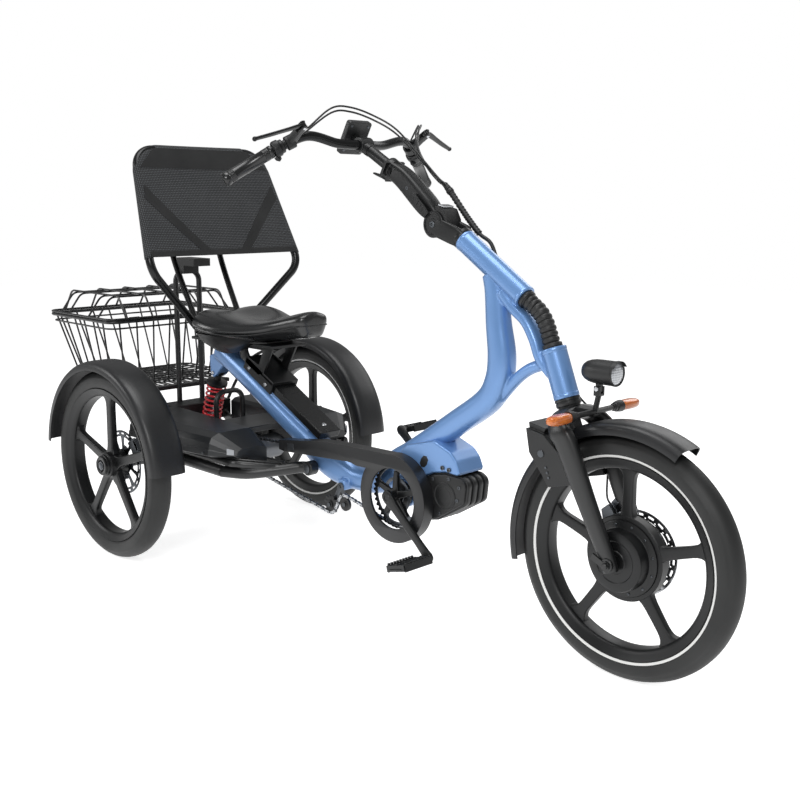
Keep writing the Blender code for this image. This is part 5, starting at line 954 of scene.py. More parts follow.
@dataclass
class Wheel:
    """A cast five-spoke wheel with its tyre, hub and brake disc."""

    side: str
    body: str
    centre: Vector
    outer: int
    disc_radius: float
    disc_side: float
    root: float
    tyre_radius: float = 0.2556
    tyre_half: float = 0.030
    seat_radius: float = 0.2035
    barrel_radius: float = 0.186
    spoke_half: float = 0.0118
    spokes: int = 5
    steps: int = 144

    def tyre_half_section(self) -> list[Pair]:
        """Points of the tyre's section from the bead to the crown: (radius, side)."""
        bead = [(0.2042, 0.0205), (0.2062, 0.0232), (0.2085, 0.0246), (0.2096, 0.0262), (0.2140, 0.0280)]
        wall = [(0.2200, 0.0294), (0.2262, 0.0300), (0.2325, 0.0296), (0.2372, 0.0284), (0.2378, 0.0276)]
        crown = [(0.2440, 0.0244), (0.2492, 0.0196), (0.2530, 0.0138), (0.2550, 0.0072)]
        return bead + wall + crown

    def band_side(self, radius: float) -> float:
        """How far out the side wall lies at a radius.

        Args:
            radius: The distance from the axle.

        Returns:
            The distance from the wheel's middle plane.
        """
        line = self.tyre_half_section()
        for (r0, d0), (r1, d1) in zip(line, line[1:]):
            if r0 <= radius <= r1:
                return d0 + (d1 - d0) * (radius - r0) / (r1 - r0)
        return self.tyre_half

    def tyre(self, bench: Bench) -> None:
        """The tyre, and the reflective band on one side wall.

        Args:
            bench: Where the pieces get their finish and body.
        """
        half = self.tyre_half_section() + [(self.tyre_radius, 0.0)]
        profile = [(r, -d) for r, d in half] + [(r, d) for r, d in reversed(half[:-1])]
        name = f"{self.side}_tyre" if self.side == "front" else f"rear_tyre_{self.side}"
        bench.solid(f"{name}_rubber", turned(profile, self.centre, Y, self.steps), self.body, TYRE_RUBBER,
                    replaces=[name], crease=50)
        if self.side == "right":
            return
        low, high = 0.2095, 0.2149
        ring = [(low, self.band_side(low) - 0.0002), (low + 0.0004, self.band_side(low) + 0.0007),
                (high - 0.0004, self.band_side(high) + 0.0007), (high, self.band_side(high) - 0.0002)]
        for sign in (-1, 1):
            bench.solid(f"{self.side}_wheel_band_{'left' if sign > 0 else 'right'}",
                        turned([(r, sign * d) for r, d in ring], self.centre, Y, self.steps), self.body,
                        REFLECTIVE)

    def rim_ring(self) -> Shape:
        """The deep barrel with a rolled flange on each side."""
        half = [(self.barrel_radius - 0.0006, 0.0), (self.barrel_radius - 0.0004, 0.0120),
                (self.barrel_radius + 0.0004, 0.0165), (self.barrel_radius + 0.0040, 0.0200),
                (0.1950, 0.0228),
                (0.2020, 0.0252), (0.2052, 0.0272), (0.2070, 0.0280), (0.2080, 0.0268), (0.2072, 0.0246),
                (self.seat_radius, 0.0236), (self.seat_radius - 0.001, 0.0)]
        profile = [(r, d) for r, d in half] + [(r, -d) for r, d in reversed(half[1:-1])]
        return turned(profile, self.centre, Y, self.steps)

    def spoke(self, angle: float) -> Shape:
        """One cast spoke, flared into the barrel and the hub.

        Args:
            angle: Where the spoke points.

        Returns:
            The spoke.
        """
        direction = ray(angle)
        across = direction.cross(Y).normalized()
        reach = self.barrel_radius
        stations = [(self.root - 0.004, 0.0200, 0.0105), (self.root + 0.004, 0.0160, 0.0105),
                    (self.root + 0.012, 0.0136, 0.0102), (self.root + 0.024, 0.0124, 0.0098),
                    ((self.root + reach) / 2, self.spoke_half, 0.0092), (reach - 0.030, 0.0116, 0.0090),
                    (reach - 0.020, 0.0124, 0.0092), (reach - 0.0125, 0.0144, 0.0096),
                    (reach - 0.007, 0.0180, 0.0102),
                    (reach - 0.003, 0.0228, 0.0110), (reach + 0.0015, 0.0300, 0.0118)]
        rings = []
        for radius, half, depth in stations:
            middle = self.centre + direction * radius
            rings.append([middle + across * a + Y * b for a, b in section(20, half, depth, 0.32)])
        return loft(rings)

    def rim(self, bench: Bench) -> None:
        """Rim, spokes, hub ring and valve.

        Args:
            bench: Where the pieces get their finish and body.
        """
        shapes = [self.rim_ring()]
        shapes += [self.spoke(math.pi / 2 + 2 * math.pi * k / self.spokes) for k in range(self.spokes)]
        if self.side == "front":
            node = "front_rim"
            low = self.root - 0.0037
            shapes.append(turned([(low, -0.0115), (low + 0.0075, -0.0115), (low + 0.0090, -0.0100),
                                  (low + 0.0090, 0.0100), (low + 0.0075, 0.0115), (low, 0.0115)],
                                 self.centre, Y, 96))
        else:
            node = f"rear_rim_{self.side}"
            shapes.append(self.rear_hub())
        valve = ray(math.radians(234))
        shapes.append(rod(self.centre + valve * (self.barrel_radius - 0.024),
                          self.centre + valve * (self.barrel_radius + 0.004), 0.0030, 12))
        shapes.append(rod(self.centre + valve * (self.barrel_radius - 0.030),
                          self.centre + valve * (self.barrel_radius - 0.022), 0.0042, 12))
        bench.solid(f"{node}_casting", shapes, self.body, BLACK_CAST, replaces=[node], crease=42)

    def rear_hub(self) -> Shape:
        """The rear hub: a stepped barrel whose outer end is a recessed cap."""
        outside = float(self.outer)
        profile = [(0.0098, -0.0300), (0.0300, -0.0300), (0.0330, -0.0285), (0.0340, -0.0255),
                   (0.0340, 0.0205),
                   (0.0332, 0.0225), (0.0290, 0.0232), (0.0282, 0.0240), (0.0282, 0.0300), (0.0262, 0.0306),
                   (0.0256, 0.0312), (0.0256, 0.0368), (0.0240, 0.0384), (0.0175, 0.0384), (0.0160, 0.0372),
                   (0.0160, 0.0312), (0.0098, 0.0300)]
        return turned([(r, d * outside) for r, d in profile], self.centre, Y, 48)

    def disc(self, bench: Bench) -> None:
        """The brake disc: a slotted band on five petal arms round a carrier.

        Args:
            bench: Where the pieces get their finish and body.
        """
        radius = self.disc_radius
        petals = []
        for k in range(self.spokes):
            middle = math.pi / 2 + 2 * math.pi * (k + 0.5) / self.spokes
            petals.append(slot_outline(0.036, radius - 0.0165, middle - 0.31, 0.21))
            petals.append(slot_outline(0.048, radius - 0.0165, middle + 0.31, 0.23))
        slots = [slot_outline(radius - 0.0105, radius - 0.0060, 2 * math.pi * k / 20, 0.085,
                              4) for k in range(20)]
        dots = [circle(0.0017, 10, ((radius - 0.0138) * math.cos(a), (radius - 0.0138) * math.sin(a)))
                for a in (2 * math.pi * (k + 0.5) / 20 for k in range(20))]
        bore = 0.0195 if self.side == "front" else 0.0125
        place = self.centre + Y * self.disc_side
        node = "front_disc" if self.side == "front" else f"rear_disc_{self.side}"
        finish = Finish(f"ground_disc_steel_{self.side}", "steel",
                        "A9ABAE" if self.side == "front" else "505357",
                        0.27, metallic=1.0, grain_mm=0.5, grain_depth_mm=0.01, pattern=Pattern.TURNED,
                        middle=tuple(self.centre))
        bench.solid(f"{node}_slotted", plate(circle(radius, 120), [circle(bore, 40), *petals, *slots, *dots],
                place, 0.0018, 0.00025), self.body, finish, replaces=[node])
        facing = 1 if self.disc_side > 0 else -1
        head = turned([(0, 0.0), (0.0036, 0.0), (0.0038, 0.0010), (0.0030, 0.0021), (0.0016, 0.0024),
                       (0.0012, 0.0012), (0, 0.0012)], Vector(), Z, 12)
        places = [Place(place + ray(2 * math.pi * k / 6) * 0.0285 + Y * facing * 0.0009, X, Y * facing)
                  for k in range(6)]
        bench.put(f"{node}_bolts", bench.repeat_mesh(f"{node}_bolts", head, places, DARK_STEEL), self.body,
                  DARK_STEEL)

    def build(self, bench: Bench) -> None:
        """Build every piece of the wheel.

        Args:
            bench: Where the pieces get their finish and body.
        """
        self.tyre(bench)
        self.rim(bench)
        self.disc(bench)


@dataclass
class HubMotor:
    """The drum motor in the front wheel."""

    centre: Vector
    body: str = "front_wheel"
    bolt_circle: float = 0.0718
    bolts: int = 12

    def build(self, bench: Bench) -> None:
        """Build the drum, its stepped cover and the cover's screws.

        Args:
            bench: Where the pieces get their finish and body.
        """
        profile = [(0.0066, -0.0450), (0.0150, -0.0450), (0.0162, -0.0460), (0.0235, -0.0460),
                   (0.0250, -0.0444),
                   (0.0420, -0.0436), (0.0440, -0.0450), (0.0575, -0.0450), (0.0612, -0.0436),
                   (0.0625, -0.0405),
                   (0.0628, -0.0210), (0.0642, -0.0180), (0.0660, -0.0168), (0.0762, -0.0158),
                   (0.0790, -0.0145),
                   (0.0800, -0.0120), (0.0800, 0.0300), (0.0786, 0.0330), (0.0740, 0.0345), (0.0310, 0.0362),
                   (0.0264, 0.0372), (0.0260, 0.0390), (0.0260, 0.0426), (0.0066, 0.0426)]
        bench.solid("front_hub_motor_casting", turned(profile, self.centre, Y, 120), self.body, BLACK_CAST,
                    replaces=["front_hub_motor"], crease=30)
        head = turned([(0, 0.0), (0.0028, 0.0), (0.0028, 0.0014), (0.0020, 0.0020), (0.0012, 0.0020),
                       (0.0010, 0.0010), (0, 0.0010)], Vector(), Z, 10)
        places = []
        for k in range(self.bolts):
            angle = 2 * math.pi * (k + 0.5) / self.bolts
            places.append(Place(self.centre + ray(angle) * self.bolt_circle - Y * 0.0160, ray(angle), -Y))
        mesh = bench.repeat_mesh("hub_motor_screws", head, places, DARK_STEEL)
        bench.put("hub_motor_screws", mesh, self.body, DARK_STEEL)


@dataclass
class Mudguard:
    """A moulded guard of rounded section over part of a wheel."""

    node: str
    body: str
    centre: Vector
    radius: float
    half: float
    first: float
    last: float
    sheet: float = 0.0025

    def profile(self) -> list[Pair]:
        """The sheet's section: outer face, then back along the inner face."""
        half, r = self.half, self.radius
        outer = [(r - 0.0240, half), (r - 0.0150, half * 0.992), (r - 0.0085, half * 0.940),
                 (r - 0.0038, half * 0.800),
                 (r - 0.0012, half * 0.600), (r - 0.0002, half * 0.300)]
        t = self.sheet
        inner = [(r - 0.0240, half - t), (r - 0.0150, half * 0.992 - t),
                 (r - 0.0085 - t * 0.6, half * 0.940 - t * 0.9),
                 (r - 0.0038 - t * 0.8, half * 0.800 - t * 0.5), (r - 0.0012 - t, half * 0.600 - t * 0.2),
                 (r - 0.0002 - t, half * 0.300)]
        lip = [(r - 0.0252, half), (r - 0.0258, half - t * 0.5), (r - 0.0252, half - t - 0.0004)]
        ring = [(a, -d) for a, d in outer] + [(a, d) for a, d in reversed(outer)]
        ring += [lip[0], lip[1], lip[2]] + [(a, d) for a, d in inner] + [(a, -d) for a, d in reversed(inner)]
        return ring + [(a, -d) for a, d in reversed(lip)]

    def build(self, bench: Bench) -> None:
        """Build the guard.

        Args:
            bench: Where the pieces get their finish and body.
        """
        shapes = [turned(self.profile(), self.centre, Y, 84, start=self.first, end=self.last)]
        if self.body == "fork":
            up = HEAD_UP
            top = Fork.crown_line()[len(Fork.crown_line()) // 2] - up * 0.0146
            foot = top - up * ((top - self.centre).length - self.radius + 0.0014)
            shapes.append(sweep([foot, top], (0.012, 0.009), 16, side=Y, square=0.4))
        bench.solid(f"{self.node}_moulding", shapes, self.body, GUARD_PLASTIC, replaces=[self.node],
                    crease=50)


# Fork and lamps


HEAD_TOP = (-0.2006, 0.661)
HEAD_LOW = (-0.161, 0.561)
STEER_TOP = (-0.452, 0.876)
STEER_LOW = (-0.278, 0.761)
HEAD_UP = unit(spot(HEAD_LOW), spot(HEAD_TOP))
HEAD_FORE = Vector((HEAD_UP.z, 0.0, -HEAD_UP.x))
STEER_UP = unit(spot(STEER_LOW), spot(STEER_TOP))
STEER_JOINT = Vector((0.623569, 0.0, 0.727161))


@dataclass
class Fork:
    """The fork, its steerer and what bolts to it."""

    blade: float = 0.0605
    crown: float = 0.070
    steerer: float = 0.0145
    bar_station: float = -0.091
    bar_height: float = 0.543

    @staticmethod
    def crown_line() -> Path:
        """The centre line, right blade to left blade over the crown."""
        low, high = 0.0605, 0.070
        half = [at(0.004, -low + 0.0005, AXLE_HEIGHT - 0.016), at(-0.006, -low, AXLE_HEIGHT + 0.010),
                at(-0.060, -(low * 0.7 + high * 0.3), 0.375), at(-0.106, -high, 0.480),
                at(-0.126, -high, 0.508),
                at(-0.141, -high * 0.68, 0.528), at(-0.146, 0, 0.534)]
        return half + list(reversed(mirror(half[:-1])))

    def blades(self, bench: Bench) -> None:
        """Blades, crown, race, steerer, axle and its nuts.

        Args:
            bench: Where the pieces get their finish and body.
        """
        sizes = [(0.0160, 0.0105), (0.0175, 0.0105), (0.0210, 0.0125), (0.0245, 0.0145), (0.0240, 0.0150),
                 (0.0220, 0.0145), (0.0220, 0.0140)]
        line = smooth(self.crown_line(), 8)
        arch = sweep(line, spread(sizes + list(reversed(sizes[:-1])), 8), 28, side=HEAD_FORE, square=0.75)
        top = spot(HEAD_LOW) - HEAD_UP * GAP
        race = turned([(0, -0.0310), (0.0185, -0.0310), (0.0195, -0.0290), (0.0225, -0.0200),
                       (0.0235, -0.0190),
                       (0.0238, -0.0165), (0.0262, -0.0155), (0.0268, -0.0140), (0.0268, -0.0085),
                       (0.0258, -0.0075),
                       (0.0258, -0.0060), (0.0270, -0.0050), (0.0270, -0.0008), (0.0262, 0.0), (0, 0)],
                      top, HEAD_UP, 64)
        steerer = rod(spot(HEAD_LOW) - HEAD_UP * 0.03, spot(HEAD_TOP) - HEAD_UP * 0.002, self.steerer, 32)
        reach = self.blade + 0.0135
        axle = at(0, 0, AXLE_HEIGHT)
        shapes = [arch, race, steerer, rod(axle - Y * reach, axle + Y * reach, 0.006, 24)]
        for sign in (-1, 1):
            end = self.blade + 0.004
            washer = [(0, -0.004), (0.0135, -0.004), (0.0140, -0.0034), (0.0140, 0.0020),
                      (0.0132, 0.0028), (0, 0.0028)]
            shapes.append(turned(washer, axle + Y * sign * (self.blade + 0.0105), Y * sign, 32))
            shapes.append(rod(axle + Y * sign * end, axle + Y * sign * (reach + 0.003), 0.0095, 6))
            shapes.append(turned([(0, 0), (0.0062, 0), (0.0062, 0.0035), (0.0048, 0.0050), (0, 0.0050)],
                                 axle + Y * sign * (reach + 0.003), Y * sign, 24))
            # The torque hook wraps the axle's flats below the blade's end.
            hook = beam(axle + Y * sign * (self.blade + 0.0125) + Vector((-0.004, 0, -0.002)),
                        axle + Y * sign * (self.blade + 0.0125) + Vector((-0.034, 0, 0.012)), 0.0022, 0.0065)
            shapes.append(hook)
        bench.solid("fork_blades", shapes, "fork", BLACK_POWDER, replaces=["fork"], crease=38)

    def lock(self, bench: Bench) -> None:
        """The frame lock's refined body and its key barrel.

        Args:
            bench: Where the pieces get their finish and body.
        """
        bench.refined("ring_lock", "fork", DARK_PLASTIC, bevel=0.0022, crease=25)
        for sign in (-1, 1):
            side = sign * (self.crown - 0.0008)
            shapes = [turned([(0, 0), (0.0075, 0), (0.0078, 0.0012), (0.0070, 0.0022), (0, 0.0022)],
                             at(-0.172, side, 0.452), Y * sign, 28)]
            for k in range(3):
                shapes.append(rod(at(-0.158 + 0.004 * k, side, 0.425 - 0.010 * k),
                                  at(-0.158 + 0.004 * k, side + sign * 0.0016, 0.425 - 0.010 * k), 0.0026,
                                  14))
            bench.solid(f"ring_lock_trim_{'left' if sign > 0 else 'right'}", shapes, "fork", DARK_STEEL,
                        bevel=0.0003)

    def lamps(self, bench: Bench) -> None:
        """Bracket, headlight and the two indicators.

        Args:
            bench: Where the pieces get their finish and body.
        """
        bench.refined("lamp_bracket", "fork", DARK_PLASTIC, bevel=0.0010)
        tilt = at(-0.083, 0, 0.5915)
        lamp = tilt + Vector((0.003, 0, 0.0345))
        shell = [(0, -0.0405), (0.0100, -0.0400), (0.0155, -0.0375), (0.0195, -0.0320), (0.0228, -0.0230),
                 (0.0246, -0.0120), (0.0252, 0.0), (0.0254, 0.0300), (0.0258, 0.0345), (0.0258, 0.0385),
                 (0.0250, 0.0400), (0.0232, 0.0400), (0.0226, 0.0385), (0.0226, 0.0340), (0, 0.0340)]
        body = turned(shell, lamp, X, 64)
        tongue = box(tilt + Vector((-0.006, -0.0042, -0.0060)), tilt + Vector((0.006, 0.0042, 0.016)))
        visor = turned([(0.0256, 0.0380), (0.0268, 0.0380), (0.0266, 0.0450), (0.0258, 0.0450)], lamp, X, 20,
                       start=math.radians(-60) , end=math.radians(60))
        bench.solid("headlight_shell", [body, tongue, visor], "lamp", DARK_PLASTIC,
                    replaces=["headlight"], crease=35)
        lens = turned([(0, 0.0345), (0.0222, 0.0345), (0.0222, 0.0378), (0.0200, 0.0394), (0.0120, 0.0406),
                       (0, 0.0410)], lamp, X, 64)
        bench.solid("headlight_lens", lens, "lamp", LAMP_LENS)
        pivot = rod(tilt - Y * 0.0115, tilt + Y * 0.0115, 0.0034, 16)
        bench.solid("lamp_pivot_screw", [pivot, turned([(0, 0), (0.0052, 0), (0.0052, 0.0028), (0, 0.0034)],
                tilt - Y * 0.0085, -Y, 6)], "fork", STEEL,
                bevel=0.0003)
        for name, sign in (("indicator_right", -1), ("indicator_left", 1)):
            start = at(self.bar_station, sign * 0.0768, self.bar_height)
            cup = turned([(0, -0.016), (0.0066, -0.016), (0.0072, -0.014), (0.0072, -0.011),
                          (0.0085, -0.0105),
                          (0.0090, -0.008), (0.0090, -0.004), (0.0104, -0.003), (0.0110, 0.0),
                          (0.0122, 0.0080),
                          (0.0126, 0.0150), (0.0112, 0.0150), (0, 0.0120)], start, Y * sign, 36)
            bench.solid(f"{name}_socket", cup, "fork", DARK_PLASTIC)
            line = [start + Y * sign * d for d in (0.006, 0.012, 0.026, 0.046, 0.060, 0.070, 0.0755, 0.0770)]
            sizes = [(0.0085, 0.0085), (0.0108, 0.0100), (0.0140, 0.0106), (0.0152, 0.0108), (0.0142, 0.0104),
                     (0.0118, 0.0092), (0.0084, 0.0070), (0.0040, 0.0036)]
            bench.solid(f"{name}_lens", sweep(line, sizes, 28, side=X, square=0.75), "fork", AMBER,
                        replaces=[name], levels=1)

    def caliper(self, bench: Bench) -> None:
        """The disc caliper behind the left blade.

        Args:
            bench: Where the pieces get their finish and body.
        """
        blade = at(-0.040, 0, 0.331)
        lean = unit(at(-0.010, 0, 0.270), at(-0.106, 0, 0.480))
        back = Vector((-lean.z, 0, lean.x))
        middle = blade + back * 0.031
        shapes = []
        for near, far in ((0.0330, 0.0410), (0.0460, 0.0600)):
            outline = [middle + lean * a + back * b for a, b in
                       ((-0.024, -0.010), (-0.018, 0.013), (0.0, 0.017), (0.020, 0.013), (0.026, -0.008),
                        (0.008, -0.014))]
            shapes.append(prism([p + Y * near for p in outline], Y * (far - near)))
        shapes.append(prism([middle + lean * a + back * b + Y * 0.040 for a, b in
                             ((-0.016, 0.0105), (0.0, 0.0160), (0.018, 0.0105), (0.010, 0.0065),
                              (-0.008, 0.0065))],
                            Y * 0.007))
        for a in (-0.030, 0.030):
            shapes.append(beam(blade + lean * a * 0.9 + back * 0.012 + Y * 0.055,
                               blade + lean * a * 0.7 + back * 0.024 + Y * 0.055, 0.005, 0.007))
        bench.solid("front_caliper", shapes, "fork", DARK_STEEL, bevel=0.0012, crease=30)
        cap = turned([(0, 0), (0.0085, 0), (0.0085, 0.003), (0.0070, 0.0042), (0, 0.0042)],
                     middle + Y * 0.0600, Y, 24)
        bench.solid("front_caliper_cap", cap, "fork", STEEL, bevel=0.0003)
        hose = smooth([middle + lean * 0.022 + Y * 0.0530, middle + lean * 0.045 + back * 0.004 + Y * 0.0560,
                       at(-0.100, 0.0660, 0.430), at(-0.128, 0.0720, 0.505), at(-0.160, 0.0500, 0.552),
                       at(-0.1800, 0.0290, 0.585), at(-0.1860, 0.0275, 0.600)], 6)
        bench.put("front_brake_hose", bench.wire_mesh("front_brake_hose", [(hose, False)], 0.0022,
                CABLE_VINYL), "fork",
                  CABLE_VINYL)

    def build(self, bench: Bench) -> None:
        """Build the fork and all that it carries.

        Args:
            bench: Where the pieces get their finish and body.
        """
        self.blades(bench)
        self.lock(bench)
        self.lamps(bench)
        self.caliper(bench)


# Main frame


BOOM_LINE = [(-1.372, 0.535), (-1.218, 0.4575), (-1.109, 0.3985), (-1.004, 0.346), (-0.940, 0.310),
             (-0.870, 0.286), (-0.785, 0.268), (-0.705, 0.282), (-0.645, 0.330), (-0.585, 0.376),
             (-0.470, 0.4575), (-0.375, 0.525), (-0.344, 0.575), (-0.338, 0.630), (-0.349, 0.700),
             (-0.357, 0.770), (-0.366, 0.806)]
BOOM_SIZES = [(0.030, 0.030), (0.030, 0.030), (0.030, 0.030), (0.031, 0.031), (0.033, 0.040), (0.034, 0.044),
              (0.033, 0.031), (0.034, 0.034), (0.034, 0.040), (0.032, 0.032), (0.0295, 0.0295),
              (0.0295, 0.0300), (0.0290, 0.0310), (0.0280, 0.0310), (0.0255, 0.0280), (0.0235, 0.0260),
              (0.0230, 0.0250)]
SPINE_LINE = [(-0.335, 0.770), (-0.302, 0.738), (-0.267, 0.712), (-0.243, 0.676), (-0.226, 0.636),
              (-0.200, 0.600)]
BRACE_LINE = [(-0.340, 0.535), (-0.315, 0.563), (-0.288, 0.590), (-0.258, 0.611), (-0.222, 0.625),
              (-0.190, 0.634)]
BOOM_FORWARD = unit(spot(BOOM_LINE[1]), spot(BOOM_LINE[3]))
BOOM_UP = Vector((-BOOM_FORWARD.z, 0.0, BOOM_FORWARD.x))
BB = (-0.6007, 0.273)
SWING_PIVOT = (-0.930, 0.276)
SHOCK_TOP = (-1.393, 0.467)
SHOCK_FOOT = (-1.446, 0.300)
HANGER = (-0.811, 0.250)


def boom_point(station: float) -> Vector:
    """The point of the rear boom's centre line at a station."""
    a = spot(BOOM_LINE[1])
    return a + BOOM_FORWARD * ((at(station, 0, 0).x - a.x) / BOOM_FORWARD.x)


def fused(name: str, shapes: Sequence[Shape], voxel: float, rounds: int,
          bores: Sequence[Shape] = ()) -> bpy.types.Mesh:
    """Weld shapes into one skin with soft joints, as filled and painted welds are.

    Args:
        name: The mesh's name.
        shapes: The shapes, overlapping where they are welded.
        voxel: The grid that the skin is drawn on.
        rounds: How many times the skin is eased.
        bores: Shapes that are cut out at the end.

    Returns:
        The skin.
    """
    holder = bpy.data.objects.new(name, mesh_of(name, shapes))
    bpy.context.scene.collection.objects.link(holder)
    skin = holder.modifiers.new("skin", "REMESH")
    skin.mode = "VOXEL"
    skin.voxel_size = voxel
    ease = holder.modifiers.new("ease", "SMOOTH")
    ease.factor = 0.5
    ease.iterations = rounds
    tools = []
    for k, bore in enumerate(bores):
        tool = bpy.data.objects.new(f"{name}_bore_{k}", mesh_of(f"{name}_bore_{k}", bore))
        bpy.context.scene.collection.objects.link(tool)
        cut = holder.modifiers.new(f"bore_{k}", "BOOLEAN")
        cut.operation = "DIFFERENCE"
        cut.solver = "EXACT"
        cut.object = tool
        tools.append(tool)
    result = bpy.data.meshes.new_from_object(holder.evaluated_get(bpy.context.evaluated_depsgraph_get()))
    result.name = name
    for piece in [holder, *tools]:
        bpy.data.objects.remove(piece)
    return result


def eased(outline: Sequence[Pair], radius: float, steps: int = 5) -> list[Pair]:
    """A closed flat outline with its corners rounded."""
    line = rounded([Vector((a, 0.0, b)) for a, b in outline], radius, steps, closed=True)
    return [(p.x, p.z) for p in line]


@dataclass
class MainFrame:
    """The painted frame, the motor unit under it and the seat rail on it."""

    head_radius: float = 0.027
    upper_radius: float = 0.025
    voxel: float = 0.0021
    rail_base: float = 0.046
    rail_height: float = 0.022
    rail_half: float = 0.035

    def tubes(self, bench: Bench) -> None:
        """Booms, spine, brace, head tube and upper tube, welded and filled.

        Args:
            bench: Where the pieces get their finish and body.
        """
        line, sizes = smooth([spot(p) for p in BOOM_LINE], 8), spread(BOOM_SIZES, 8)
        boom = sweep(line, sizes, 40, side=Y, square=0.82)
        spine_sizes = spread([(0.0225, 0.0125)] * 4 + [(0.0215, 0.0115), (0.0140, 0.0060)], 8)
        spine = sweep(smooth([spot(p) for p in SPINE_LINE], 8), spine_sizes, 32, side=Y, square=0.7)
        brace = sweep(smooth([spot(p) for p in BRACE_LINE], 8), 0.0130, 32, side=Y)
        head = rod(spot(HEAD_LOW), spot(HEAD_TOP), self.head_radius - 0.0012, 56)
        upper = rod(spot(STEER_LOW), spot(STEER_TOP), self.upper_radius - 0.0012, 56)
        bb = spot(BB)
        shell = rod(bb - Y * 0.036, bb + Y * 0.036, 0.034, 56)
        ridge = beam(boom_point(-1.215) + BOOM_UP * 0.034, boom_point(-0.985) + BOOM_UP * 0.034, 0.018,
                     0.0115)
        lug = slab([(-1.375, 0.530), (-1.330, 0.505), (-1.379, 0.461), (-1.393, 0.453), (-1.407, 0.461),
                    (-1.412, 0.515)], -0.0195, 0.0195)
        hanger = slab([(HANGER[0] - 0.014, 0.268), (HANGER[0] + 0.014, 0.268),
                       (HANGER[0] + 0.009, HANGER[1] - 0.010),
                       (HANGER[0] - 0.009, HANGER[1] - 0.010)], -0.0480, -0.010)
        eye, pivot = spot(SHOCK_TOP), spot(SWING_PIVOT)
        room = turned([(0, -0.0114), (0.0212, -0.0114), (0.0212, 0.0114), (0, 0.0114)], eye, Y, 32)
        mouth = slab([(SHOCK_TOP[0] - 0.030, SHOCK_TOP[1] - 0.030),
                      (SHOCK_TOP[0] + 0.030, SHOCK_TOP[1] - 0.030),
                      (SHOCK_TOP[0] + 0.020, SHOCK_TOP[1]), (SHOCK_TOP[0] - 0.020, SHOCK_TOP[1])],
                      -0.0114, 0.0114)
        bores = [rod(spot(HEAD_LOW) - HEAD_UP * 0.01, spot(HEAD_TOP) + HEAD_UP * 0.01, 0.0152, 40),
                 rod(spot(STEER_LOW) - STEER_UP * 0.01, spot(STEER_TOP) + STEER_UP * 0.01, 0.0108, 40),
                 rod(bb - Y * 0.1, bb + Y * 0.1, 0.0093, 32),
                 rod(pivot - Y * 0.1, pivot + Y * 0.1, 0.0068, 24),
                 room, mouth]
        mesh = fused("frame_tubes", [boom, spine, brace, head, upper, shell, ridge, lug, hanger],
                     self.voxel, 9, bores)
        bench.put("frame_tubes", mesh, "frame", BLUE_ENAMEL, replaces=["main_frame"], crease=55)
        rings = []
        for start, axis, radius, length in ((spot(HEAD_LOW), HEAD_UP, self.head_radius, 0.010),
                                            (spot(HEAD_TOP) - HEAD_UP * 0.010, HEAD_UP, self.head_radius,
                                             0.010),
                                            (spot(STEER_LOW), STEER_UP, self.upper_radius, 0.008),
                                            (spot(STEER_TOP) - STEER_UP * 0.008, STEER_UP,
                                             self.upper_radius, 0.008)):
            rings.append(turned([(radius - 0.006, 0.0001), (radius - 0.0004, 0.0001),
                                 (radius + 0.0006, 0.0010),
                                 (radius + 0.0006, length - 0.0010), (radius - 0.0002, length - 0.0001),
                                 (radius - 0.006, length - 0.0001)], start, axis, 64))
        for low, high, axis, radius in ((spot(HEAD_LOW), spot(HEAD_TOP), HEAD_UP, self.head_radius),
                                        (spot(STEER_LOW), spot(STEER_TOP), STEER_UP, self.upper_radius)):
            length = (high - low).length
            rings.append(turned([(radius - 0.004, 0.0002), (radius, 0.0004), (radius, length - 0.0004),
                                 (radius - 0.004, length - 0.0002)], low, axis, 96))
        bench.solid("tube_sleeves", rings, "frame", BLUE_ENAMEL, crease=50)

    def cradle(self, bench: Bench) -> None:
        """The folded plate housing over the motor, with its bright front bevel and side ports.

        Args:
            bench: Where the pieces get their finish and body.
        """
        low = [(-0.628, 0.300), (-0.560, 0.315), (-0.500, 0.343), (-0.462, 0.351), (-0.424, 0.349)]
        high = [(-0.416, 0.356), (-0.428, 0.383), (-0.446, 0.401), (-0.500, 0.420), (-0.590, 0.395),
                (-0.640, 0.340)]
        shell = slab(low + high, -0.0438, 0.0438)
        bench.solid("motor_cradle", shell, "frame", BLUE_ENAMEL, bevel=0.0095, segments=1, crease=20)
        parts = []
        for sign in (-1, 1):
            face = sign * 0.0438
            port = [(-0.536, 0.352), (-0.526, 0.352), (-0.518, 0.360), (-0.514, 0.372), (-0.519, 0.380),
                    (-0.529, 0.380),
                    (-0.537, 0.371), (-0.541, 0.360)]
            near, far = sorted((face - sign * 0.001, face + sign * 0.0004))
            parts.append(slab(port, near, far))
        bench.solid("cradle_ports", parts, "frame", BLACK_POWDER, bevel=0.0002)
        bolts = []
        head = turned([(0, 0), (0.0050, 0), (0.0054, 0.0008), (0.0054, 0.0032), (0.0046, 0.0040),
                       (0.0028, 0.0040),
                       (0.0024, 0.0018), (0, 0.0018)], Vector(), Z, 20)
        for sign in (-1, 1):
            for station, height in ((-0.468, 0.3620), (-0.448, 0.3605), (-0.560, 0.3260)):
                bolts.append(Place(at(station, sign * 0.0436, height), X, Y * sign))
        bench.put("cradle_bolts", bench.repeat_mesh("cradle_bolts", head, bolts, DARK_STEEL), "frame",
                  DARK_STEEL)

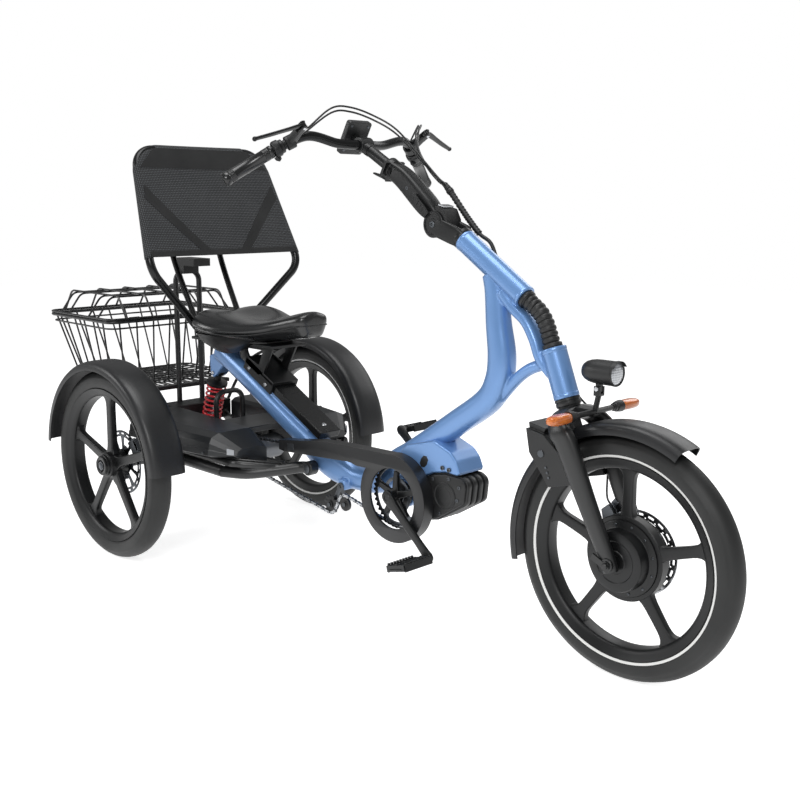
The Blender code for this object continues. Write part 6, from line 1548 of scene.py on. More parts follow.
    def motor(self, bench: Bench) -> None:
        """The motor unit: a ribbed casting that hangs under the cradle.

        Args:
            bench: Where the pieces get their finish and body.
        """
        bb = spot(BB)
        outline = [(-0.5560, 0.266), (-0.5220, 0.2285), (-0.4880, 0.2355), (-0.4050, 0.2880),
                   (-0.3985, 0.3370),
                   (-0.4200, 0.3465), (-0.4620, 0.3475), (-0.5000, 0.3400), (-0.5560, 0.3130)]
        shapes = [plate(eased(outline, 0.018, 6), [], at(0, 0, 0), 0.0850, 0.0050)]
        rim = [(-0.5560, 0.264), (-0.522, 0.2245), (-0.487, 0.2325), (-0.4005, 0.2843), (-0.3945, 0.338),
               (-0.416, 0.3480), (-0.462, 0.3495), (-0.500, 0.3418), (-0.5560, 0.3160)]
        for middle, thick in ((-0.0300, 0.0130), (-0.0100, 0.0130), (0.0100, 0.0130), (0.0300, 0.0130)):
            shapes.append(plate(eased(rim, 0.020, 6), [], at(0, middle, 0), thick, 0.0022))
        for sign in (-1, 1):
            cap = at(-0.462, 0, 0.296)
            shapes.append(turned([(0, 0.040), (0.0330, 0.040), (0.0330, 0.0440), (0.0300, 0.0450),
                                  (0.0290, 0.0438),
                                  (0.0200, 0.0438), (0.0190, 0.0446), (0, 0.0446)], cap, Y * sign, 64))
        shapes.append(rod(bb + Y * -0.0418, bb - Y * 0.0365, 0.0300, 48))
        bench.solid("motor_casting", shapes, "frame", DARK_PLASTIC, replaces=["motor_unit"], bevel=0.0011,
                    crease=30)
        bolts = []
        head = turned([(0, 0), (0.0042, 0), (0.0044, 0.0006), (0.0044, 0.0020), (0.0038, 0.0026),
                       (0.0022, 0.0026),
                       (0.0020, 0.0010), (0, 0.0010)], Vector(), Z, 16)
        for station, height in ((-0.520, 0.2440), (-0.478, 0.2520), (-0.4240, 0.2930), (-0.4180, 0.3240),
                                (-0.4500, 0.3390),
                                (-0.500, 0.3300)):
            for sign in (-1, 1):
                bolts.append(Place(at(station, sign * 0.0423, height), X, Y * sign))
        bench.put("motor_bolts", bench.repeat_mesh("motor_bolts", head, bolts, DARK_STEEL), "frame",
                  DARK_STEEL)
        cable = smooth([at(-0.600, -0.030, 0.345), at(-0.566, -0.049, 0.337), at(-0.545, -0.0492, 0.318),
                        at(-0.530, -0.0480, 0.300), at(-0.520, -0.0440, 0.288)], 8)
        bench.put("motor_lead", bench.wire_mesh("motor_lead", [(cable, False)], 0.0024, CABLE_VINYL),
                  "frame", CABLE_VINYL)

    def rail(self, bench: Bench) -> None:
        """The seat rail: a capped channel with a screw at its lower end.

        Args:
            bench: Where the pieces get their finish and body.
        """
        mid = self.rail_base + self.rail_height / 2
        start, end = boom_point(-1.245) + BOOM_UP * mid, boom_point(-0.935) + BOOM_UP * mid
        shapes = [beam(start, end, self.rail_half, self.rail_height / 2)]
        bench.solid("seat_rail_channel", shapes, "frame", BLACK_TUBE, replaces=["seat_rail"],
                    bevel=0.0030, segments=3)
        top = self.rail_base + self.rail_height
        screw = turned([(0, -0.001), (0.0060, -0.001), (0.0062, 0.0), (0.0052, 0.0012), (0.0028, 0.0016),
                        (0.0024, 0.0004),
                        (0, 0.0004)], boom_point(-0.962) + BOOM_UP * top, BOOM_UP, 24)
        bench.solid("seat_rail_screw", screw, "frame", STEEL)
        lip = []
        for sign in (-1, 1):
            base = self.rail_base
            lip.append(beam(boom_point(-1.220) + BOOM_UP * (base - 0.0055) + Y * sign * 0.0220,
                            boom_point(-0.980) + BOOM_UP * (base - 0.0055) + Y * sign * 0.0220, 0.0040,
                            0.0050))
        bench.solid("seat_rail_seats", lip, "frame", BLUE_ENAMEL, bevel=0.0010)

    def build(self, bench: Bench) -> None:
        """Build the frame and what is bolted to it.

        Args:
            bench: Where the pieces get their finish and body.
        """
        self.tubes(bench)
        self.cradle(bench)
        self.motor(bench)
        self.rail(bench)
        self.boot(bench)

    def boot(self, bench: Bench) -> None:
        """The bellows over the steering joint.

        Args:
            bench: Where the pieces get their finish and body.
        """
        top = spot(STEER_LOW) - STEER_UP * GAP
        low = spot(HEAD_TOP) + HEAD_UP * GAP
        a, b = top - STEER_UP * 0.037, low + HEAD_UP * 0.037
        line = [top, a] + [a * (1 - t) ** 2 + STEER_JOINT * 2 * t * (1 - t) + b * t ** 2
                           for t in (k / 16 for k in range(1, 16))] + [b, low]
        lengths = [0.0]
        for p, q in zip(line, line[1:]):
            lengths.append(lengths[-1] + (q - p).length)
        count, folds = 181, 11
        path, radii = [], []
        for k in range(count):
            want = lengths[-1] * k / (count - 1)
            n = next(i for i in range(1, len(lengths)) if lengths[i] >= want - 1e-9)
            path.append(line[n - 1].lerp(line[n], (want - lengths[n - 1]) / (lengths[n] - lengths[n - 1])))
            wave = abs(math.sin(math.pi * folds * k / (count - 1)))
            radii.append(0.0150 + 0.0036 * wave ** 0.55)
        path = [path[0], *[(path[k - 1] + path[k] + path[k + 1]) / 3 for k in range(1, count - 1)], path[-1]]
        outer = sweep(path, [(r, r) for r in radii], 40, side=Y)
        cuffs = [turned([(0.0148, 0.0), (0.0200, 0.0), (0.0208, 0.0010), (0.0208, 0.0085), (0.0198, 0.0095),
                         (0.0148, 0.0095)], start, axis, 48) for start,
                         axis in ((top, -STEER_UP), (low, HEAD_UP))]
        bench.solid("steering_bellows", [outer, *cuffs], "frame", SOFT_RUBBER, replaces=["steering_boot"],
                    crease=60)


# Crank and chain


CHAIN_PITCH = 0.0127
CHAIN_PLANE = -0.058
RING_TEETH = 38
GEAR_HUB = (-1.190, 0.280)
PULLEY_REAR = (-0.840, 0.200)
PULLEY_FRONT = (-0.783, 0.212)


def pitch_radius(teeth: int) -> float:
    """The pitch radius of a sprocket for this chain."""
    return CHAIN_PITCH / (2 * math.sin(math.pi / teeth))


def tooth_ring(teeth: int, tip: float = 0.0030, root: float = 0.0030) -> list[Pair]:
    """The outline of a sprocket's teeth, with a hollow for each roller.

    Args:
        teeth: How many teeth there are.
        tip: How far a tooth stands over the pitch circle.
        root: The depth of a roller's hollow, nine tenths of which is cut.

    Returns:
        The outline's points.
    """
    radius = pitch_radius(teeth)
    points = []
    for k in range(teeth):
        for share, lift in ((-0.12, tip), (0.12, tip), (0.27, 0.0), (0.42, -root * 0.9),
                            (0.58, -root * 0.9), (0.73, 0.0)):
            angle = 2 * math.pi * (k + share) / teeth
            points.append(((radius + lift) * math.cos(angle), (radius + lift) * math.sin(angle)))
    return points


@dataclass
class Drive:
    """Cranks, pedals, chainring, chain, guard, tensioner and gear hub."""

    crank_forward: float = 0.1325
    crank_down: float = 0.1143
    plane: float = 0.088
    half: float = 0.006
    pedal_inner: float = 0.106
    pedal_outer: float = 0.196
    guard_radius: float = 0.107
    guard_hole: float = 0.0735

    def cranks(self, bench: Bench) -> None:
        """Two forged arms that taper and thin towards the pedal.

        Args:
            bench: Where the pieces get their finish and body.
        """
        bb = spot(BB)
        arm_dir = Vector((self.crank_forward, 0, -self.crank_down))
        for name, sign in (("right", -1), ("left", 1)):
            foot = bb - arm_dir * sign
            direction = unit(bb, foot)
            across = direction.cross(Y).normalized()
            reach = (foot - bb).length
            stations = [(-0.0160, 0.0060, 0.0045), (-0.0145, 0.0100, 0.0056), (-0.0100, 0.0140, 0.0060),
                        (0.0, 0.0163, 0.0060), (0.0120, 0.0150, 0.0060), (0.0300, 0.0118, 0.0058),
                        (0.0700, 0.0102, 0.0055),
                        (reach - 0.045, 0.0096, 0.0052), (reach - 0.016, 0.0108, 0.0054),
                        (reach, 0.0126, 0.0057),
                        (reach + 0.0075, 0.0102, 0.0056), (reach + 0.0112, 0.0066, 0.0050),
                        (reach + 0.0125, 0.0030, 0.0036)]
            mid = Y * sign * self.plane
            rings = []
            for along_arm, half_height, half_depth in stations:
                centre = bb + direction * along_arm + mid
                rings.append([centre + across * a + Y * b for a,
                              b in section(24, half_height, half_depth, 0.42)])
            shapes = [loft(rings)]
            outer = sign * (self.plane + self.half)
            shapes.append(turned([(0, -0.002), (0.0112, -0.002), (0.0112, 0.0003), (0.0098, 0.0018),
                                  (0.0070, 0.0018),
                                  (0.0066, 0.0006), (0, 0.0006)], bb + Y * (outer - sign * 0.0005),
                                  Y * sign, 32))
            shapes.append(turned([(0, -0.002), (0.0090, -0.002), (0.0090, 0.0002), (0.0078, 0.0012),
                                  (0.0046, 0.0012),
                                  (0.0044, 0.0), (0, 0.0)], foot + Y * (outer - sign * 0.0010), Y * sign, 28))
            shapes.append(rod(foot + Y * (outer - sign * 0.004),
                              foot + Y * sign * (self.pedal_outer - 0.006), 0.0052, 20))
            shapes.append(rod(foot + Y * (outer - sign * 0.001),
                              foot + Y * sign * (self.pedal_inner - 0.0012), 0.0080, 6))
            if name == "right":
                boss = [(0, 0.0002), (0.0148, 0.0002), (0.0148, 0.0060), (0.0128, 0.0080),
                        (0.0128, 0.0200), (0, 0.0240)]
                shapes.append(turned(boss, bb - Y * 0.0593, -Y, 40))
                shapes.append(rod(bb - Y * 0.0840, bb + Y * 0.0920, 0.0082, 24))
                for k in range(5):
                    angle = math.pi / 2 + 2 * math.pi * k / 5
                    shapes.append(sweep([bb - Y * 0.0640 + ray(angle) * 0.008,
                                         bb - Y * 0.0635 + ray(angle) * 0.030,
                                         bb - Y * 0.0625 + ray(angle) * 0.0580],
                                        [(0.0105, 0.0034), (0.0075, 0.0030), (0.0062, 0.0022)], 16,
                                        side=ray(angle + math.pi / 2), square=0.5))
            bench.solid(f"crank_arm_{name}", shapes, "crank", BLACK_CAST, replaces=[f"crank_{name}"],
                        crease=38)

    def pedals(self, bench: Bench) -> None:
        """Cage pedals with toothed edges, a barrel and an end loop.

        Args:
            bench: Where the pieces get their finish and body.
        """
        bb = spot(BB)
        arm_dir = Vector((self.crank_forward, 0, -self.crank_down))
        for name, sign in (("right", -1), ("left", 1)):
            foot = bb - arm_dir * sign
            near, far = self.pedal_inner, self.pedal_outer
            shapes = []
            depth, height = 0.0300, 0.0100
            for edge in (-1, 1):
                low = Vector((edge * depth - (0.0045 if edge > 0 else 0.0), near, -height))
                shapes.append(box(low, low + Vector((0.0045, far - near - 0.004, 2 * height - 0.004))))
                for k in range(9):
                    y = near + 0.004 + k * (far - near - 0.016) / 8
                    tooth = Vector((low.x, y, height - 0.0041))
                    shapes.append(box(tooth, tooth + Vector((0.0045, 0.0048, 0.0045))))
            for y in (near, (near + far) / 2 - 0.003, far - 0.0075):
                shapes.append(box(Vector((-depth + 0.002, y, -height * 0.8)),
                                  Vector((depth - 0.002, y + 0.0065, height * 0.62))))
            barrel = turned([(0, near + 0.001), (0.0092, near + 0.001), (0.0095, near + 0.004),
                             (0.0086, near + 0.006),
                             (0.0080, far - 0.012), (0.0092, far - 0.008), (0.0092, far - 0.0045),
                             (0, far - 0.0040)],
                            Vector(), Y, 28)
            shapes.append(barrel)
            loop = rounded([Vector((-0.018, far - 0.004, -0.004)), Vector((-0.018, far - 0.0005, -0.004)),
                            Vector((0.018, far - 0.0005, -0.004)), Vector((0.018, far - 0.004, -0.004))],
                            0.0015, 3)
            shapes.append(sweep(loop, (0.0022, 0.0026), 10, side=Z))
            turn = Matrix.Rotation(math.radians(-15), 3, Y)
            placed = []
            for shape in shapes:
                if sign < 0:
                    shape = shape.mirrored()
                placed.append(Shape([turn @ p + foot for p in shape.points], shape.faces))
            bench.solid(f"cage_pedal_{name}", placed, f"{name}_pedal", DARK_PLASTIC,
                        replaces=[f"pedal_{name}"],
                        bevel=0.0006, crease=35)

    def ring(self, bench: Bench) -> None:
        """The chainring: a toothed plate with a spider's windows.

        Args:
            bench: Where the pieces get their finish and body.
        """
        centre = at(BB[0], CHAIN_PLANE, BB[1])
        windows = [slot_outline(0.044, 0.066, math.pi / 2 + 2 * math.pi * (k + 0.5) / 5,
                                math.radians(27)) for k in range(5)]
        windows += [slot_outline(0.022, 0.036, math.pi / 2 + 2 * math.pi * (k + 0.5) / 5,
                                 math.radians(21)) for k in range(5)]
        disc = plate(tooth_ring(RING_TEETH), [circle(0.0095, 32), *windows], centre, 0.0020, 0.0002)
        bench.solid("chainring_plate", disc, "crank", DARK_STEEL, replaces=["chainring"], crease=30)
        head = turned([(0, 0), (0.0044, 0), (0.0046, 0.0006), (0.0042, 0.0016), (0.0022, 0.0018),
                       (0.0020, 0.0008),
                       (0, 0.0008)], Vector(), Z, 16)
        places = [Place(centre - Y * 0.0048 + ray(math.pi / 2 + 2 * math.pi * k / 5) * 0.0520, X,
                        -Y) for k in range(5)]
        bench.put("chainring_bolts", bench.repeat_mesh("chainring_bolts", head, places, STEEL), "crank",
                  STEEL)

    def loop(self) -> Path:
        """The chain's centre line, evenly spaced at half the pitch."""
        centre = at(BB[0], CHAIN_PLANE, BB[1])
        small = pitch_radius(11)
        circles = [(centre, pitch_radius(RING_TEETH), 1),
                   (at(PULLEY_FRONT[0], CHAIN_PLANE, PULLEY_FRONT[1]), small, -1),
                   (at(PULLEY_REAR[0], CHAIN_PLANE, PULLEY_REAR[1]), small, 1),
                   (at(GEAR_HUB[0], CHAIN_PLANE, GEAR_HUB[1]), pitch_radius(20), 1)]
        touches = []
        for k, (c1, r1, s1) in enumerate(circles):
            c2, r2, s2 = circles[(k + 1) % len(circles)]
            gap = c2 - c1
            normal = math.atan2(gap.z, gap.x) + math.pi / 2 - math.asin((s1 * r1 - s2 * r2) / gap.length)
            touches.append((c1 + ray(normal) * s1 * r1, c2 + ray(normal) * s2 * r2))
        line = []
        for k, (centre, radius, side) in enumerate(circles):
            arrive, leave = touches[k - 1][1] - centre, touches[k][0] - centre
            start = math.atan2(arrive.z, arrive.x)
            turn = (math.atan2(leave.z, leave.x) - start) % (2 * math.pi)
            turn -= 2 * math.pi if side > 0 else 0.0
            steps = max(6, round(abs(turn) / math.radians(4)))
            line.extend(centre + ray(start + turn * step / steps) * radius for step in range(steps + 1))
        lengths = [0.0]
        for p, q in zip(line, line[1:] + line[:1]):
            lengths.append(lengths[-1] + (q - p).length)
        count = 2 * round(lengths[-1] / CHAIN_PITCH / 2)
        path, n = [], 1
        for k in range(count):
            want = lengths[-1] * k / count
            while lengths[n] < want:
                n += 1
            path.append(line[n - 1].lerp(line[n % len(line)],
                                         (want - lengths[n - 1]) / (lengths[n] - lengths[n - 1])))
        return path

    def chain(self, bench: Bench) -> None:
        """Inner and outer links in turn, each laid on its two rollers.

        Args:
            bench: Where the pieces get their finish and body.
        """
        path = self.loop()
        wide = circle(0.0041, 10, (-CHAIN_PITCH / 2, 0.0))
        for kind, spread_out, start in (("inner", 0.0022, 0), ("outer", 0.0034, 1)):
            outline = []
            for middle, first in ((-CHAIN_PITCH / 2, math.pi / 2), (CHAIN_PITCH / 2, -math.pi / 2)):
                for k in range(6):
                    angle = first + math.pi * k / 5
                    outline.append(Vector((middle + 0.0040 * math.cos(angle), 0.0, 0.0040 * math.sin(angle))))
                outline.append(Vector((0.0, 0.0, 0.0027 if first < 0 else -0.0027)))
            shapes = []
            for sign in (-1, 1):
                face = [p + Y * (sign * spread_out - 0.0005) for p in outline]
                shapes.append(prism(face, Y * 0.0010))
            if kind == "inner":
                shapes += [rod(Vector((x, -0.0019, 0)), Vector((x, 0.0019, 0)), 0.0038, 8)
                           for x in (-CHAIN_PITCH / 2, CHAIN_PITCH / 2)]
            else:
                shapes += [rod(Vector((x, -0.0039, 0)), Vector((x, 0.0039, 0)), 0.0019, 8)
                           for x in (-CHAIN_PITCH / 2, CHAIN_PITCH / 2)]
            places = []
            for k in range(start, len(path), 2):
                p, q = path[k], path[(k + 1) % len(path)]
                forward = unit(p, q)
                places.append(Place((p + q) / 2, forward, forward.cross(Y)))
            finish = DARK_STEEL if kind == "inner" else STEEL
            bench.put(f"chain_{kind}_links", bench.repeat_mesh(f"chain_{kind}_links", shapes, places,
                    finish), "frame",
                      finish, replaces=["chain"] if kind == "inner" else (), crease=30)

    def guard(self, bench: Bench) -> None:
        """The moulded guard: a flat-faced ring with a long arm over the chain.

        Args:
            bench: Where the pieces get their finish and body.
        """
        mid = at(BB[0] + 0.0007, 0, BB[1] - 0.005)
        rear, low = [(-1.000, 0.343), (-0.850, 0.365)], [(-0.750, 0.330), (-1.000, 0.313)]
        outer_face, inner_face, wall = -0.0785, -0.0460, 0.0025

        def outline(radius: float, inset: float, steps: int = 96) -> list[Pair]:
            """The guard's outline.

            Args:
                radius: The radius round the chainring.
                inset: How far the outline lies inside the guard's edge.
                steps: How many points the round end gets.

            Returns:
                Its (station, height) points.
            """
            first, last = math.radians(98), math.radians(-214)
            points = [(mid.x + radius * math.cos(first + (last - first) * k / steps),
                       mid.z + radius * math.sin(first + (last - first) * k / steps))
                      for k in range(steps + 1)]
            a = spot((low[0][0], low[0][1] + inset))
            b = spot((low[1][0] - inset * 9, low[1][1] + inset))
            c, d = spot((rear[0][0] - inset * 9, rear[0][1] - inset)), spot((rear[1][0], rear[1][1] - inset))
            start, end = Vector((points[-1][0], 0, points[-1][1])), Vector((points[0][0], 0, points[0][1]))
            heel = smooth([start * 1.0, start.lerp(a, 0.55) - Z * 0.0035, a, a.lerp(b, 0.30)], 6)[1:]
            brow = smooth([c.lerp(d, 0.72), d, d.lerp(end, 0.5) + Z * 0.0012, end], 6)[:-1]
            return points + [(p.x, p.z) for p in heel] + [(b.x, b.z), (c.x, c.z)] + [(p.x, p.z) for p in brow]

        hole = circle(self.guard_hole, 96, (mid.x, mid.z))
        face = plate(outline(self.guard_radius, 0.0), [hole], Vector((0, outer_face + wall / 2, 0)), wall,
                     0.0010)
        rim_outer = [Vector((x, outer_face + 0.0012, z)) for x, z in outline(self.guard_radius - 0.0002, 0.0)]
        rim_inner = [Vector((x, outer_face + 0.0012, z)) for x, z in outline(self.guard_radius - wall, wall)]
        depth = Y * (inner_face - outer_face - 0.0012)
        rings = [rim_outer, [p + depth for p in rim_outer], [p + depth for p in rim_inner], rim_inner]
        lip = turned([(self.guard_hole - 0.0002, 0.0006), (self.guard_hole + 0.0022, 0.0006),
                      (self.guard_hole + 0.0022, 0.0060), (self.guard_hole - 0.0002, 0.0060)],
                     Vector((mid.x, outer_face, mid.z)), Y, 96)
        bench.solid("chain_guard_moulding", [face, loft(rings, closed=True), lip], "frame", GUARD_PLASTIC,
                    replaces=["chain_guard"], crease=35)
        groove = [at(-0.790, outer_face - 0.0001, 0.3480), at(-0.772, outer_face - 0.0001, 0.3395),
                  at(-0.742, outer_face - 0.0001, 0.3385)]
        bench.put("chain_guard_crease", bench.wire_mesh("chain_guard_crease",
                [(smooth(groove, 4), False)], 0.0006,
                GUARD_PLASTIC, 8),
                  "frame", GUARD_PLASTIC)
        clip = beam(at(-0.985, -0.0790, 0.328), at(-0.960, -0.0790, 0.331), 0.0009, 0.0085)
        bench.solid("chain_guard_clip", clip, "frame", DARK_STEEL, bevel=0.0006)

    def tensioner(self, bench: Bench) -> None:
        """The sprung cage, its pulleys and the gear hub.

        Args:
            bench: Where the pieces get their finish and body.
        """
        near = -0.0483
        pivot = at(HANGER[0], 0, HANGER[1])
        front, rear = at(PULLEY_FRONT[0], 0, PULLEY_FRONT[1]), at(PULLEY_REAR[0], 0, PULLEY_REAR[1])
        shapes = []
        for start, end in ((pivot, front), (pivot, rear)):
            a, b = start + Y * (near - 0.0015), end + Y * (near - 0.0015)
            shapes.append(sweep([a, a.lerp(b, 0.5), b],
                                [(0.0014, 0.0088), (0.0014, 0.0060), (0.0014, 0.0088)], 20, side=Y,
                                square=0.6))
        for pulley in (front, rear, pivot):
            shapes.append(turned([(0, 0), (0.0102, 0), (0.0105, 0.0008), (0.0105, 0.0026),
                                  (0.0090, 0.0032), (0.0050, 0.0032),
                                  (0.0046, 0.0012), (0, 0.0012)], pulley + Y * (near + 0.0001), -Y, 28))
        for pulley in (front, rear):
            shapes.append(rod(pulley + Y * (near - 0.004), pulley + Y * (CHAIN_PLANE - 0.0072), 0.0028, 20))
            shapes.append(turned([(0, 0), (0.0060, 0), (0.0060, 0.0015), (0.0048, 0.0026), (0, 0.0026)],
                                 pulley + Y * (CHAIN_PLANE - 0.0060), -Y, 6))
        bench.solid("tensioner_cage", shapes, "frame", DARK_STEEL, replaces=["tensioner_arm"], bevel=0.0003)
        outline = tooth_ring(11, 0.0028, 0.0028)
        for name, centre in (("rear", rear), ("front", front)):
            place = centre + Y * CHAIN_PLANE
            wheel = [plate(outline, [circle(0.0036, 20)], place, 0.0022, 0.0003) if name == "rear" else
                     turned([(0.0036, -0.0030), (pitch_radius(11) - 0.0052, -0.0036),
                             (pitch_radius(11) - 0.0052, 0.0036),
                             (0.0036, 0.0030)], place, Y, 40)]
            wheel.append(turned([(0.0036, -0.0046), (0.0090, -0.0046), (0.0096, -0.0040),
                                 (0.0096, 0.0040), (0.0090, 0.0046),
                                 (0.0036, 0.0046)], place, Y, 32))
            bench.solid(f"guide_pulley_{name}", wheel, f"{name}_pulley", DARK_PLASTIC,
                        replaces=[f"tensioner_pulley_{name}"], bevel=0.0002)
        hub = spot(GEAR_HUB)
        shell = [(0.0056, -0.0520), (0.0200, -0.0520), (0.0204, -0.0480), (0.0270, -0.0475),
                 (0.0300, -0.0440), (0.0338, -0.0400),
                 (0.0340, -0.0380), (0.0326, -0.0360), (0.0326, -0.0300), (0.0340, -0.0280),
                 (0.0340, 0.0440), (0.0330, 0.0480),
                 (0.0290, 0.0540), (0.0260, 0.0590), (0.0056, 0.0600)]
        bench.solid("gear_hub_shell", [turned(shell, hub, Y, 64),
                                       turned([(0.0056, -0.0640), (0.0195, -0.0640), (0.0198, -0.0515),
                (0.0056, -0.0515)], hub, Y, 48)],
                    "hub_gear", HUB_CASTING, replaces=["gear_hub"])
        cog = plate(tooth_ring(20), [circle(0.0190, 32)], hub + Y * CHAIN_PLANE, 0.0020, 0.0002)
        bench.solid("gear_hub_sprocket", cog, "hub_gear", DARK_STEEL)

    def build(self, bench: Bench) -> None:
        """Build the whole drive.

        Args:
            bench: Where the pieces get their finish and body.
        """
        self.cranks(bench)
        self.pedals(bench)
        self.ring(bench)
        self.chain(bench)
        self.guard(bench)
        self.tensioner(bench)


# Steering column, stem and bar


STEM_HINGE = (-0.5235, 0.909)
MAST_TOP = (-0.690, 1.038)
BAR_CLAMP = (-0.780, 1.089)
QUILL_UP = unit(spot(MAST_TOP), spot(BAR_CLAMP))
GRIP_INNER = at(-0.8344, -0.2303, 1.070)
GRIP_OUTER = at(-0.8855, -0.3266, 1.0044)


@dataclass
class Column:
    """The folding stem, the shaft under it and the sliding quill."""

    disc_radius: float = 0.030
    disc_half: float = 0.030
    tongue_half: float = 0.0150

    def shaft(self, bench: Bench) -> None:
        """Shaft, collar and the fork-shaped half of the hinge.

        Args:
            bench: Where the pieces get their finish and body.
        """
        start = spot(STEER_TOP) + STEER_UP * GAP
        hinge = spot(STEM_HINGE)
        end = hinge - STEER_UP * 0.012
        cup = 0.0067
        low = (start - STEER_JOINT).length
        inner = turned([(0, cup + 0.0008), (cup * 0.82, 0.0056), (cup + 0.0006, 0.0005),
                        (cup + 0.0022, 0.0005),
                        (cup + 0.0022, 0.020), (0.0099, 0.026), (0.0099, low + 0.004), (0, low + 0.004)],
                       STEER_JOINT, STEER_UP, 32)
        collar = turned([(0, 0), (0.0244, 0), (0.0252, 0.0010), (0.0258, 0.0100), (0.0250, 0.0120),
                         (0.0222, 0.0135),
                         (0.0210, 0.016), (0, 0.016)], start, STEER_UP, 56)
        shapes = [inner, collar]
        for sign in (-1, 1):
            near = sign * (self.tongue_half + 0.0006)
            mid = Y * (near + sign * (self.disc_half - self.tongue_half - 0.0006) / 2)
            half = (self.disc_half - self.tongue_half - 0.0006) / 2
            shapes.append(sweep([start + STEER_UP * 0.009 + Y * sign * 0.012,
                                 start + STEER_UP * 0.020 + mid * 0.92, end + mid,
                                 hinge - STEER_UP * 0.004 + mid],
                                [(0.011, 0.0200), (half, 0.0214), (half, 0.0216), (half, 0.0200)], 24,
                                side=Y, square=0.5))
            shapes.append(turned([(0, near), (self.disc_radius - 0.001, near),
                                  (self.disc_radius, near + sign * 0.001),
                                  (self.disc_radius, sign * (self.disc_half - 0.003)),
                                  (self.disc_radius - 0.0020, sign * (self.disc_half - 0.0012)),
                                  (self.disc_radius - 0.0060, sign * (self.disc_half - 0.0006)),
                                  (self.disc_radius - 0.0070, sign * (self.disc_half - 0.0026)),
                                  (0.0130, sign * (self.disc_half - 0.0026)),
                                  (0.0120, sign * (self.disc_half - 0.0006)),
                                  (0, sign * (self.disc_half - 0.0006))], hinge, Y, 64))
        fore = Vector((STEER_UP.z, 0, -STEER_UP.x))
        web = []
        for degrees, reach in ((-66, 0.0292), (-36, 0.0292), (-4, 0.0292), (26, 0.0292), (30, 0.0400),
                               (-4, 0.0430), (-40, 0.0400),
                               (-70, 0.0420)):
            turn = math.radians(degrees)
            web.append(hinge + STEER_UP * (reach * math.sin(turn))
                       + fore * (reach * math.cos(turn)) - Y * 0.0235)
        shapes.append(prism(web, Y * 0.047).outward())
        slot = hinge + STEER_UP * 0.0110 + fore * 0.0418
        tilt = unit(web[4], web[5])
        bright = beam(slot - tilt * 0.0085, slot + tilt * 0.0085, 0.0165, 0.0014, side=Y)
        bench.solid("stem_latch_slot", bright, "steering", STEEL, bevel=0.0004)
        bench.solid("stem_hinge_fork", shapes, "steering", BLACK_CAST, replaces=["steering_shaft"], crease=36)
        screw = turned([(0, 0), (0.0070, 0), (0.0074, 0.0008), (0.0074, 0.0020), (0.0064, 0.0028),
                        (0.0036, 0.0028), (0.0032, 0.0010),
                        (0, 0.0010)], hinge - Y * (self.disc_half - 0.0010), -Y, 28)
        bench.solid("stem_hinge_screw", screw, "steering", DARK_STEEL)

    def mast(self, bench: Bench) -> None:
        """The cast mast: a tongue between the hinge's cheeks, a swelling neck and a clamp collar.

        Args:
            bench: Where the pieces get their finish and body.
        """
        hinge, top = spot(STEM_HINGE), spot(MAST_TOP)
        up = Vector((QUILL_UP.z, 0, -QUILL_UP.x))
        line = smooth([hinge + Vector((-0.010, 0, 0.012)), hinge + Vector((-0.028, 0, 0.0285)),
                       hinge + Vector((-0.052, 0, 0.0485)),
                       top - QUILL_UP * 0.062, top - QUILL_UP * 0.012], 8)
        sizes = spread([(self.tongue_half - 0.0002, 0.0150), (0.0200, 0.0215), (0.0225, 0.0240),
                        (0.0212, 0.0228), (0.0196, 0.0200)], 8)
        body = sweep(line, sizes, 40, side=Y, square=0.50)
        tongue = turned([(0, -self.tongue_half), (0.0275, -self.tongue_half),
                         (0.0284, -self.tongue_half + 0.001),
                         (0.0284, self.tongue_half - 0.001), (0.0275, self.tongue_half),
                         (0, self.tongue_half)], hinge, Y, 56)
        rib = [turned([(0.0150, d), (0.0226, d), (0.0230, d + 0.0008), (0.0230, d + 0.0016),
                       (0.0226, d + 0.0024), (0.0150, d + 0.0024)],
                      top, QUILL_UP, 48) for d in (-0.0275, -0.0230)]
        collar = turned([(0.0144, -0.0185), (0.0226, -0.0185), (0.0233, -0.0175), (0.0235, -0.0010),
                         (0.0228, 0.0), (0.0144, 0.0)],
                        top, QUILL_UP, 56)
        boss = beam(top - QUILL_UP * 0.0175 - up * 0.0170, top - QUILL_UP * 0.0025 - up * 0.0170, 0.0098,
                    0.0088)
        screws = []
        for sign in (-1, 1):
            for k in (0.30, 0.62):
                place = (hinge + Vector((-0.052, 0, 0.0485))).lerp(top - QUILL_UP * 0.062,
                        k) + Y * sign * 0.0208
                screws.append(turned([(0, -0.002), (0.0044, -0.002), (0.0046, 0.0004), (0.0038, 0.0014),
                                      (0.0022, 0.0014),
                                      (0.0020, 0.0003), (0, 0.0003)], place, Y * sign, 18))
        ears = beam(top - QUILL_UP * 0.0140, top - QUILL_UP * 0.0070, 0.0305, 0.0170)
        bench.solid("stem_casting", [body, tongue, *rib, collar, boss, ears], "stem", BLACK_CAST,
                    replaces=["stem_mast"], crease=40)
        bench.solid("stem_screws", screws, "stem", DARK_STEEL)
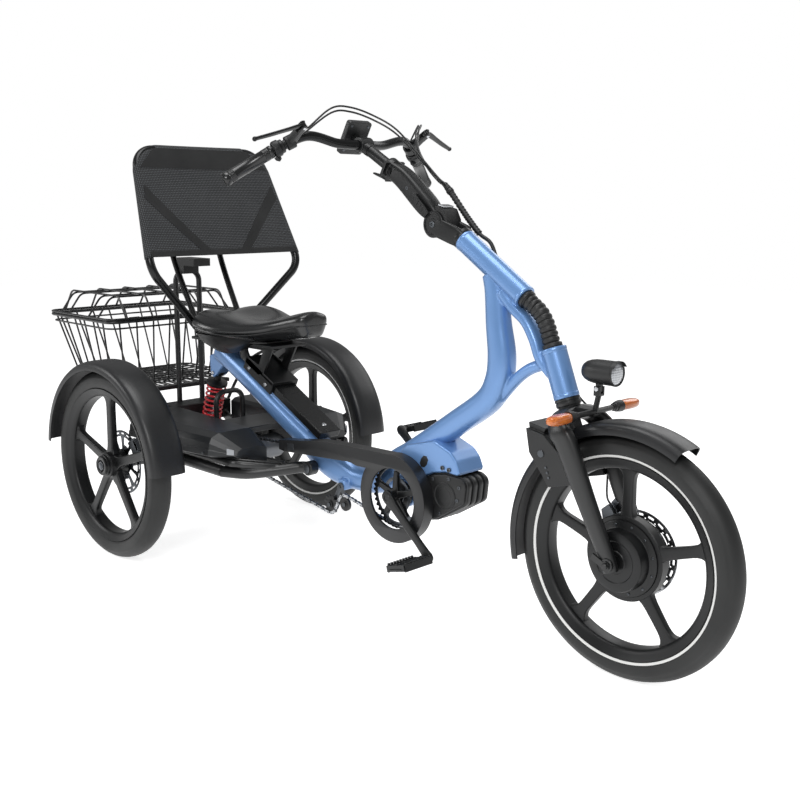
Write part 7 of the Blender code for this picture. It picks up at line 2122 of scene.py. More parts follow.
        # The latch lies along the mast's right cheek, from the hinge disc up.
        root = hinge + Vector((-0.016, 0, 0.020)) - Y * 0.0312
        tip = hinge + Vector((-0.060, 0, 0.064)) - Y * 0.0300
        side = (tip - root).cross(Y).normalized()
        latch = [sweep([root, root.lerp(tip, 0.25), root.lerp(tip, 0.8), tip, tip + unit(root, tip) * 0.004],
                       [(0.0075, 0.0022), (0.0088, 0.0024), (0.0072, 0.0022), (0.0058, 0.0020),
                        (0.0030, 0.0014)], 20,
                       side=side, square=0.45)]
        for k in range(3):
            a = root.lerp(tip, 0.30 + 0.16 * k) - Y * 0.0024
            latch.append(beam(a - side * 0.0045, a + side * 0.0045, 0.0012, 0.0006, side=unit(root, tip)))
        bench.solid("stem_latch", latch, "stem", BLACK_CAST, crease=40)
        boss_depth, half = 0.0260, 0.0032
        pivot = top - QUILL_UP * 0.012 - up * (boss_depth + half + GAP)
        line = [pivot, pivot + QUILL_UP * 0.015 - up * 0.001, pivot + QUILL_UP * 0.035 - up * 0.005,
                pivot + QUILL_UP * 0.050 - up * 0.0085]
        lever = [turned([(0, -0.0088), (half, -0.0088), (half, 0.0088), (0, 0.0088)], pivot, Y, 24),
                 sweep(smooth(line, 5), spread([(0.0070, 0.0026), (0.0085, 0.0026), (0.0082, 0.0024),
                (0.0045, 0.0018)], 5), 20,
                       side=Y, square=0.5)]
        bench.solid("mast_clamp_lever", lever, "mast_clamp", BLACK_CAST, replaces=["mast_lever"], crease=40)

    def quill(self, bench: Bench) -> None:
        """The sliding tube and the bar's clamp with its face plate.

        Args:
            bench: Where the pieces get their finish and body.
        """
        top, clamp = spot(MAST_TOP), spot(BAR_CLAMP)
        bore = 0.0116
        tube = rod(top - QUILL_UP * 0.072, clamp - QUILL_UP * 0.013, 0.0137, 40)
        ring = turned([(bore, -0.0195), (0.0172, -0.0195), (0.0184, -0.0180), (0.0184, 0.0180),
                       (0.0172, 0.0195), (bore, 0.0195)],
                      clamp, Y, 56)
        front = Vector((QUILL_UP.z, 0, -QUILL_UP.x))
        bolts = []
        for sign in (-1, 1):
            for lift in (-1, 1):
                place = clamp + QUILL_UP * 0.0160 + front * lift * 0.0055 + Y * sign * 0.0135
                bolts.append(turned([(0, -0.004), (0.0032, -0.004), (0.0034, 0.0018), (0.0028, 0.0026),
                                     (0, 0.0026)], place, QUILL_UP, 14))
        neck = sweep([clamp - QUILL_UP * 0.030, clamp - QUILL_UP * 0.020, clamp - QUILL_UP * 0.0135],
                     [(0.0142, 0.0142), (0.0155, 0.0148), (0.0188, 0.0120)], 36, side=Y, square=0.8)
        bench.solid("quill_tube", [tube, ring, neck], "quill", BLACK_CAST, replaces=["stem_quill"], crease=36)
        bench.solid("bar_clamp_bolts", bolts, "quill", STEEL)

    def sleeve(self, bench: Bench) -> None:
        """The ribbed hose that takes the cables down to the frame.

        Args:
            bench: Where the pieces get their finish and body.
        """
        gather = at(-0.536, 0.037, 0.986)
        mouth = unit(at(-0.560, 0.036, 1.010), gather)
        start = gather + mouth * GAP
        foot = spot(STEER_TOP) - STEER_UP * 0.100
        normal = Vector((-STEER_UP.z, 0, STEER_UP.x))
        out = (Y * 0.90 + normal * 0.43).normalized()
        end = foot + out * (0.0265 + 2 * GAP)
        route = smooth([start, start + mouth * 0.015, at(-0.494, 0.0375, 0.941), at(-0.469, 0.0375, 0.915),
                        at(-0.439, 0.0370, 0.888), at(-0.405, 0.0370, 0.866), end + out * 0.009, end], 20)
        count = len(route)
        ribbed = round(count * 0.56)
        sizes = []
        for k in range(count):
            wave = abs(math.sin(math.pi * k / 4.0))
            radius = 0.0060 + 0.0016 * wave if 1 < k < ribbed else 0.0044
            sizes.append((radius, radius))
        hose = bench.solid("cable_hose", sweep(route, sizes, 20), "", SOFT_RUBBER,
                           replaces=["cable_sleeve"], crease=70)
        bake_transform(hose)
        cuff = turned([(0.0052, 0.0), (0.0084, 0.0), (0.0088, 0.0008), (0.0088, 0.0070), (0.0080, 0.0078),
                       (0.0052, 0.0078)],
                      route[2], unit(route[2], route[6]), 28)
        bench.solid("cable_hose_cuff", cuff, "steering", DARK_PLASTIC)

    def build(self, bench: Bench) -> None:
        """Build shaft, mast, quill and sleeve.

        Args:
            bench: Where the pieces get their finish and body.
        """
        self.shaft(bench)
        self.mast(bench)
        self.quill(bench)
        self.sleeve(bench)


@dataclass
class Bar:
    """The handlebar with its grips, levers, display and cables."""

    radius: float = 0.0111
    grip: float = 0.0148
    cable: float = 0.0022

    def line(self) -> Path:
        """The bar's centre line from right end to left."""
        clamp = spot(BAR_CLAMP)
        end = GRIP_OUTER - unit(GRIP_INNER, GRIP_OUTER) * 0.004
        bends = smooth([GRIP_INNER, at(-0.8009, -0.1585, 1.1043), at(-0.7905, -0.0734, 1.0910),
                        clamp - Y * 0.022], 12)
        half = [end, *bends, clamp]
        return half + list(reversed(mirror(half[:-1])))

    def lever(self, bench: Bench, name: str, sign: int) -> None:
        """One perch with its lever.

        Args:
            bench: The bench.
            name: The side's name.
            sign: The side: minus one for the right.
        """
        bends = smooth([GRIP_INNER, at(-0.8009, -0.1585, 1.1043), at(-0.7905, -0.0734, 1.0910)], 3)
        perch = bends[2].lerp(bends[1], 0.5)
        direction = unit(bends[1], bends[2])
        pivot, tip = at(-0.7625, -0.2008, 1.1243), at(-0.7904, -0.315, 1.0912)
        away = (pivot - perch).normalized()
        axis = (pivot - perch).cross(tip - pivot).normalized()
        band = turned([(0.0117, -0.0100), (0.0156, -0.0100), (0.0165, -0.0090), (0.0165, 0.0090),
                       (0.0156, 0.0100), (0.0117, 0.0100)],
                      perch, direction, 40)
        reach = (pivot - perch).length - 0.0178
        arm = sweep([perch + away * 0.0125, perch + away * 0.0200, perch + away * (reach - 0.0004)],
                    [(0.0100, 0.0125), (0.0092, 0.0118), (0.0080, 0.0098)], 24, side=axis, square=0.5)
        cheeks = []
        for flip in (-1, 1):
            mid = axis * flip * 0.0064
            cheeks.append(sweep([perch + away * (reach - 0.004) + mid, pivot + mid * 1.0,
                                 pivot + away * 0.0070 + mid],
                                [(0.0020, 0.0085), (0.0020, 0.0078), (0.0018, 0.0048)], 20, side=axis,
                                square=0.5))
        inward = away.cross(axis).normalized()
        inward = inward if inward.y > 0 else -inward
        gap = (pivot - perch)
        barrels = [turned([(0.0026, -0.0020), (0.0050, -0.0020), (0.0050, 0.0060), (0.0042, 0.0072),
                           (0.0026, 0.0072)],
                          perch + gap * share + inward * 0.0070, inward, 20) for share in (0.80, 0.45)]
        grip_way = unit(GRIP_INNER, bends[1])
        pod = turned([(0.0114, 0.0010), (0.0165, 0.0010), (0.0190, 0.0030), (0.0196, 0.0070),
                      (0.0192, 0.0160), (0.0170, 0.0180),
                      (0.0160, 0.0200), (0.0160, 0.0250), (0.0148, 0.0262), (0.0114, 0.0262)], GRIP_INNER,
                      grip_way, 40)
        lump = GRIP_INNER + grip_way * 0.0100 - Z * 0.0170
        toggle = sweep([lump, lump + grip_way * 0.004 - Z * 0.006, lump + grip_way * 0.010 - Z * 0.012],
                       [(0.0075, 0.0062), (0.0070, 0.0055), (0.0045, 0.0032)], 20, side=Y, square=0.5)
        shapes = [band, arm, *cheeks, barrels[1], pod, toggle]
        blade = smooth([pivot, pivot.lerp(tip, 0.12) + away * 0.0012, pivot.lerp(tip, 0.35) + away * 0.0004,
                        pivot.lerp(tip, 0.7) - away * 0.0006, tip], 5)
        sizes = spread([(0.0038, 0.0074), (0.0034, 0.0078), (0.0030, 0.0066), (0.0032, 0.0060),
                        (0.0034, 0.0048)], 5)
        lever = [sweep(blade, sizes, 20, side=axis, square=0.6),
                 turned([(0, -0.0039), (0.0074, -0.0039), (0.0074, 0.0039), (0, 0.0039)], pivot, axis, 32),
                 turned([(0, -0.0052), (0.0026, -0.0048), (0.0046, -0.0034), (0.0056, -0.0014),
                         (0.0056, 0.0014), (0.0046, 0.0034),
                         (0.0026, 0.0048), (0, 0.0052)], tip, axis, 28)]
        pin = [turned([(0, 0), (0.0040, 0), (0.0042, 0.0006), (0.0036, 0.0016), (0, 0.0016)],
                      pivot + axis * flip * 0.0083, axis * flip, 20)
               for flip in (-1, 1)]
        if sign > 0:
            shapes, lever, pin = ([s.mirrored() for s in group] for group in (shapes, lever, pin))
        bench.solid(f"perch_{name}", shapes, "quill", BLACK_CAST, replaces=[f"brake_perch_{name}"],
                    crease=38, bevel=0.0)
        bench.solid(f"lever_{name}", lever, f"{name}_lever", BLACK_TUBE, replaces=[f"brake_lever_{name}"],
                    crease=45)
        bench.solid(f"perch_pin_{name}", pin, "quill", STEEL)

    def grips(self, bench: Bench) -> None:
        """Two rubber grips with fine rings, a clamp ring and a flanged end.

        Args:
            bench: Where the pieces get their finish and body.
        """
        direction = unit(GRIP_INNER, GRIP_OUTER)
        length = (GRIP_OUTER - GRIP_INNER).length
        bore, r = 0.0114, self.grip
        profile = [(0, length - 0.002), (bore, length - 0.002), (bore, 0.002), (r * 0.93, 0.002),
                   (r * 1.02, 0.0035), (r * 1.02, 0.0100),
                   (r * 0.95, 0.0112)]
        for start in (0.0130, length - 0.0250):
            for k in range(5):
                d = start + 0.0026 * k
                profile += [(r * 0.97, d), (r * 1.0, d + 0.0006), (r * 1.0, d + 0.0016),
                            (r * 0.97, d + 0.0022)]
        profile += [(r * 0.97, length - 0.010), (r * 1.07, length - 0.007), (r * 1.08, length + 0.001),
                    (r * 1.0, length + 0.0036),
                    (r * 0.6, length + 0.0042), (0, length + 0.0042)]
        grip = turned(profile, GRIP_INNER, direction, 56)
        bench.solid("hand_grip_right", grip, "quill", GRIP_RUBBER, replaces=["grip_right"], crease=55)
        bench.solid("hand_grip_left", grip.mirrored(), "quill", GRIP_RUBBER, replaces=["grip_left"],
                    crease=55)

    def display(self, bench: Bench) -> None:
        """The square display on its bracket, with a dark glass and three keys.

        Args:
            bench: Where the pieces get their finish and body.
        """
        up = Vector((0.49, 0, 0.872))
        back = Vector((-up.z, 0, up.x))
        clamp = spot(BAR_CLAMP)
        middle = clamp + back * 0.0376 + up * 0.001
        outline = eased([(-0.036, -0.042), (0.036, -0.042), (0.036, 0.042), (-0.036, 0.042)], 0.0065, 6)
        case = plate(outline, [], middle, 0.0138, 0.0018, Y, up)
        mount = beam(clamp + back * 0.0189, middle - back * 0.002, 0.0098, 0.0078)
        strap = turned([(0.0188, -0.0080), (0.0197, -0.0074), (0.0197, 0.0074), (0.0188, 0.0080)], clamp,
                       Y, 12, start=math.radians(60),
                       end=math.radians(170))
        bench.solid("display_case", [case, mount, strap], "quill", DARK_PLASTIC, replaces=["display"],
                    crease=30)
        face = Y.cross(up)
        side = 1 if face.dot(back) > 0 else -1
        glass = eased([(-0.031, -0.024), (0.031, -0.024), (0.031, 0.036), (-0.031, 0.036)], 0.0035, 4)
        bench.solid("display_glass", plate(glass, [], middle + back * 0.0069, 0.0006, 0.0001, Y, up),
                    "quill", SCREEN)
        keys = [plate(eased([(x - 0.006, -0.0365), (x + 0.006, -0.0365), (x + 0.006, -0.0295),
                             (x - 0.006, -0.0295)], 0.002, 3), [],
                      middle + back * 0.0070, 0.0012, 0.0003, Y, up) for x in (-0.019, 0.0, 0.019)]
        bench.solid("display_keys", keys, "quill", SOFT_RUBBER)
        rear = [turned([(0, 0), (0.0034, 0), (0.0036, 0.0006), (0.0028, 0.0016), (0, 0.0016)],
                       middle - back * 0.0068 + Y * y + up * z, -back,
                       16) for y in (-0.026, 0.026) for z in (-0.031, 0.031)]
        bench.solid("display_screws", rear, "quill", DARK_STEEL)
        LOG.info("display faces %d", side)

    def cables(self, bench: Bench) -> None:
        """Four cables from the levers to the ribbed hose.

        Args:
            bench: Where the pieces get their finish and body.
        """
        bends = smooth([GRIP_INNER, at(-0.8009, -0.1585, 1.1043), at(-0.7905, -0.0734, 1.0910)], 3)
        perch = bends[2].lerp(bends[1], 0.5)
        pivot, tip = at(-0.7625, -0.2008, 1.1243), at(-0.7904, -0.315, 1.0912)
        away = pivot - perch
        inward = away.cross(away.cross(tip - pivot)).normalized()
        inward = inward if inward.y > 0 else -inward
        gather = at(-0.536, 0.037, 0.986)
        mouth = unit(at(-0.560, 0.036, 1.010), gather)
        across = mouth.cross(Y).normalized()
        routes = []
        for reach, lift in ((0.80, 0.010), (0.45, 0.0)):
            start = perch + away * reach + inward * 0.0098
            routes.append([start, start + inward * 0.008, start + inward * 0.014 + Z * 0.001,
                           at(-0.764, -0.115, 1.157 + lift),
                           at(-0.758, -0.060, 1.1615 + lift), at(-0.730, -0.010, 1.143 + lift),
                           at(-0.684, 0.018, 1.111 + lift),
                           at(-0.615, 0.029, 1.050 + lift * 0.7),
                           at(-0.565, 0.0345 - lift * 0.3, 1.008 + lift * 0.5)])
            left, inner = mirror([start])[0], mirror([inward])[0]
            routes.append([left, left + inner * 0.008, left + inner * 0.014, at(-0.742 + lift, 0.148, 1.140),
                           at(-0.715 + lift, 0.112, 1.116 + lift), at(-0.668, 0.072, 1.078 + lift * 0.6),
                           at(-0.615, 0.048, 1.036 + lift * 0.3),
                           at(-0.570, 0.0395 + lift * 0.3, 1.004 + lift * 0.2)])
        lines = []
        for k, route in enumerate(routes):
            side = Y * (0.0032 if k % 2 else -0.0032) + across * (0.0032 if k < 2 else -0.0032)
            end = gather + side - mouth * 0.004
            lines.append((route[:2] + smooth(route[2:] + [end - mouth * 0.012], 8) + [end], False))
        mesh = bench.wire_mesh("bar_cables", lines, self.cable, CABLE_VINYL, 12)
        bench.put("bar_cables", mesh, "quill", CABLE_VINYL, replaces=["cable_loom"])
        collar = turned([(0, -0.0080), (0.0066, -0.0080), (0.0074, -0.0072), (0.0074, -0.0008),
                         (0.0066, 0.0), (0, 0.0)], gather, mouth, 28)
        bench.solid("cable_gather", collar, "quill", DARK_PLASTIC)

    def build(self, bench: Bench) -> None:
        """Build the bar and all that it carries.

        Args:
            bench: Where the pieces get their finish and body.
        """
        bench.solid("handlebar_tube", sweep(self.line(), self.radius, 32, side=Z), "quill", BLACK_TUBE,
                    replaces=["handlebar"],
                    crease=50)
        self.grips(bench)
        self.display(bench)
        self.cables(bench)
        for name, sign in (("right", -1), ("left", 1)):
            self.lever(bench, name, sign)


# Rear frame


REAR = -WHEELBASE


def both(shapes: Sequence[Shape]) -> list[Shape]:
    """The shapes and their mirror images."""
    return [*shapes, *(shape.mirrored() for shape in shapes)]


@dataclass
class RearFrame:
    """The swinging rear frame with its covers, brakes and lamps."""

    side: float = 0.195
    tube: float = 0.0155
    inner: float = 0.092

    def tubes(self, bench: Bench) -> None:
        """Side tubes, axle, cross beam, stays and pivot, welded together.

        Args:
            bench: Where the pieces get their finish and body.
        """
        pivot, axle, side = spot(SWING_PIVOT), at(REAR, 0, AXLE_HEIGHT), self.side
        belly = 0.0346
        lower = [at(REAR, -side, 0.2590)] + smooth([
            at(-1.110, -side, 0.2590), at(-1.045, -side * 0.84, 0.2610), at(-0.995, -side * 0.54, 0.2680),
            at(-0.962, -belly - 0.027, 0.2740), at(-0.942, -belly - 0.0165, 0.2760)], 9)
        upper = smooth([at(REAR, -side - 0.004, 0.2885), at(-1.110, -side - 0.004, 0.2885),
                        at(-1.060, -side * 0.96, 0.2875), at(-1.020, -side * 0.74, 0.2820),
                        at(-0.990, -side * 0.47, 0.2740)], 9)
        end, hub_out = HALF_TRACK - 0.054, HALF_TRACK + 0.030
        stay = smooth([at(REAR - 0.109, -0.094, 0.338), at(REAR - 0.109, -0.140, 0.415),
                       at(REAR - 0.109, -0.190, 0.470),
                       at(REAR - 0.109, -0.250, 0.494), at(REAR - 0.109, -0.3024, 0.494)], 6)
        half = [
            rod(axle - Y * (end - 0.01), axle - Y * (hub_out + 0.0095), 0.0083, 28),
            rod(pivot - Y * belly, pivot - Y * (belly + 0.026), 0.0190, 40),
            sweep(lower, self.tube, 28, side=Z), sweep(upper, 0.0100, 22, side=Z),
            beam(at(-1.000, -0.080, 0.2750), at(REAR, -0.080, 0.2660), 0.004, 0.012),
            beam(at(REAR + 0.019, -0.080, 0.2660), at(REAR - 0.109, -0.080, 0.3300), 0.004, 0.014),
            beam(at(REAR + 0.046, -0.002, 0.270), at(REAR + 0.046, -0.081, 0.270), 0.008, 0.008, side=X),
            box(at(REAR + 0.091, -self.inner + GAP, 0.270), at(REAR + 0.121, -0.079, 0.302)),
            sweep(stay, 0.0050, 16, side=X),
        ]
        arch = rounded([at(REAR + 0.046, -0.046, 0.268), at(REAR + 0.046, -0.046, 0.418),
                        at(REAR + 0.046, 0.046, 0.418),
                        at(REAR + 0.046, 0.046, 0.268)], 0.030, 8)
        lug = slab([(REAR - 0.091, 0.334), (REAR - 0.075, 0.316), (REAR - 0.049, 0.3105),
                    (REAR - 0.041, 0.300),
                    (REAR - 0.049, 0.288), (REAR - 0.061, 0.286), (REAR - 0.091, 0.306)], -0.0195, 0.0195)
        shapes = [rod(axle - Y * end, axle + Y * end, 0.0168, 36),
                  rod(pivot - Y * (belly + 0.024), pivot + Y * (belly + 0.024), 0.0060, 24),
                  box(at(REAR - 0.161, -0.100, 0.310), at(REAR - 0.087, 0.100, 0.365)),
                  rod(at(GEAR_HUB[0], -0.0835, GEAR_HUB[1]), at(GEAR_HUB[0], 0.0835, GEAR_HUB[1]), 0.0050,
                      20),
                  sweep(arch, 0.0075, 20, side=X), lug]
        foot = spot(SHOCK_FOOT)
        room = turned([(0, -0.0114), (0.0246, -0.0114), (0.0246, 0.0114), (0, 0.0114)], foot, Y, 32)
        bench.put("rear_tubes", fused("rear_tubes", shapes + both(half), 0.0020, 4, [room]), "swing",
                  BLACK_POWDER,
                  replaces=["rear_frame"], crease=50)
        nuts = []
        for sign in (-1, 1):
            out = axle + Y * sign * (hub_out + 0.0003)
            nuts += [rod(out, out + Y * sign * 0.0080, 0.0132, 6),
                     turned([(0, 0), (0.0080, 0), (0.0080, 0.0010), (0.0064, 0.0019), (0, 0.0019)],
                            out + Y * sign * 0.0080, Y * sign, 28),
                     turned([(0, 0), (0.0120, 0), (0.0124, 0.0010), (0.0124, 0.0030), (0.0090, 0.0040),
                             (0, 0.0040)],
                            pivot + Y * sign * (belly + 0.0255), Y * sign, 28)]
        bench.solid("rear_axle_nuts", nuts, "swing", DARK_STEEL, bevel=0.0005)

    def covers(self, bench: Bench) -> None:
        """Two moulded boxes, creased along their sides, and the centre housing.

        Args:
            bench: Where the pieces get their finish and body.
        """
        stations = [
            (REAR - 0.074, 0.172, 0.2600, 0.3700, 0.0340), (REAR - 0.070, 0.172, 0.2620, 0.3720, 0.0340),
            (-1.245, 0.172, 0.2590, 0.3680, 0.0260), (-1.112, 0.168, 0.2400, 0.3640, 0.0240),
            (-1.060, 0.148, 0.1960, 0.3280, 0.0150), (-1.056, 0.147, 0.1920, 0.3250, 0.0140),
        ]
        rings = []
        for station, low, outer, top, bevel in stations:
            shoulder = max(top - bevel, 0.311)
            crease = 0.3080 + (shoulder - 0.3080) * 0.45
            rings.append([
                at(station, -self.inner, 0.2795), at(station, -low, 0.2795),
                at(station, -low - 0.008, 0.3015),
                at(station, -max(outer - 0.012, low + 0.010), 0.3020), at(station, -outer, 0.3080),
                at(station, -outer + 0.0010, crease), at(station, -outer + 0.0035, crease + 0.0018),
                at(station, -outer + 0.0048, shoulder),
                at(station, -outer + bevel * 0.55, top - bevel * 0.42),
                at(station, -outer + bevel * 1.5, top - 0.0006),
                at(station, -self.inner - 0.030, top - 0.0004),
                at(station, -self.inner - 0.012, top - 0.002), at(station, -self.inner, top - 0.010)])
        side = loft(rings)
        bench.solid("cover_boxes", [side, side.mirrored()], "swing", COVER_PLASTIC,
                    replaces=["rear_cover"], bevel=0.0016,
                    crease=11, segments=2)
        bridge = box(at(REAR + 0.101, -self.inner - 0.004, 0.3340), at(-1.155, self.inner + 0.004, 0.3510))
        bench.solid("cover_bridge", bridge, "swing", COVER_PLASTIC, bevel=0.0030, segments=3)
        # A painted highlight: a silver-grey patch on the facet low on each box's front corner, where the
        # light catches it.
        back, front = at(-1.0740, -0.2076, 0.3160), at(-1.0590, -0.1948, 0.3160)
        facet = [back - Z * 0.004, front - Z * 0.005, front + Z * 0.0080, back + Z * 0.0130]
        normal = (facet[1] - facet[0]).cross(facet[3] - facet[0]).normalized()
        normal = normal if normal.x > 0 else -normal
        facet_highlight = prism([p - normal * 0.0010 for p in facet], normal * 0.0032)
        bench.solid("cover_accents", both([facet_highlight]), "swing", FACET_HIGHLIGHT_PAINT, bevel=0.0005)
        screws = []
        for sign in (-1, 1):
            for station in (-1.130, -1.250, REAR - 0.030):
                screws.append(Place(at(station, sign * 0.2595 if station < -1.2 else sign * 0.2440,
                                       0.3130), X, Y * sign))
        head = turned([(0, -0.001), (0.0034, -0.001), (0.0034, 0.0006), (0.0026, 0.0012), (0, 0.0012)],
                      Vector(), Z, 14)
        bench.put("cover_screws", bench.repeat_mesh("cover_screws", head, screws, DARK_STEEL), "swing",
                  DARK_STEEL)

    def brakes(self, bench: Bench) -> None:
        """A caliper on each rear disc, and its hose along the side tube.

        Args:
            bench: Where the pieces get their finish and body.
        """
        shapes, hoses = [], []
        centre = at(REAR, -HALF_TRACK + 0.0313, AXLE_HEIGHT)
        out = ray(math.radians(38))
        across = out.cross(Y).normalized()
        for near, far in ((-0.0085, -0.0018), (0.0018, 0.0150)):
            outline = [centre + out * a + across * b for a, b in
                       ((0.066, -0.024), (0.100, -0.021), (0.104, 0.0), (0.100, 0.021), (0.066, 0.024),
                        (0.070, 0.0))]
            shapes.append(prism([p + Y * near for p in outline], Y * (far - near)))
        bridge = [centre + out * a + across * b - Y * 0.0085 for a,
                  b in ((0.0925, -0.016), (0.102, -0.016), (0.104, 0.0),
                (0.102, 0.016), (0.0925, 0.016))]
        shapes.append(prism(bridge, Y * 0.0230))
        arm_start = at(REAR + 0.035, -self.side - 0.006, 0.270)
        shapes.append(sweep([arm_start, arm_start + Vector((0.010, -0.055, 0.006)),
                             centre + out * 0.076 + Y * 0.012 - across * 0.014],
                            [(0.0070, 0.0090), (0.0060, 0.0080), (0.0055, 0.0075)], 16, side=Y, square=0.6))
        bench.solid("rear_calipers", both(shapes), "swing", DARK_STEEL, bevel=0.0010, crease=30)
        hose = smooth([centre + out * 0.098 + Y * 0.010, centre + out * 0.112 + Y * 0.030 + Z * 0.006,
                       at(REAR + 0.060, -self.side - 0.020, 0.3080),
                       at(REAR + 0.110, -self.side - 0.0040, 0.3012),
                       at(-1.150, -self.side - 0.0040, 0.3012), at(-1.105, -self.side - 0.002, 0.3008),
                       at(-1.060, -self.side * 0.96, 0.2996), at(-1.020, -self.side * 0.74, 0.2940),
                       at(-0.990, -self.side * 0.50, 0.2862)], 6)
        hoses = [(hose, False), (mirror(hose), False)]
        bench.put("rear_brake_hoses", bench.wire_mesh("rear_brake_hoses", hoses, 0.0021, CABLE_VINYL),
                  "swing", CABLE_VINYL)

    def lamps(self, bench: Bench) -> None:
        """A round tail lamp on the back of each mudguard.

        Args:
            bench: Where the pieces get their finish and body.
        """
        centre = at(REAR, -HALF_TRACK, AXLE_HEIGHT)
        direction = ray(math.radians(147))
        place = centre + direction * 0.2826
        housing = turned([(0, -0.002), (0.0200, -0.002), (0.0215, 0.0020), (0.0215, 0.0120),
                          (0.0205, 0.0140), (0.0185, 0.0140),
                          (0.0180, 0.0120), (0, 0.0120)], place, direction, 44)
        lens = turned([(0, 0.0115), (0.0178, 0.0115), (0.0178, 0.0150), (0.0150, 0.0176),
                       (0.0080, 0.0190), (0, 0.0194)],
                      place, direction, 44)
        bench.solid("tail_lamp_housings", both([housing]), "swing", DARK_PLASTIC)
        bench.solid("tail_lamp_lenses", both([lens]), "swing", RED_LENS)

    def build(self, bench: Bench) -> None:
        """Build the rear frame and its fittings.

        Args:
            bench: Where the pieces get their finish and body.
        """
        self.tubes(bench)
        self.covers(bench)
        self.brakes(bench)
        self.lamps(bench)


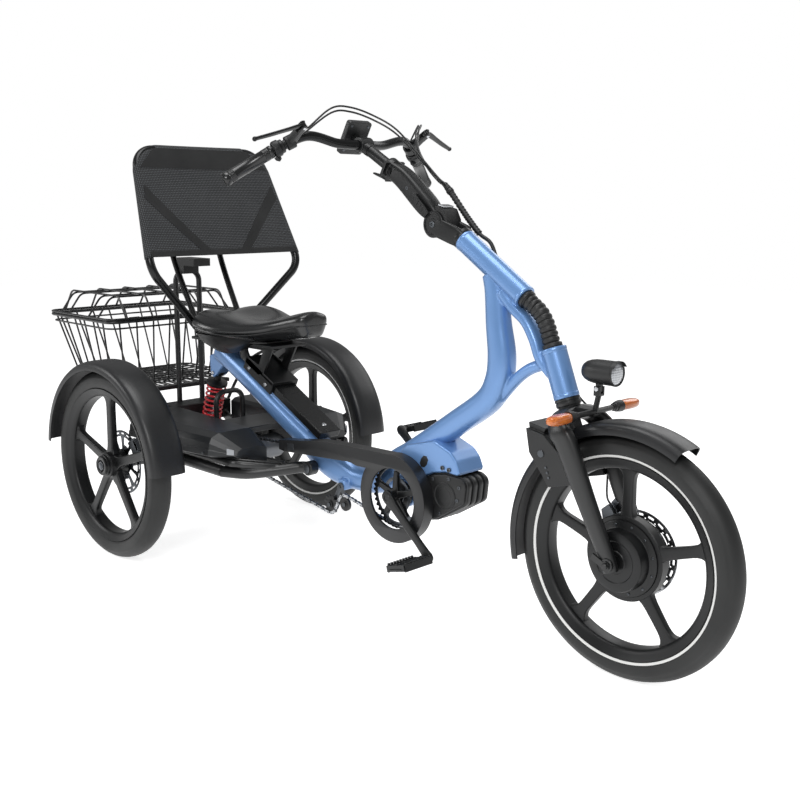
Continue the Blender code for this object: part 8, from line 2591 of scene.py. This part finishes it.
@dataclass
class Luggage:
    """The carrier, the wire basket on it and the hinged lid."""

    rear: float = REAR - 0.561
    front: float = REAR - 0.203
    half: float = 0.230
    floor_rear: float = REAR - 0.465
    floor_front: float = REAR - 0.231
    floor_half: float = 0.200
    rim: float = 0.609
    floor: float = 0.420
    lid: float = 0.680
    wire: float = 0.0025

    def rectangle(self, rear: float, front: float, half: float, height: float) -> Path:
        """A rounded rectangle of points at a height."""
        corners = [at(rear, -half, height), at(front, -half, height), at(front, half, height),
                   at(rear, half, height)]
        return rounded(corners, 0.030, 10, closed=True)

    def basket(self, bench: Bench) -> None:
        """Round wires: a doubled rim, bent uprights that run on under the floor, and cross wires.

        Args:
            bench: Where the pieces get their finish and body.
        """
        rim = self.rectangle(self.rear, self.front, self.half, self.rim)
        floor = self.rectangle(self.floor_rear, self.floor_front, self.floor_half, self.floor)
        belt = [p.lerp(q, 0.10) for p, q in zip(rim, floor)]
        thick = bench.wire_mesh("basket_rim", [(rim, True)], 0.0048, BLACK_POWDER, 16)
        bench.put("basket_rim", thick, "swing", BLACK_POWDER, replaces=["basket"])
        lines = [(floor, True), (belt, True)]
        for k in range(6):
            t = 0.12 + 0.76 * k / 5
            points = []
            for sign in (-1, 1):
                high = at(self.rear + (self.front - self.rear) * t, sign * (self.half - 0.002), self.rim)
                low = at(self.floor_rear + (self.floor_front - self.floor_rear) * t,
                         sign * self.floor_half, self.floor + 0.001)
                points += [high, low] if sign < 0 else [low, high]
            lines.append((rounded(points, 0.012, 4), False))
        for k in range(8):
            t = -0.86 + 1.72 * k / 7
            points = [at(self.rear + 0.002, t * self.half, self.rim),
                      at(self.floor_rear, t * self.floor_half, self.floor - 0.001),
                      at(self.floor_front, t * self.floor_half, self.floor - 0.001),
                      at(self.front - 0.002, t * self.half, self.rim)]
            lines.append((rounded(points, 0.012, 4), False))
        wires = bench.wire_mesh("basket_wires", lines, 0.0027, BLACK_POWDER, 8)
        bench.put("basket_wires", wires, "swing", BLACK_POWDER)

    def cover(self, bench: Bench) -> None:
        """The domed lid of hoops, and its clips.

        Args:
            bench: Where the pieces get their finish and body.
        """
        level = self.rim + 0.0045 + GAP + 0.0035
        edge = 0.0010
        frame = self.rectangle(self.rear - edge, self.front + edge, self.half + edge, level)
        bench.put("lid_rim", bench.wire_mesh("lid_rim", [(frame, True)], 0.0034, BLACK_POWDER, 14), "lid",
                  BLACK_POWDER,
                  replaces=["basket_lid"])
        lines = []
        for y in (-0.176, -0.088, 0.0, 0.088, 0.176):
            lines.append((rounded([at(self.rear, y, level), at(self.rear + 0.047, y, self.lid),
                                   at(self.front - 0.038, y, self.lid),
                                   at(self.front, y, level)], 0.030, 7), False))
        for station in (self.rear + 0.075, self.rear + 0.120, self.rear + 0.238, self.rear + 0.292):
            top = self.lid - 0.0044
            lines.append((rounded([at(station, -self.half, level), at(station, -0.186, top),
                                   at(station, 0.186, top),
                                   at(station, self.half, level)], 0.030, 7), False))
        bench.put("lid_hoops", bench.wire_mesh("lid_hoops", lines, 0.0030, BLACK_POWDER, 8), "lid",
                  BLACK_POWDER)
        clips = []
        for y in (-0.150, 0.150):
            clips.append(turned([(0.0037, -0.016), (0.0046, -0.016), (0.0048, -0.015), (0.0048, 0.015),
                                 (0.0046, 0.016), (0.0037, 0.016)],
                                at(self.front + edge, y, level), Y, 20))
        bench.solid("lid_clips", clips, "lid", DARK_PLASTIC)

    def carrier(self, bench: Bench) -> None:
        """The hoop, its bracket and the slatted rack.

        Args:
            bench: Where the pieces get their finish and body.
        """
        foot = REAR - 0.149
        beam_top = 0.365
        hoop = rounded([at(foot, -0.040, beam_top + GAP), at(foot, -0.040, 0.752), at(foot, 0.040, 0.752),
                        at(foot, 0.040, beam_top + GAP)], 0.032, 10)
        bench.solid("carrier_hoop", sweep(hoop, 0.0079, 24, side=X), "swing", BLACK_POWDER,
                    replaces=["rear_carrier"], crease=50)
        top = self.floor - self.wire - GAP
        low = top - 0.012
        bracket = [box(at(foot - 0.022, -0.026, 0.744), at(foot + 0.022, 0.026, 0.774)),
                   box(at(foot - 0.020, -0.028, 0.768), at(foot + 0.078, 0.028, 0.790)),
                   box(at(foot + 0.010, -0.018, 0.7885), at(foot + 0.068, 0.018, 0.7898))]
        bench.solid("carrier_bracket", bracket, "swing", DARK_PLASTIC, bevel=0.0030, segments=3)
        rails = [box(at(foot - 0.012, -0.140, low), at(foot + 0.004, 0.140, top)),
                 box(at(foot - 0.310, -0.140, low), at(foot - 0.298, 0.140, top))]
        bench.solid("carrier_rails", rails, "swing", BLACK_POWDER, bevel=0.0020)
        slats = []
        for k in range(9):
            y = -0.134 + 0.268 * k / 8
            slats.append((rounded([at(foot - 0.306, y, low + 0.0035), at(foot - 0.002, y, low + 0.0035)],
                                  0.01, 3), False))
            slats.append(([at(foot - 0.306, y, top - 0.0022), at(foot - 0.002, y, top - 0.0022)], False))
        for k in range(5):
            station = foot - 0.035 - 0.230 * k / 4
            slats.append(([at(station, -0.138, top - 0.0060), at(station, 0.138, top - 0.0060)], False))
        bench.put("carrier_slats", bench.wire_mesh("carrier_slats", slats, 0.0021, BLACK_POWDER, 10),
                  "swing", BLACK_POWDER)

    def build(self, bench: Bench) -> None:
        """Build basket, lid and carrier.

        Args:
            bench: Where the pieces get their finish and body.
        """
        self.basket(bench)
        self.cover(bench)
        self.carrier(bench)


@dataclass
class Shock:
    """The sprung strut between the boom's end and the rear frame."""

    spring: float = 0.0260
    wire: float = 0.0030
    turns: float = 7.5
    keep: float = 0.70

    def coil(self, top: Vector, foot: Vector) -> Path:
        """The spring's centre line, with a closed flat turn at each end.

        Args:
            top: The middle of the upper end.
            foot: The middle of the lower end.

        Returns:
            Points along the line.
        """
        axis = unit(top, foot)
        across = axis.cross(Y).normalized()
        other = axis.cross(across)
        length, dead, slope = (foot - top).length, 0.75, 0.0075
        rise = (length - 2 * dead * slope) / (self.turns - 2 * dead)
        points = []
        count = round(self.turns * 28)
        for k in range(count + 1):
            turn = self.turns * k / count
            if turn < dead:
                depth = slope * turn
            elif turn > self.turns - dead:
                depth = length - slope * (self.turns - turn)
            else:
                depth = slope * dead + rise * (turn - dead)
            angle = 2 * math.pi * turn
            points.append(top + axis * depth + across * (self.spring * math.cos(angle))
                          + other * (self.spring * math.sin(angle)))
        return points

    def build(self, bench: Bench) -> None:
        """Build damper body, rod and spring.

        Args:
            bench: Where the pieces get their finish and body.
        """
        top, foot = spot(SHOCK_TOP), spot(SHOCK_FOOT)
        axis = unit(top, foot)
        length = (foot - top).length
        spring_top, spring_foot, seat, end = 0.0390, length - 0.0275, self.spring + self.wire + 0.0013, 0.106
        eye = [(0.0043, -0.0110), (0.0122, -0.0110), (0.0130, -0.0102), (0.0130, 0.0102),
               (0.0122, 0.0110), (0.0043, 0.0110)]
        profile = [(0, 0.006), (0.0100, 0.006), (0.0105, 0.008), (0.0105, spring_top - 0.015),
                   (seat - 0.006, spring_top - 0.0095),
                   (seat, spring_top - 0.0085), (seat, spring_top - 0.0008), (seat - 0.0010, spring_top),
                   (0.0163, spring_top)]
        for k in range(12):
            d = spring_top + 0.004 + k * 0.0032
            profile += [(0.0163, d), (0.0155, d + 0.0010), (0.0163, d + 0.0020)]
        profile += [(0.0163, end - 0.004), (0.0150, end), (0.0093, end), (0.0093, 0.046), (0, 0.045)]
        bench.solid("damper_body", [turned(eye, top, Y, 40), turned(profile, top, axis, 44)],
                    "shock_upper", BLACK_CAST,
                    replaces=["shock_body"], crease=40)
        lower = [(0, 0.080), (0.0074, 0.080), (0.0074, spring_foot), (seat - 0.001, spring_foot),
                 (seat, spring_foot + 0.001),
                 (seat, spring_foot + 0.006), (seat - 0.004, spring_foot + 0.0078),
                 (0.0105, spring_foot + 0.010),
                 (0.0105, length - 0.007), (0.0098, length - 0.006), (0, length - 0.006)]
        bench.solid("damper_rod", [turned(eye, foot, Y, 40), turned(lower, top, axis, 44)], "shock_lower",
                    STEEL,
                    replaces=["shock_rod"], crease=40)
        inset = self.wire + GAP
        start, stop = top + axis * (spring_top + inset), top + axis * (spring_foot - inset)
        piece = bench.solid("coil_spring", sweep(self.coil(start, stop), self.wire, 14), "shock_upper",
                            SPRING_RED,
                            replaces=["shock_spring"], crease=60)
        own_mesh(piece)
        pins = [turned([(0, 0), (0.0062, 0), (0.0062, 0.0034), (0.0050, 0.0046), (0, 0.0046)],
                       centre + Y * sign * 0.0193, Y * sign, 6)
                for centre in (top,) for sign in (-1, 1)]
        bench.solid("damper_top_bolt", pins, "frame", STEEL, bevel=0.0004)
        pins = [turned([(0, 0), (0.0062, 0), (0.0062, 0.0034), (0.0050, 0.0046), (0, 0.0046)],
                       foot + Y * sign * 0.0193, Y * sign, 6)
                for sign in (-1, 1)]
        bench.solid("damper_foot_bolt", pins, "swing", STEEL, bevel=0.0004)


# Seat


@dataclass
class Seat:
    """Saddle, sliding carriage, backrest frame and its net."""

    tube: float = 0.0115
    plate_low: float = 0.5720
    plate_top: float = 0.5800
    rail_half: float = 0.035
    rail_base: float = 0.046
    rail_height: float = 0.022

    def saddle(self, bench: Bench) -> None:
        """A wide moulded vinyl saddle: winged tail, waisted nose, rolled shoulder and a piped seam.

        Args:
            bench: Where the pieces get their finish and body.
        """
        stations = [
            # station, half width, crown, wing rise, shoulder height, underside
            (-1.3530, 0.060, 0.634, 0.003, 0.622, 0.608), (-1.3480, 0.094, 0.645, 0.006, 0.622, 0.600),
            (-1.3380, 0.117, 0.6515, 0.009, 0.622, 0.592), (-1.3050, 0.146, 0.653, 0.013, 0.617, 0.5812),
            (-1.2620, 0.150, 0.646, 0.015, 0.611, 0.5806), (-1.2150, 0.141, 0.640, 0.010, 0.607, 0.5806),
            (-1.1650, 0.120, 0.638, 0.004, 0.606, 0.5816), (-1.1150, 0.094, 0.644, 0.000, 0.610, 0.5866),
            (-1.0650, 0.071, 0.656, -0.002, 0.620, 0.5936), (-1.0150, 0.058, 0.6685, -0.003, 0.632, 0.6005),
            (-0.9780, 0.050, 0.6755, -0.003, 0.640, 0.6065), (-0.9640, 0.040, 0.6725, -0.002, 0.642, 0.6130),
            (-0.9585, 0.024, 0.6640, -0.001, 0.642, 0.6220)]
        first = smooth([Vector(s[:3]) for s in stations], 5)
        second = smooth([Vector(s[3:]) for s in stations], 5)
        sides = 72
        rings, seam = [], []
        for a, b in zip(first, second):
            station, half, crown = a
            wing, shoulder, low = b
            ring = []
            for k in range(sides):
                angle = 2 * math.pi * (k + 0.5) / sides
                c, s = math.cos(angle), math.sin(angle)
                if s >= 0:
                    y = half * math.copysign(abs(c) ** 0.80, c)
                    share = (y / half) ** 2
                    channel = 0.0022 * math.exp(-(y / 0.012) ** 2) * max(0.0,
                            min(1.0, (-1.02 - station) / 0.08))
                    z = shoulder + (crown + wing * 4 * share * (1 - share) - shoulder) * s ** 0.55 - channel
                else:
                    # The skirt draws in under the shoulder, down to the moulded base.
                    tuck = 1 - 0.13 * math.sin(math.pi * min(1.0, -s * 1.15)) ** 0.8
                    y = half * 0.955 * math.copysign(abs(c) ** 0.70, c) * tuck
                    z = shoulder + (low - shoulder) * (-s) ** 0.60
                ring.append(at(station, y, z))
            rings.append(ring)
            seam.append((at(station, half * 0.985, shoulder - 0.0014),
                         at(station, -half * 0.985, shoulder - 0.0014)))
        shape = loft(rings)
        pad = bench.solid("saddle_pad", shape, "seat", SADDLE_VINYL, replaces=["saddle"], crease=70, levels=1)
        ring_line = [p for p, _ in seam] + [q for _, q in reversed(seam)]
        piping = bench.wire_mesh("saddle_piping", [(ring_line, True)], 0.0017, SOFT_RUBBER, 8)
        bench.put("saddle_piping", piping, "seat", SOFT_RUBBER)
        for sign in (-1, 1):
            rings = []
            for station, half, low, foot in ((-1.346, 0.098, 0.590, 0.090), (-1.330, 0.118, 0.566, 0.084),
                                             (-1.300, 0.136, 0.546, 0.070),
                                             (-1.262, 0.138, 0.541, 0.060), (-1.215, 0.128, 0.552, 0.058),
                                             (-1.165, 0.106, 0.570, 0.058),
                                             (-1.128, 0.084, 0.588, 0.060)):
                ring = [at(station, sign * half, 0.600),
                        at(station, sign * (half * 0.6 + foot * 0.4), 0.600 * 0.45 + low * 0.55),
                        at(station, sign * foot, low), at(station, sign * (foot - 0.0035), low + 0.0015),
                        at(station, sign * (half * 0.6 + foot * 0.4 - 0.005),
                           0.600 * 0.45 + low * 0.55 + 0.002),
                        at(station, sign * (half - 0.008), 0.600)]
                rings.append(ring if sign > 0 else list(reversed(ring)))
            shell = loft([list(p) for p in zip(*[smooth([Vector(r[k]) for r in rings],
                    4) for k in range(6)])])
            bench.solid(f"saddle_shell_{'left' if sign > 0 else 'right'}", shell.outward(), "seat",
                        DARK_PLASTIC, crease=50)
        base = [(-1.318, 0.084), (-1.300, 0.100), (-1.250, 0.104), (-1.190, 0.088), (-1.130, 0.062),
                (-1.108, 0.044)]
        outline = [at(a, b, 0.5803) for a, b in base] + [at(a, -b, 0.5803) for a, b in reversed(base)]
        shell = prism(outline, Z * 0.006)
        bench.solid("saddle_base", shell, "seat", DARK_PLASTIC, bevel=0.0015, crease=50)

    def carriage(self, bench: Bench) -> None:
        """The pressed carriage that clamps on the rail.

        Args:
            bench: Where the pieces get their finish and body.
        """
        under = self.rail_base + self.rail_height + GAP
        a, b = boom_point(-1.238), boom_point(-1.122)
        jaw_in = self.rail_half + GAP
        jaw_out, jaw_low = jaw_in + 0.008, self.rail_base - 0.004
        shapes = [beam(a + BOOM_UP * (under + 0.006), b + BOOM_UP * (under + 0.006), jaw_out, 0.006)]
        for sign in (-1, 1):
            mid = Y * sign * (jaw_in + jaw_out) / 2
            height = (under + 0.008 + jaw_low) / 2
            shapes.append(beam(a + BOOM_UP * height + mid, b + BOOM_UP * height + mid, 0.004,
                               (under + 0.008 - jaw_low) / 2))
        shapes.append(box(at(-1.278, -0.060, self.plate_low), at(-1.070, 0.060, self.plate_top)))
        for sign in (-1, 1):
            near, far = sorted((sign * 0.0500, sign * 0.0900))
            shapes.append(box(at(-1.394, near, self.plate_low), at(-1.262, far, self.plate_top)))
        bench.solid("carriage_frame", shapes, "seat", BLACK_CAST, replaces=["seat_carriage"],
                    bevel=0.0016, crease=35)
        low = self.plate_low
        web = [(-1.236, low + 0.002), (-1.228, 0.532), (-1.150, 0.492), (-1.128, 0.500),
               (-1.085, low + 0.002)]
        window = eased([(-1.205, 0.562), (-1.190, 0.536), (-1.148, 0.520), (-1.128, 0.562)], 0.006, 5)
        webs = []
        for sign in (-1, 1):
            mid = at(0, sign * (jaw_out - 0.00325), 0)
            webs.append(plate(eased(web, 0.003, 3), [window], mid, 0.0065, 0.0009))
        bench.solid("carriage_webs", webs, "seat", BLACK_CAST, crease=35)
        bolts = []
        for sign in (-1, 1):
            for station in (-1.215, -1.145):
                place = (boom_point(station) + BOOM_UP * (self.rail_base + 0.012)
                         + Y * sign * (jaw_out - 0.0002))
                bolts.append(turned([(0, 0), (0.0052, 0), (0.0056, 0.0010), (0.0056, 0.0032),
                                     (0.0046, 0.0042), (0.0026, 0.0042),
                                     (0.0024, 0.0020), (0, 0.0020)], place, Y * sign, 22))
        bench.solid("carriage_bolts", bolts, "seat", STEEL)

    def hoop(self) -> Path:
        """The backrest tube's centre line."""
        foot = at(-1.374, -0.072, self.plate_top + GAP)
        low, top = at(-1.331, -0.2515, 0.772), at(-1.4635, -0.2060, 1.0910)
        half = rounded([foot, foot + Z * 0.014, low, top, at(-1.4635, 0, 1.0910)], 0.062, 12)
        half = [foot, foot + Z * 0.012] + [p for p in half if (p - foot).length > 0.05]
        return half + list(reversed(mirror(half[:-1])))

    def backrest(self, bench: Bench) -> None:
        """The bent tube and the two stays behind it.

        Args:
            bench: Where the pieces get their finish and body.
        """
        stay = smooth([at(-1.372, -0.078, 0.603), at(-1.400, -0.076, 0.640), at(-1.484, -0.080, 0.790),
                       at(-1.498, -0.080, 0.870), at(-1.476, -0.080, 1.040), at(-1.4640, -0.080, 1.0900)], 8)
        line = self.hoop()
        ends = [turned([(0, 0), (0.0150, 0), (0.0155, 0.0006), (0.0155, 0.0030), (0.0125, 0.0042),
                        (0, 0.0042)], line[k] - Z * 0.0002, Z, 32)
                for k in (0, -1)]
        bench.solid("backrest_tubes", [sweep(line, self.tube, 28, side=None), *ends,
                                       *both([sweep(stay, 0.0084, 20, side=Y)])], "seat",
                    BLACK_TUBE, replaces=["backrest_frame"], crease=55)

    def net(self, bench: Bench) -> None:
        """The net: hung in front of the tubes, dished between them and rolled round them at its edges.

        Args:
            bench: Where the pieces get their finish and body.
        """
        low, top = at(-1.331, -0.2515, 0.772), at(-1.4635, -0.2060, 1.0910)
        up = unit(low, Vector((top.x, low.y, top.z)))
        forward = Vector((up.z, 0, -up.x))
        start, finish = (0.803 - low.z) / up.z, (top.z - low.z) / up.z
        slope = (abs(low.y) - abs(top.y)) / finish
        rows, columns, wrap = 44, 48, 8
        reach = self.tube + 0.0012
        corner = 0.066
        points, uvs = [], []
        half_turn = math.radians(118)
        base = Vector((low.x, 0, low.z))

        def edge_at(height: float) -> float:
            """Half the width between the tubes' centre lines at a height up the panel.

            Args:
                height: The height up the panel.

            Returns:
                Half the width.
            """
            half = abs(low.y) - slope * height
            into = height - (finish - corner)
            if into > 0:
                half -= corner - math.sqrt(max(0.0, corner ** 2 - min(corner, into) ** 2))
            return half

        count = columns + 2 * wrap + 1
        for row in range(rows + 1):
            share = row / rows
            height = start + (finish - start) * share
            half = edge_at(height)
            arc = reach * half_turn
            for column in range(count):
                if wrap <= column <= wrap + columns:
                    t = -1 + 2 * (column - wrap) / columns
                    dish = 0.0070 * (1 - t * t) * math.sin(math.pi * min(1.0, share * 0.92 + 0.04))
                    y, depth, across = half * t, reach - dish, half * t
                else:
                    sign = -1 if column < wrap else 1
                    step = (wrap - column) if sign < 0 else (column - wrap - columns)
                    angle = half_turn * step / wrap
                    y, depth = sign * (half + reach * math.sin(angle)), reach * math.cos(angle)
                    across = sign * (half + arc * step / wrap)
                points.append(base + up * height + Y * y + forward * depth)
                uvs.append((across, height))
        roll = 8
        for step in range(1, roll + 1):
            angle = half_turn * step / roll
            for column in range(count):
                last = points[rows * count + column]
                flat = last - base
                depth = flat.dot(forward)
                points.append(last + up * (reach * math.sin(angle))
                              + forward * ((reach * math.cos(angle) - reach) * (1 if depth > 0 else 0)))
                uvs.append((uvs[rows * count + column][0], finish + reach * angle))
        faces = []
        for row in range(rows + roll):
            for column in range(count - 1):
                a = row * count + column
                faces.append((a, a + count, a + count + 1, a + 1))
        mesh = bpy.data.meshes.new("back_net")
        mesh.from_pydata([tuple(p) for p in points], [], faces)
        layer = mesh.uv_layers.new(name="cloth")
        for loop in mesh.loops:
            layer.data[loop.index].uv = uvs[loop.vertex_index]
        mesh.update()
        if sum((p.normal.dot(forward) for p in mesh.polygons)) < 0:
            mesh.flip_normals()
        net = bench.put("back_net", mesh, "seat", NET, replaces=["backrest_mesh"], crease=80)
        thick = net.modifiers.new("cloth_thickness", "SOLIDIFY")
        thick.thickness = 0.0008
        thick.offset = 0.0
        wide, tall = 2 * (edge_at(start) + reach * half_turn), finish - start + reach * half_turn
        self.bands(bench, base, up, forward, start, finish, edge_at, reach)

    def bands(self, bench: Bench, base: Vector, up: Vector, forward: Vector, start: float, finish: float,
              edge_at: Callable[[float], float],
              reach: float) -> None:
        """Sewn bands over the net: along the top, along the foot and two on the slant.

        Args:
            bench: The bench.
            base: The panel's origin in the mid plane.
            up: The panel's upward direction.
            forward: The panel's outward direction.
            start: The panel's foot.
            finish: The panel's top.
            edge_at: Half the panel's width at a height.
            reach: The net's distance from the tubes' centre lines.
        """
        def strip(corners: Sequence[Pair], steps: int = 24) -> Shape:
            """A flat band that follows the net.

            Args:
                corners: Its four (across, up) corners from the low left one.
                steps: How many stretches it has along its length.

            Returns:
                The band.
            """
            low_left, low_right, high_right, high_left = (Vector((a, b, 0)) for a, b in corners)
            rings = []
            for k in range(steps + 1):
                t = k / steps
                ring = []
                for end, lift in ((low_left.lerp(low_right, t), 0.0006),
                                  (high_left.lerp(high_right, t), 0.0006),
                                  (high_left.lerp(high_right, t), -0.0003),
                                  (low_left.lerp(low_right, t), -0.0003)):
                    half = edge_at(end.y)
                    share = (end.y - start) / (finish - start)
                    u = max(-1.0, min(1.0, end.x / half))
                    dish = 0.0070 * (1 - u * u) * math.sin(math.pi * min(1.0, share * 0.92 + 0.04))
                    ring.append(base + up * end.y + Y * end.x + forward * (reach - dish + 0.0005 + lift))
                rings.append(ring)
            return loft(rings)

        def wide(height: float, inset: float) -> float:
            """Half the panel's width at a height, less an inset."""
            return edge_at(height) - inset

        shapes = []
        top_low, foot_high = finish - 0.058, start + 0.016
        shapes.append(strip([(-wide(top_low, 0.0), top_low), (wide(top_low, 0.0), top_low),
                             (wide(finish - 0.002, 0.0), finish - 0.002),
                             (-wide(finish - 0.002, 0.0), finish - 0.002)]))
        shapes.append(strip([(-wide(start, 0.0), start + 0.0005), (wide(start, 0.0), start + 0.0005),
                             (wide(foot_high, 0.0), foot_high),
                             (-wide(foot_high, 0.0), foot_high)]))
        for sign in (-1, 1):
            shapes.append(strip([(sign * 0.046, start + 0.008),
                                 (sign * wide(start + 0.205, 0.006), start + 0.205),
                                 (sign * wide(start + 0.166, 0.003), start + 0.166),
                                 (sign * 0.078, start + 0.008)]))
        bench.solid("back_net_bands", [s.outward() for s in shapes], "seat", BAND, crease=60)

    def build(self, bench: Bench) -> None:
        """Build the whole seat.

        Args:
            bench: Where the pieces get their finish and body.
        """
        self.saddle(bench)
        self.carriage(bench)
        self.backrest(bench)
        self.net(bench)


# The room


@dataclass
class Studio:
    """The floor, the lamps and the camera."""

    place: tuple[float, float, float] = (1.974939, -1.77706, 0.97046)
    yaw: float = 2.355792
    pitch: float = -0.189630
    roll: float = 0.006429
    lens: float = 47.804
    floor_half: float = 9.0

    def camera(self) -> None:
        """Place the camera where the photograph was taken from."""
        forward = Vector((math.cos(self.pitch) * math.cos(self.yaw),
                          math.cos(self.pitch) * math.sin(self.yaw),
                          math.sin(self.pitch)))
        level = forward.cross(Z).normalized()
        above = level.cross(forward)
        right = level * math.cos(self.roll) + above * math.sin(self.roll)
        up = above * math.cos(self.roll) - level * math.sin(self.roll)
        data = bpy.data.cameras.new("camera")
        data.lens = self.lens
        data.sensor_width = 36.0
        data.clip_end = 60.0
        camera = bpy.data.objects.new("camera", data)
        turn = Matrix((right, up, -forward)).transposed().to_4x4()
        camera.matrix_world = Matrix.Translation(Vector(self.place)) @ turn
        bpy.context.scene.collection.objects.link(camera)
        bpy.context.scene.camera = camera

    @staticmethod
    def seen(tree: bpy.types.NodeTree) -> bpy.types.NodeSocket:
        """One for rays from the eye or from a mirror, and nought for light on the object.

        Args:
            tree: The tree that asks.

        Returns:
            The socket with the answer.
        """
        path = add_node(tree, "ShaderNodeLightPath")
        first = add_node(tree, "ShaderNodeMath",
                         {0: path.outputs["Is Camera Ray"], 1: path.outputs["Is Glossy Ray"]},
                         operation="MAXIMUM")
        return add_node(tree, "ShaderNodeMath", {0: first.outputs[0], 1: path.outputs["Is Transmission Ray"]},
                        operation="MAXIMUM").outputs[0]

    def floor(self) -> None:
        """A plain white floor that still takes the object's soft shadow."""
        mesh = bpy.data.meshes.new("floor")
        half = self.floor_half
        mesh.from_pydata([(-half, -half, 0), (half, -half, 0), (half, half, 0), (-half, half, 0)], [],
                         [(0, 1, 2, 3)])
        made = bpy.data.materials.new("matt_white_floor")
        made.use_nodes = True
        tree = made.node_tree
        tree.nodes.clear()
        matt = add_node(tree, "ShaderNodeBsdfDiffuse", {"Color": linear("EDEDED")})
        strength = add_node(tree, "ShaderNodeMath", {0: self.seen(tree), 1: 0.74}, operation="MULTIPLY")
        glow = add_node(tree, "ShaderNodeEmission", {"Color": (1, 1, 1, 1), "Strength": strength.outputs[0]})
        both = add_node(tree, "ShaderNodeAddShader", {0: matt.outputs[0], 1: glow.outputs[0]})
        add_node(tree, "ShaderNodeOutputMaterial", {"Surface": both.outputs[0]})
        mesh.materials.append(made)
        floor = bpy.data.objects.new("floor", mesh)
        bpy.context.scene.collection.objects.link(floor)

    def world(self) -> None:
        """A white room: white to the eye and to mirrors, dimmer as light."""
        world = bpy.data.worlds.new("white_room")
        world.use_nodes = True
        tree = world.node_tree
        tree.nodes.clear()
        level = add_node(tree, "ShaderNodeMapRange",
                         {"Value": self.seen(tree), "To Min": 0.31, "To Max": 1.0})
        path = add_node(tree, "ShaderNodeLightPath")
        mirror_dim = add_node(tree, "ShaderNodeMapRange", {
            "Value": path.outputs["Is Glossy Ray"], "To Min": 1.0, "To Max": 0.36})
        strength = add_node(tree, "ShaderNodeMath", {0: level.outputs[0], 1: mirror_dim.outputs[0]},
                            operation="MULTIPLY")
        sky = add_node(tree, "ShaderNodeBackground", {"Color": (1, 1, 1, 1), "Strength": strength.outputs[0]})
        add_node(tree, "ShaderNodeOutputWorld", {"Surface": sky.outputs[0]})
        bpy.context.scene.world = world

    def lamps(self) -> None:
        """Three large soft boxes."""
        target = Vector((0.1, 0.0, 0.45))
        for name, place, size, power in (
                ("soft_box_front", (2.3, -2.9, 2.6), (1.5, 1.1), 66.0),
                ("soft_box_side", (-2.4, -2.6, 1.9), (1.2, 1.4), 30.0),
                ("soft_box_back", (0.2, 3.0, 2.4), (2.6, 1.4), 26.0),
                ("soft_box_top", (0.0, -0.3, 3.4), (1.9, 1.6), 46.0)):
            data = bpy.data.lights.new(name, "AREA")
            data.shape = "RECTANGLE"
            data.size, data.size_y = size
            data.energy = power
            lamp = bpy.data.objects.new(name, data)
            lamp.location = place
            lamp.rotation_euler = (target - Vector(place)).to_track_quat("-Z", "Y").to_euler()
            bpy.context.scene.collection.objects.link(lamp)

    def build(self) -> None:
        """Set the room up."""
        self.camera()
        self.floor()
        self.world()
        self.lamps()
        bpy.context.scene.view_settings.view_transform = "Standard"


def main() -> None:
    """Load the frame, set up the room and build every sub-assembly in order."""
    logging.basicConfig(level=logging.INFO, format="%(message)s")
    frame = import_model()
    Studio().build()
    bench = Bench(frame["nodes"])
    front_axle = at(0, 0, AXLE_HEIGHT)
    Wheel("front", "front_wheel", front_axle, -1, 0.090, 0.044, 0.084).build(bench)
    HubMotor(front_axle).build(bench)
    for side, sign in (("right", -1), ("left", 1)):
        Wheel(side, f"{side}_wheel", at(-WHEELBASE, sign * HALF_TRACK, AXLE_HEIGHT), sign, 0.087,
              -sign * 0.0313,
              0.034).build(bench)
    Mudguard("front_mudguard", "fork", front_axle, 0.281, 0.040, math.radians(62),
             math.radians(193)).build(bench)
    Fork().build(bench)
    MainFrame().build(bench)
    Drive().build(bench)
    Column().build(bench)
    Bar().build(bench)
    RearFrame().build(bench)
    for side, sign in (("right", -1), ("left", 1)):
        Mudguard(f"rear_mudguard_{side}", "swing", at(REAR, sign * HALF_TRACK, AXLE_HEIGHT), 0.283, 0.050,
                 math.radians(4),
                 math.radians(174)).build(bench)
    Luggage().build(bench)
    Shock().build(bench)
    Seat().build(bench)


if __name__ == "__main__":
    main()
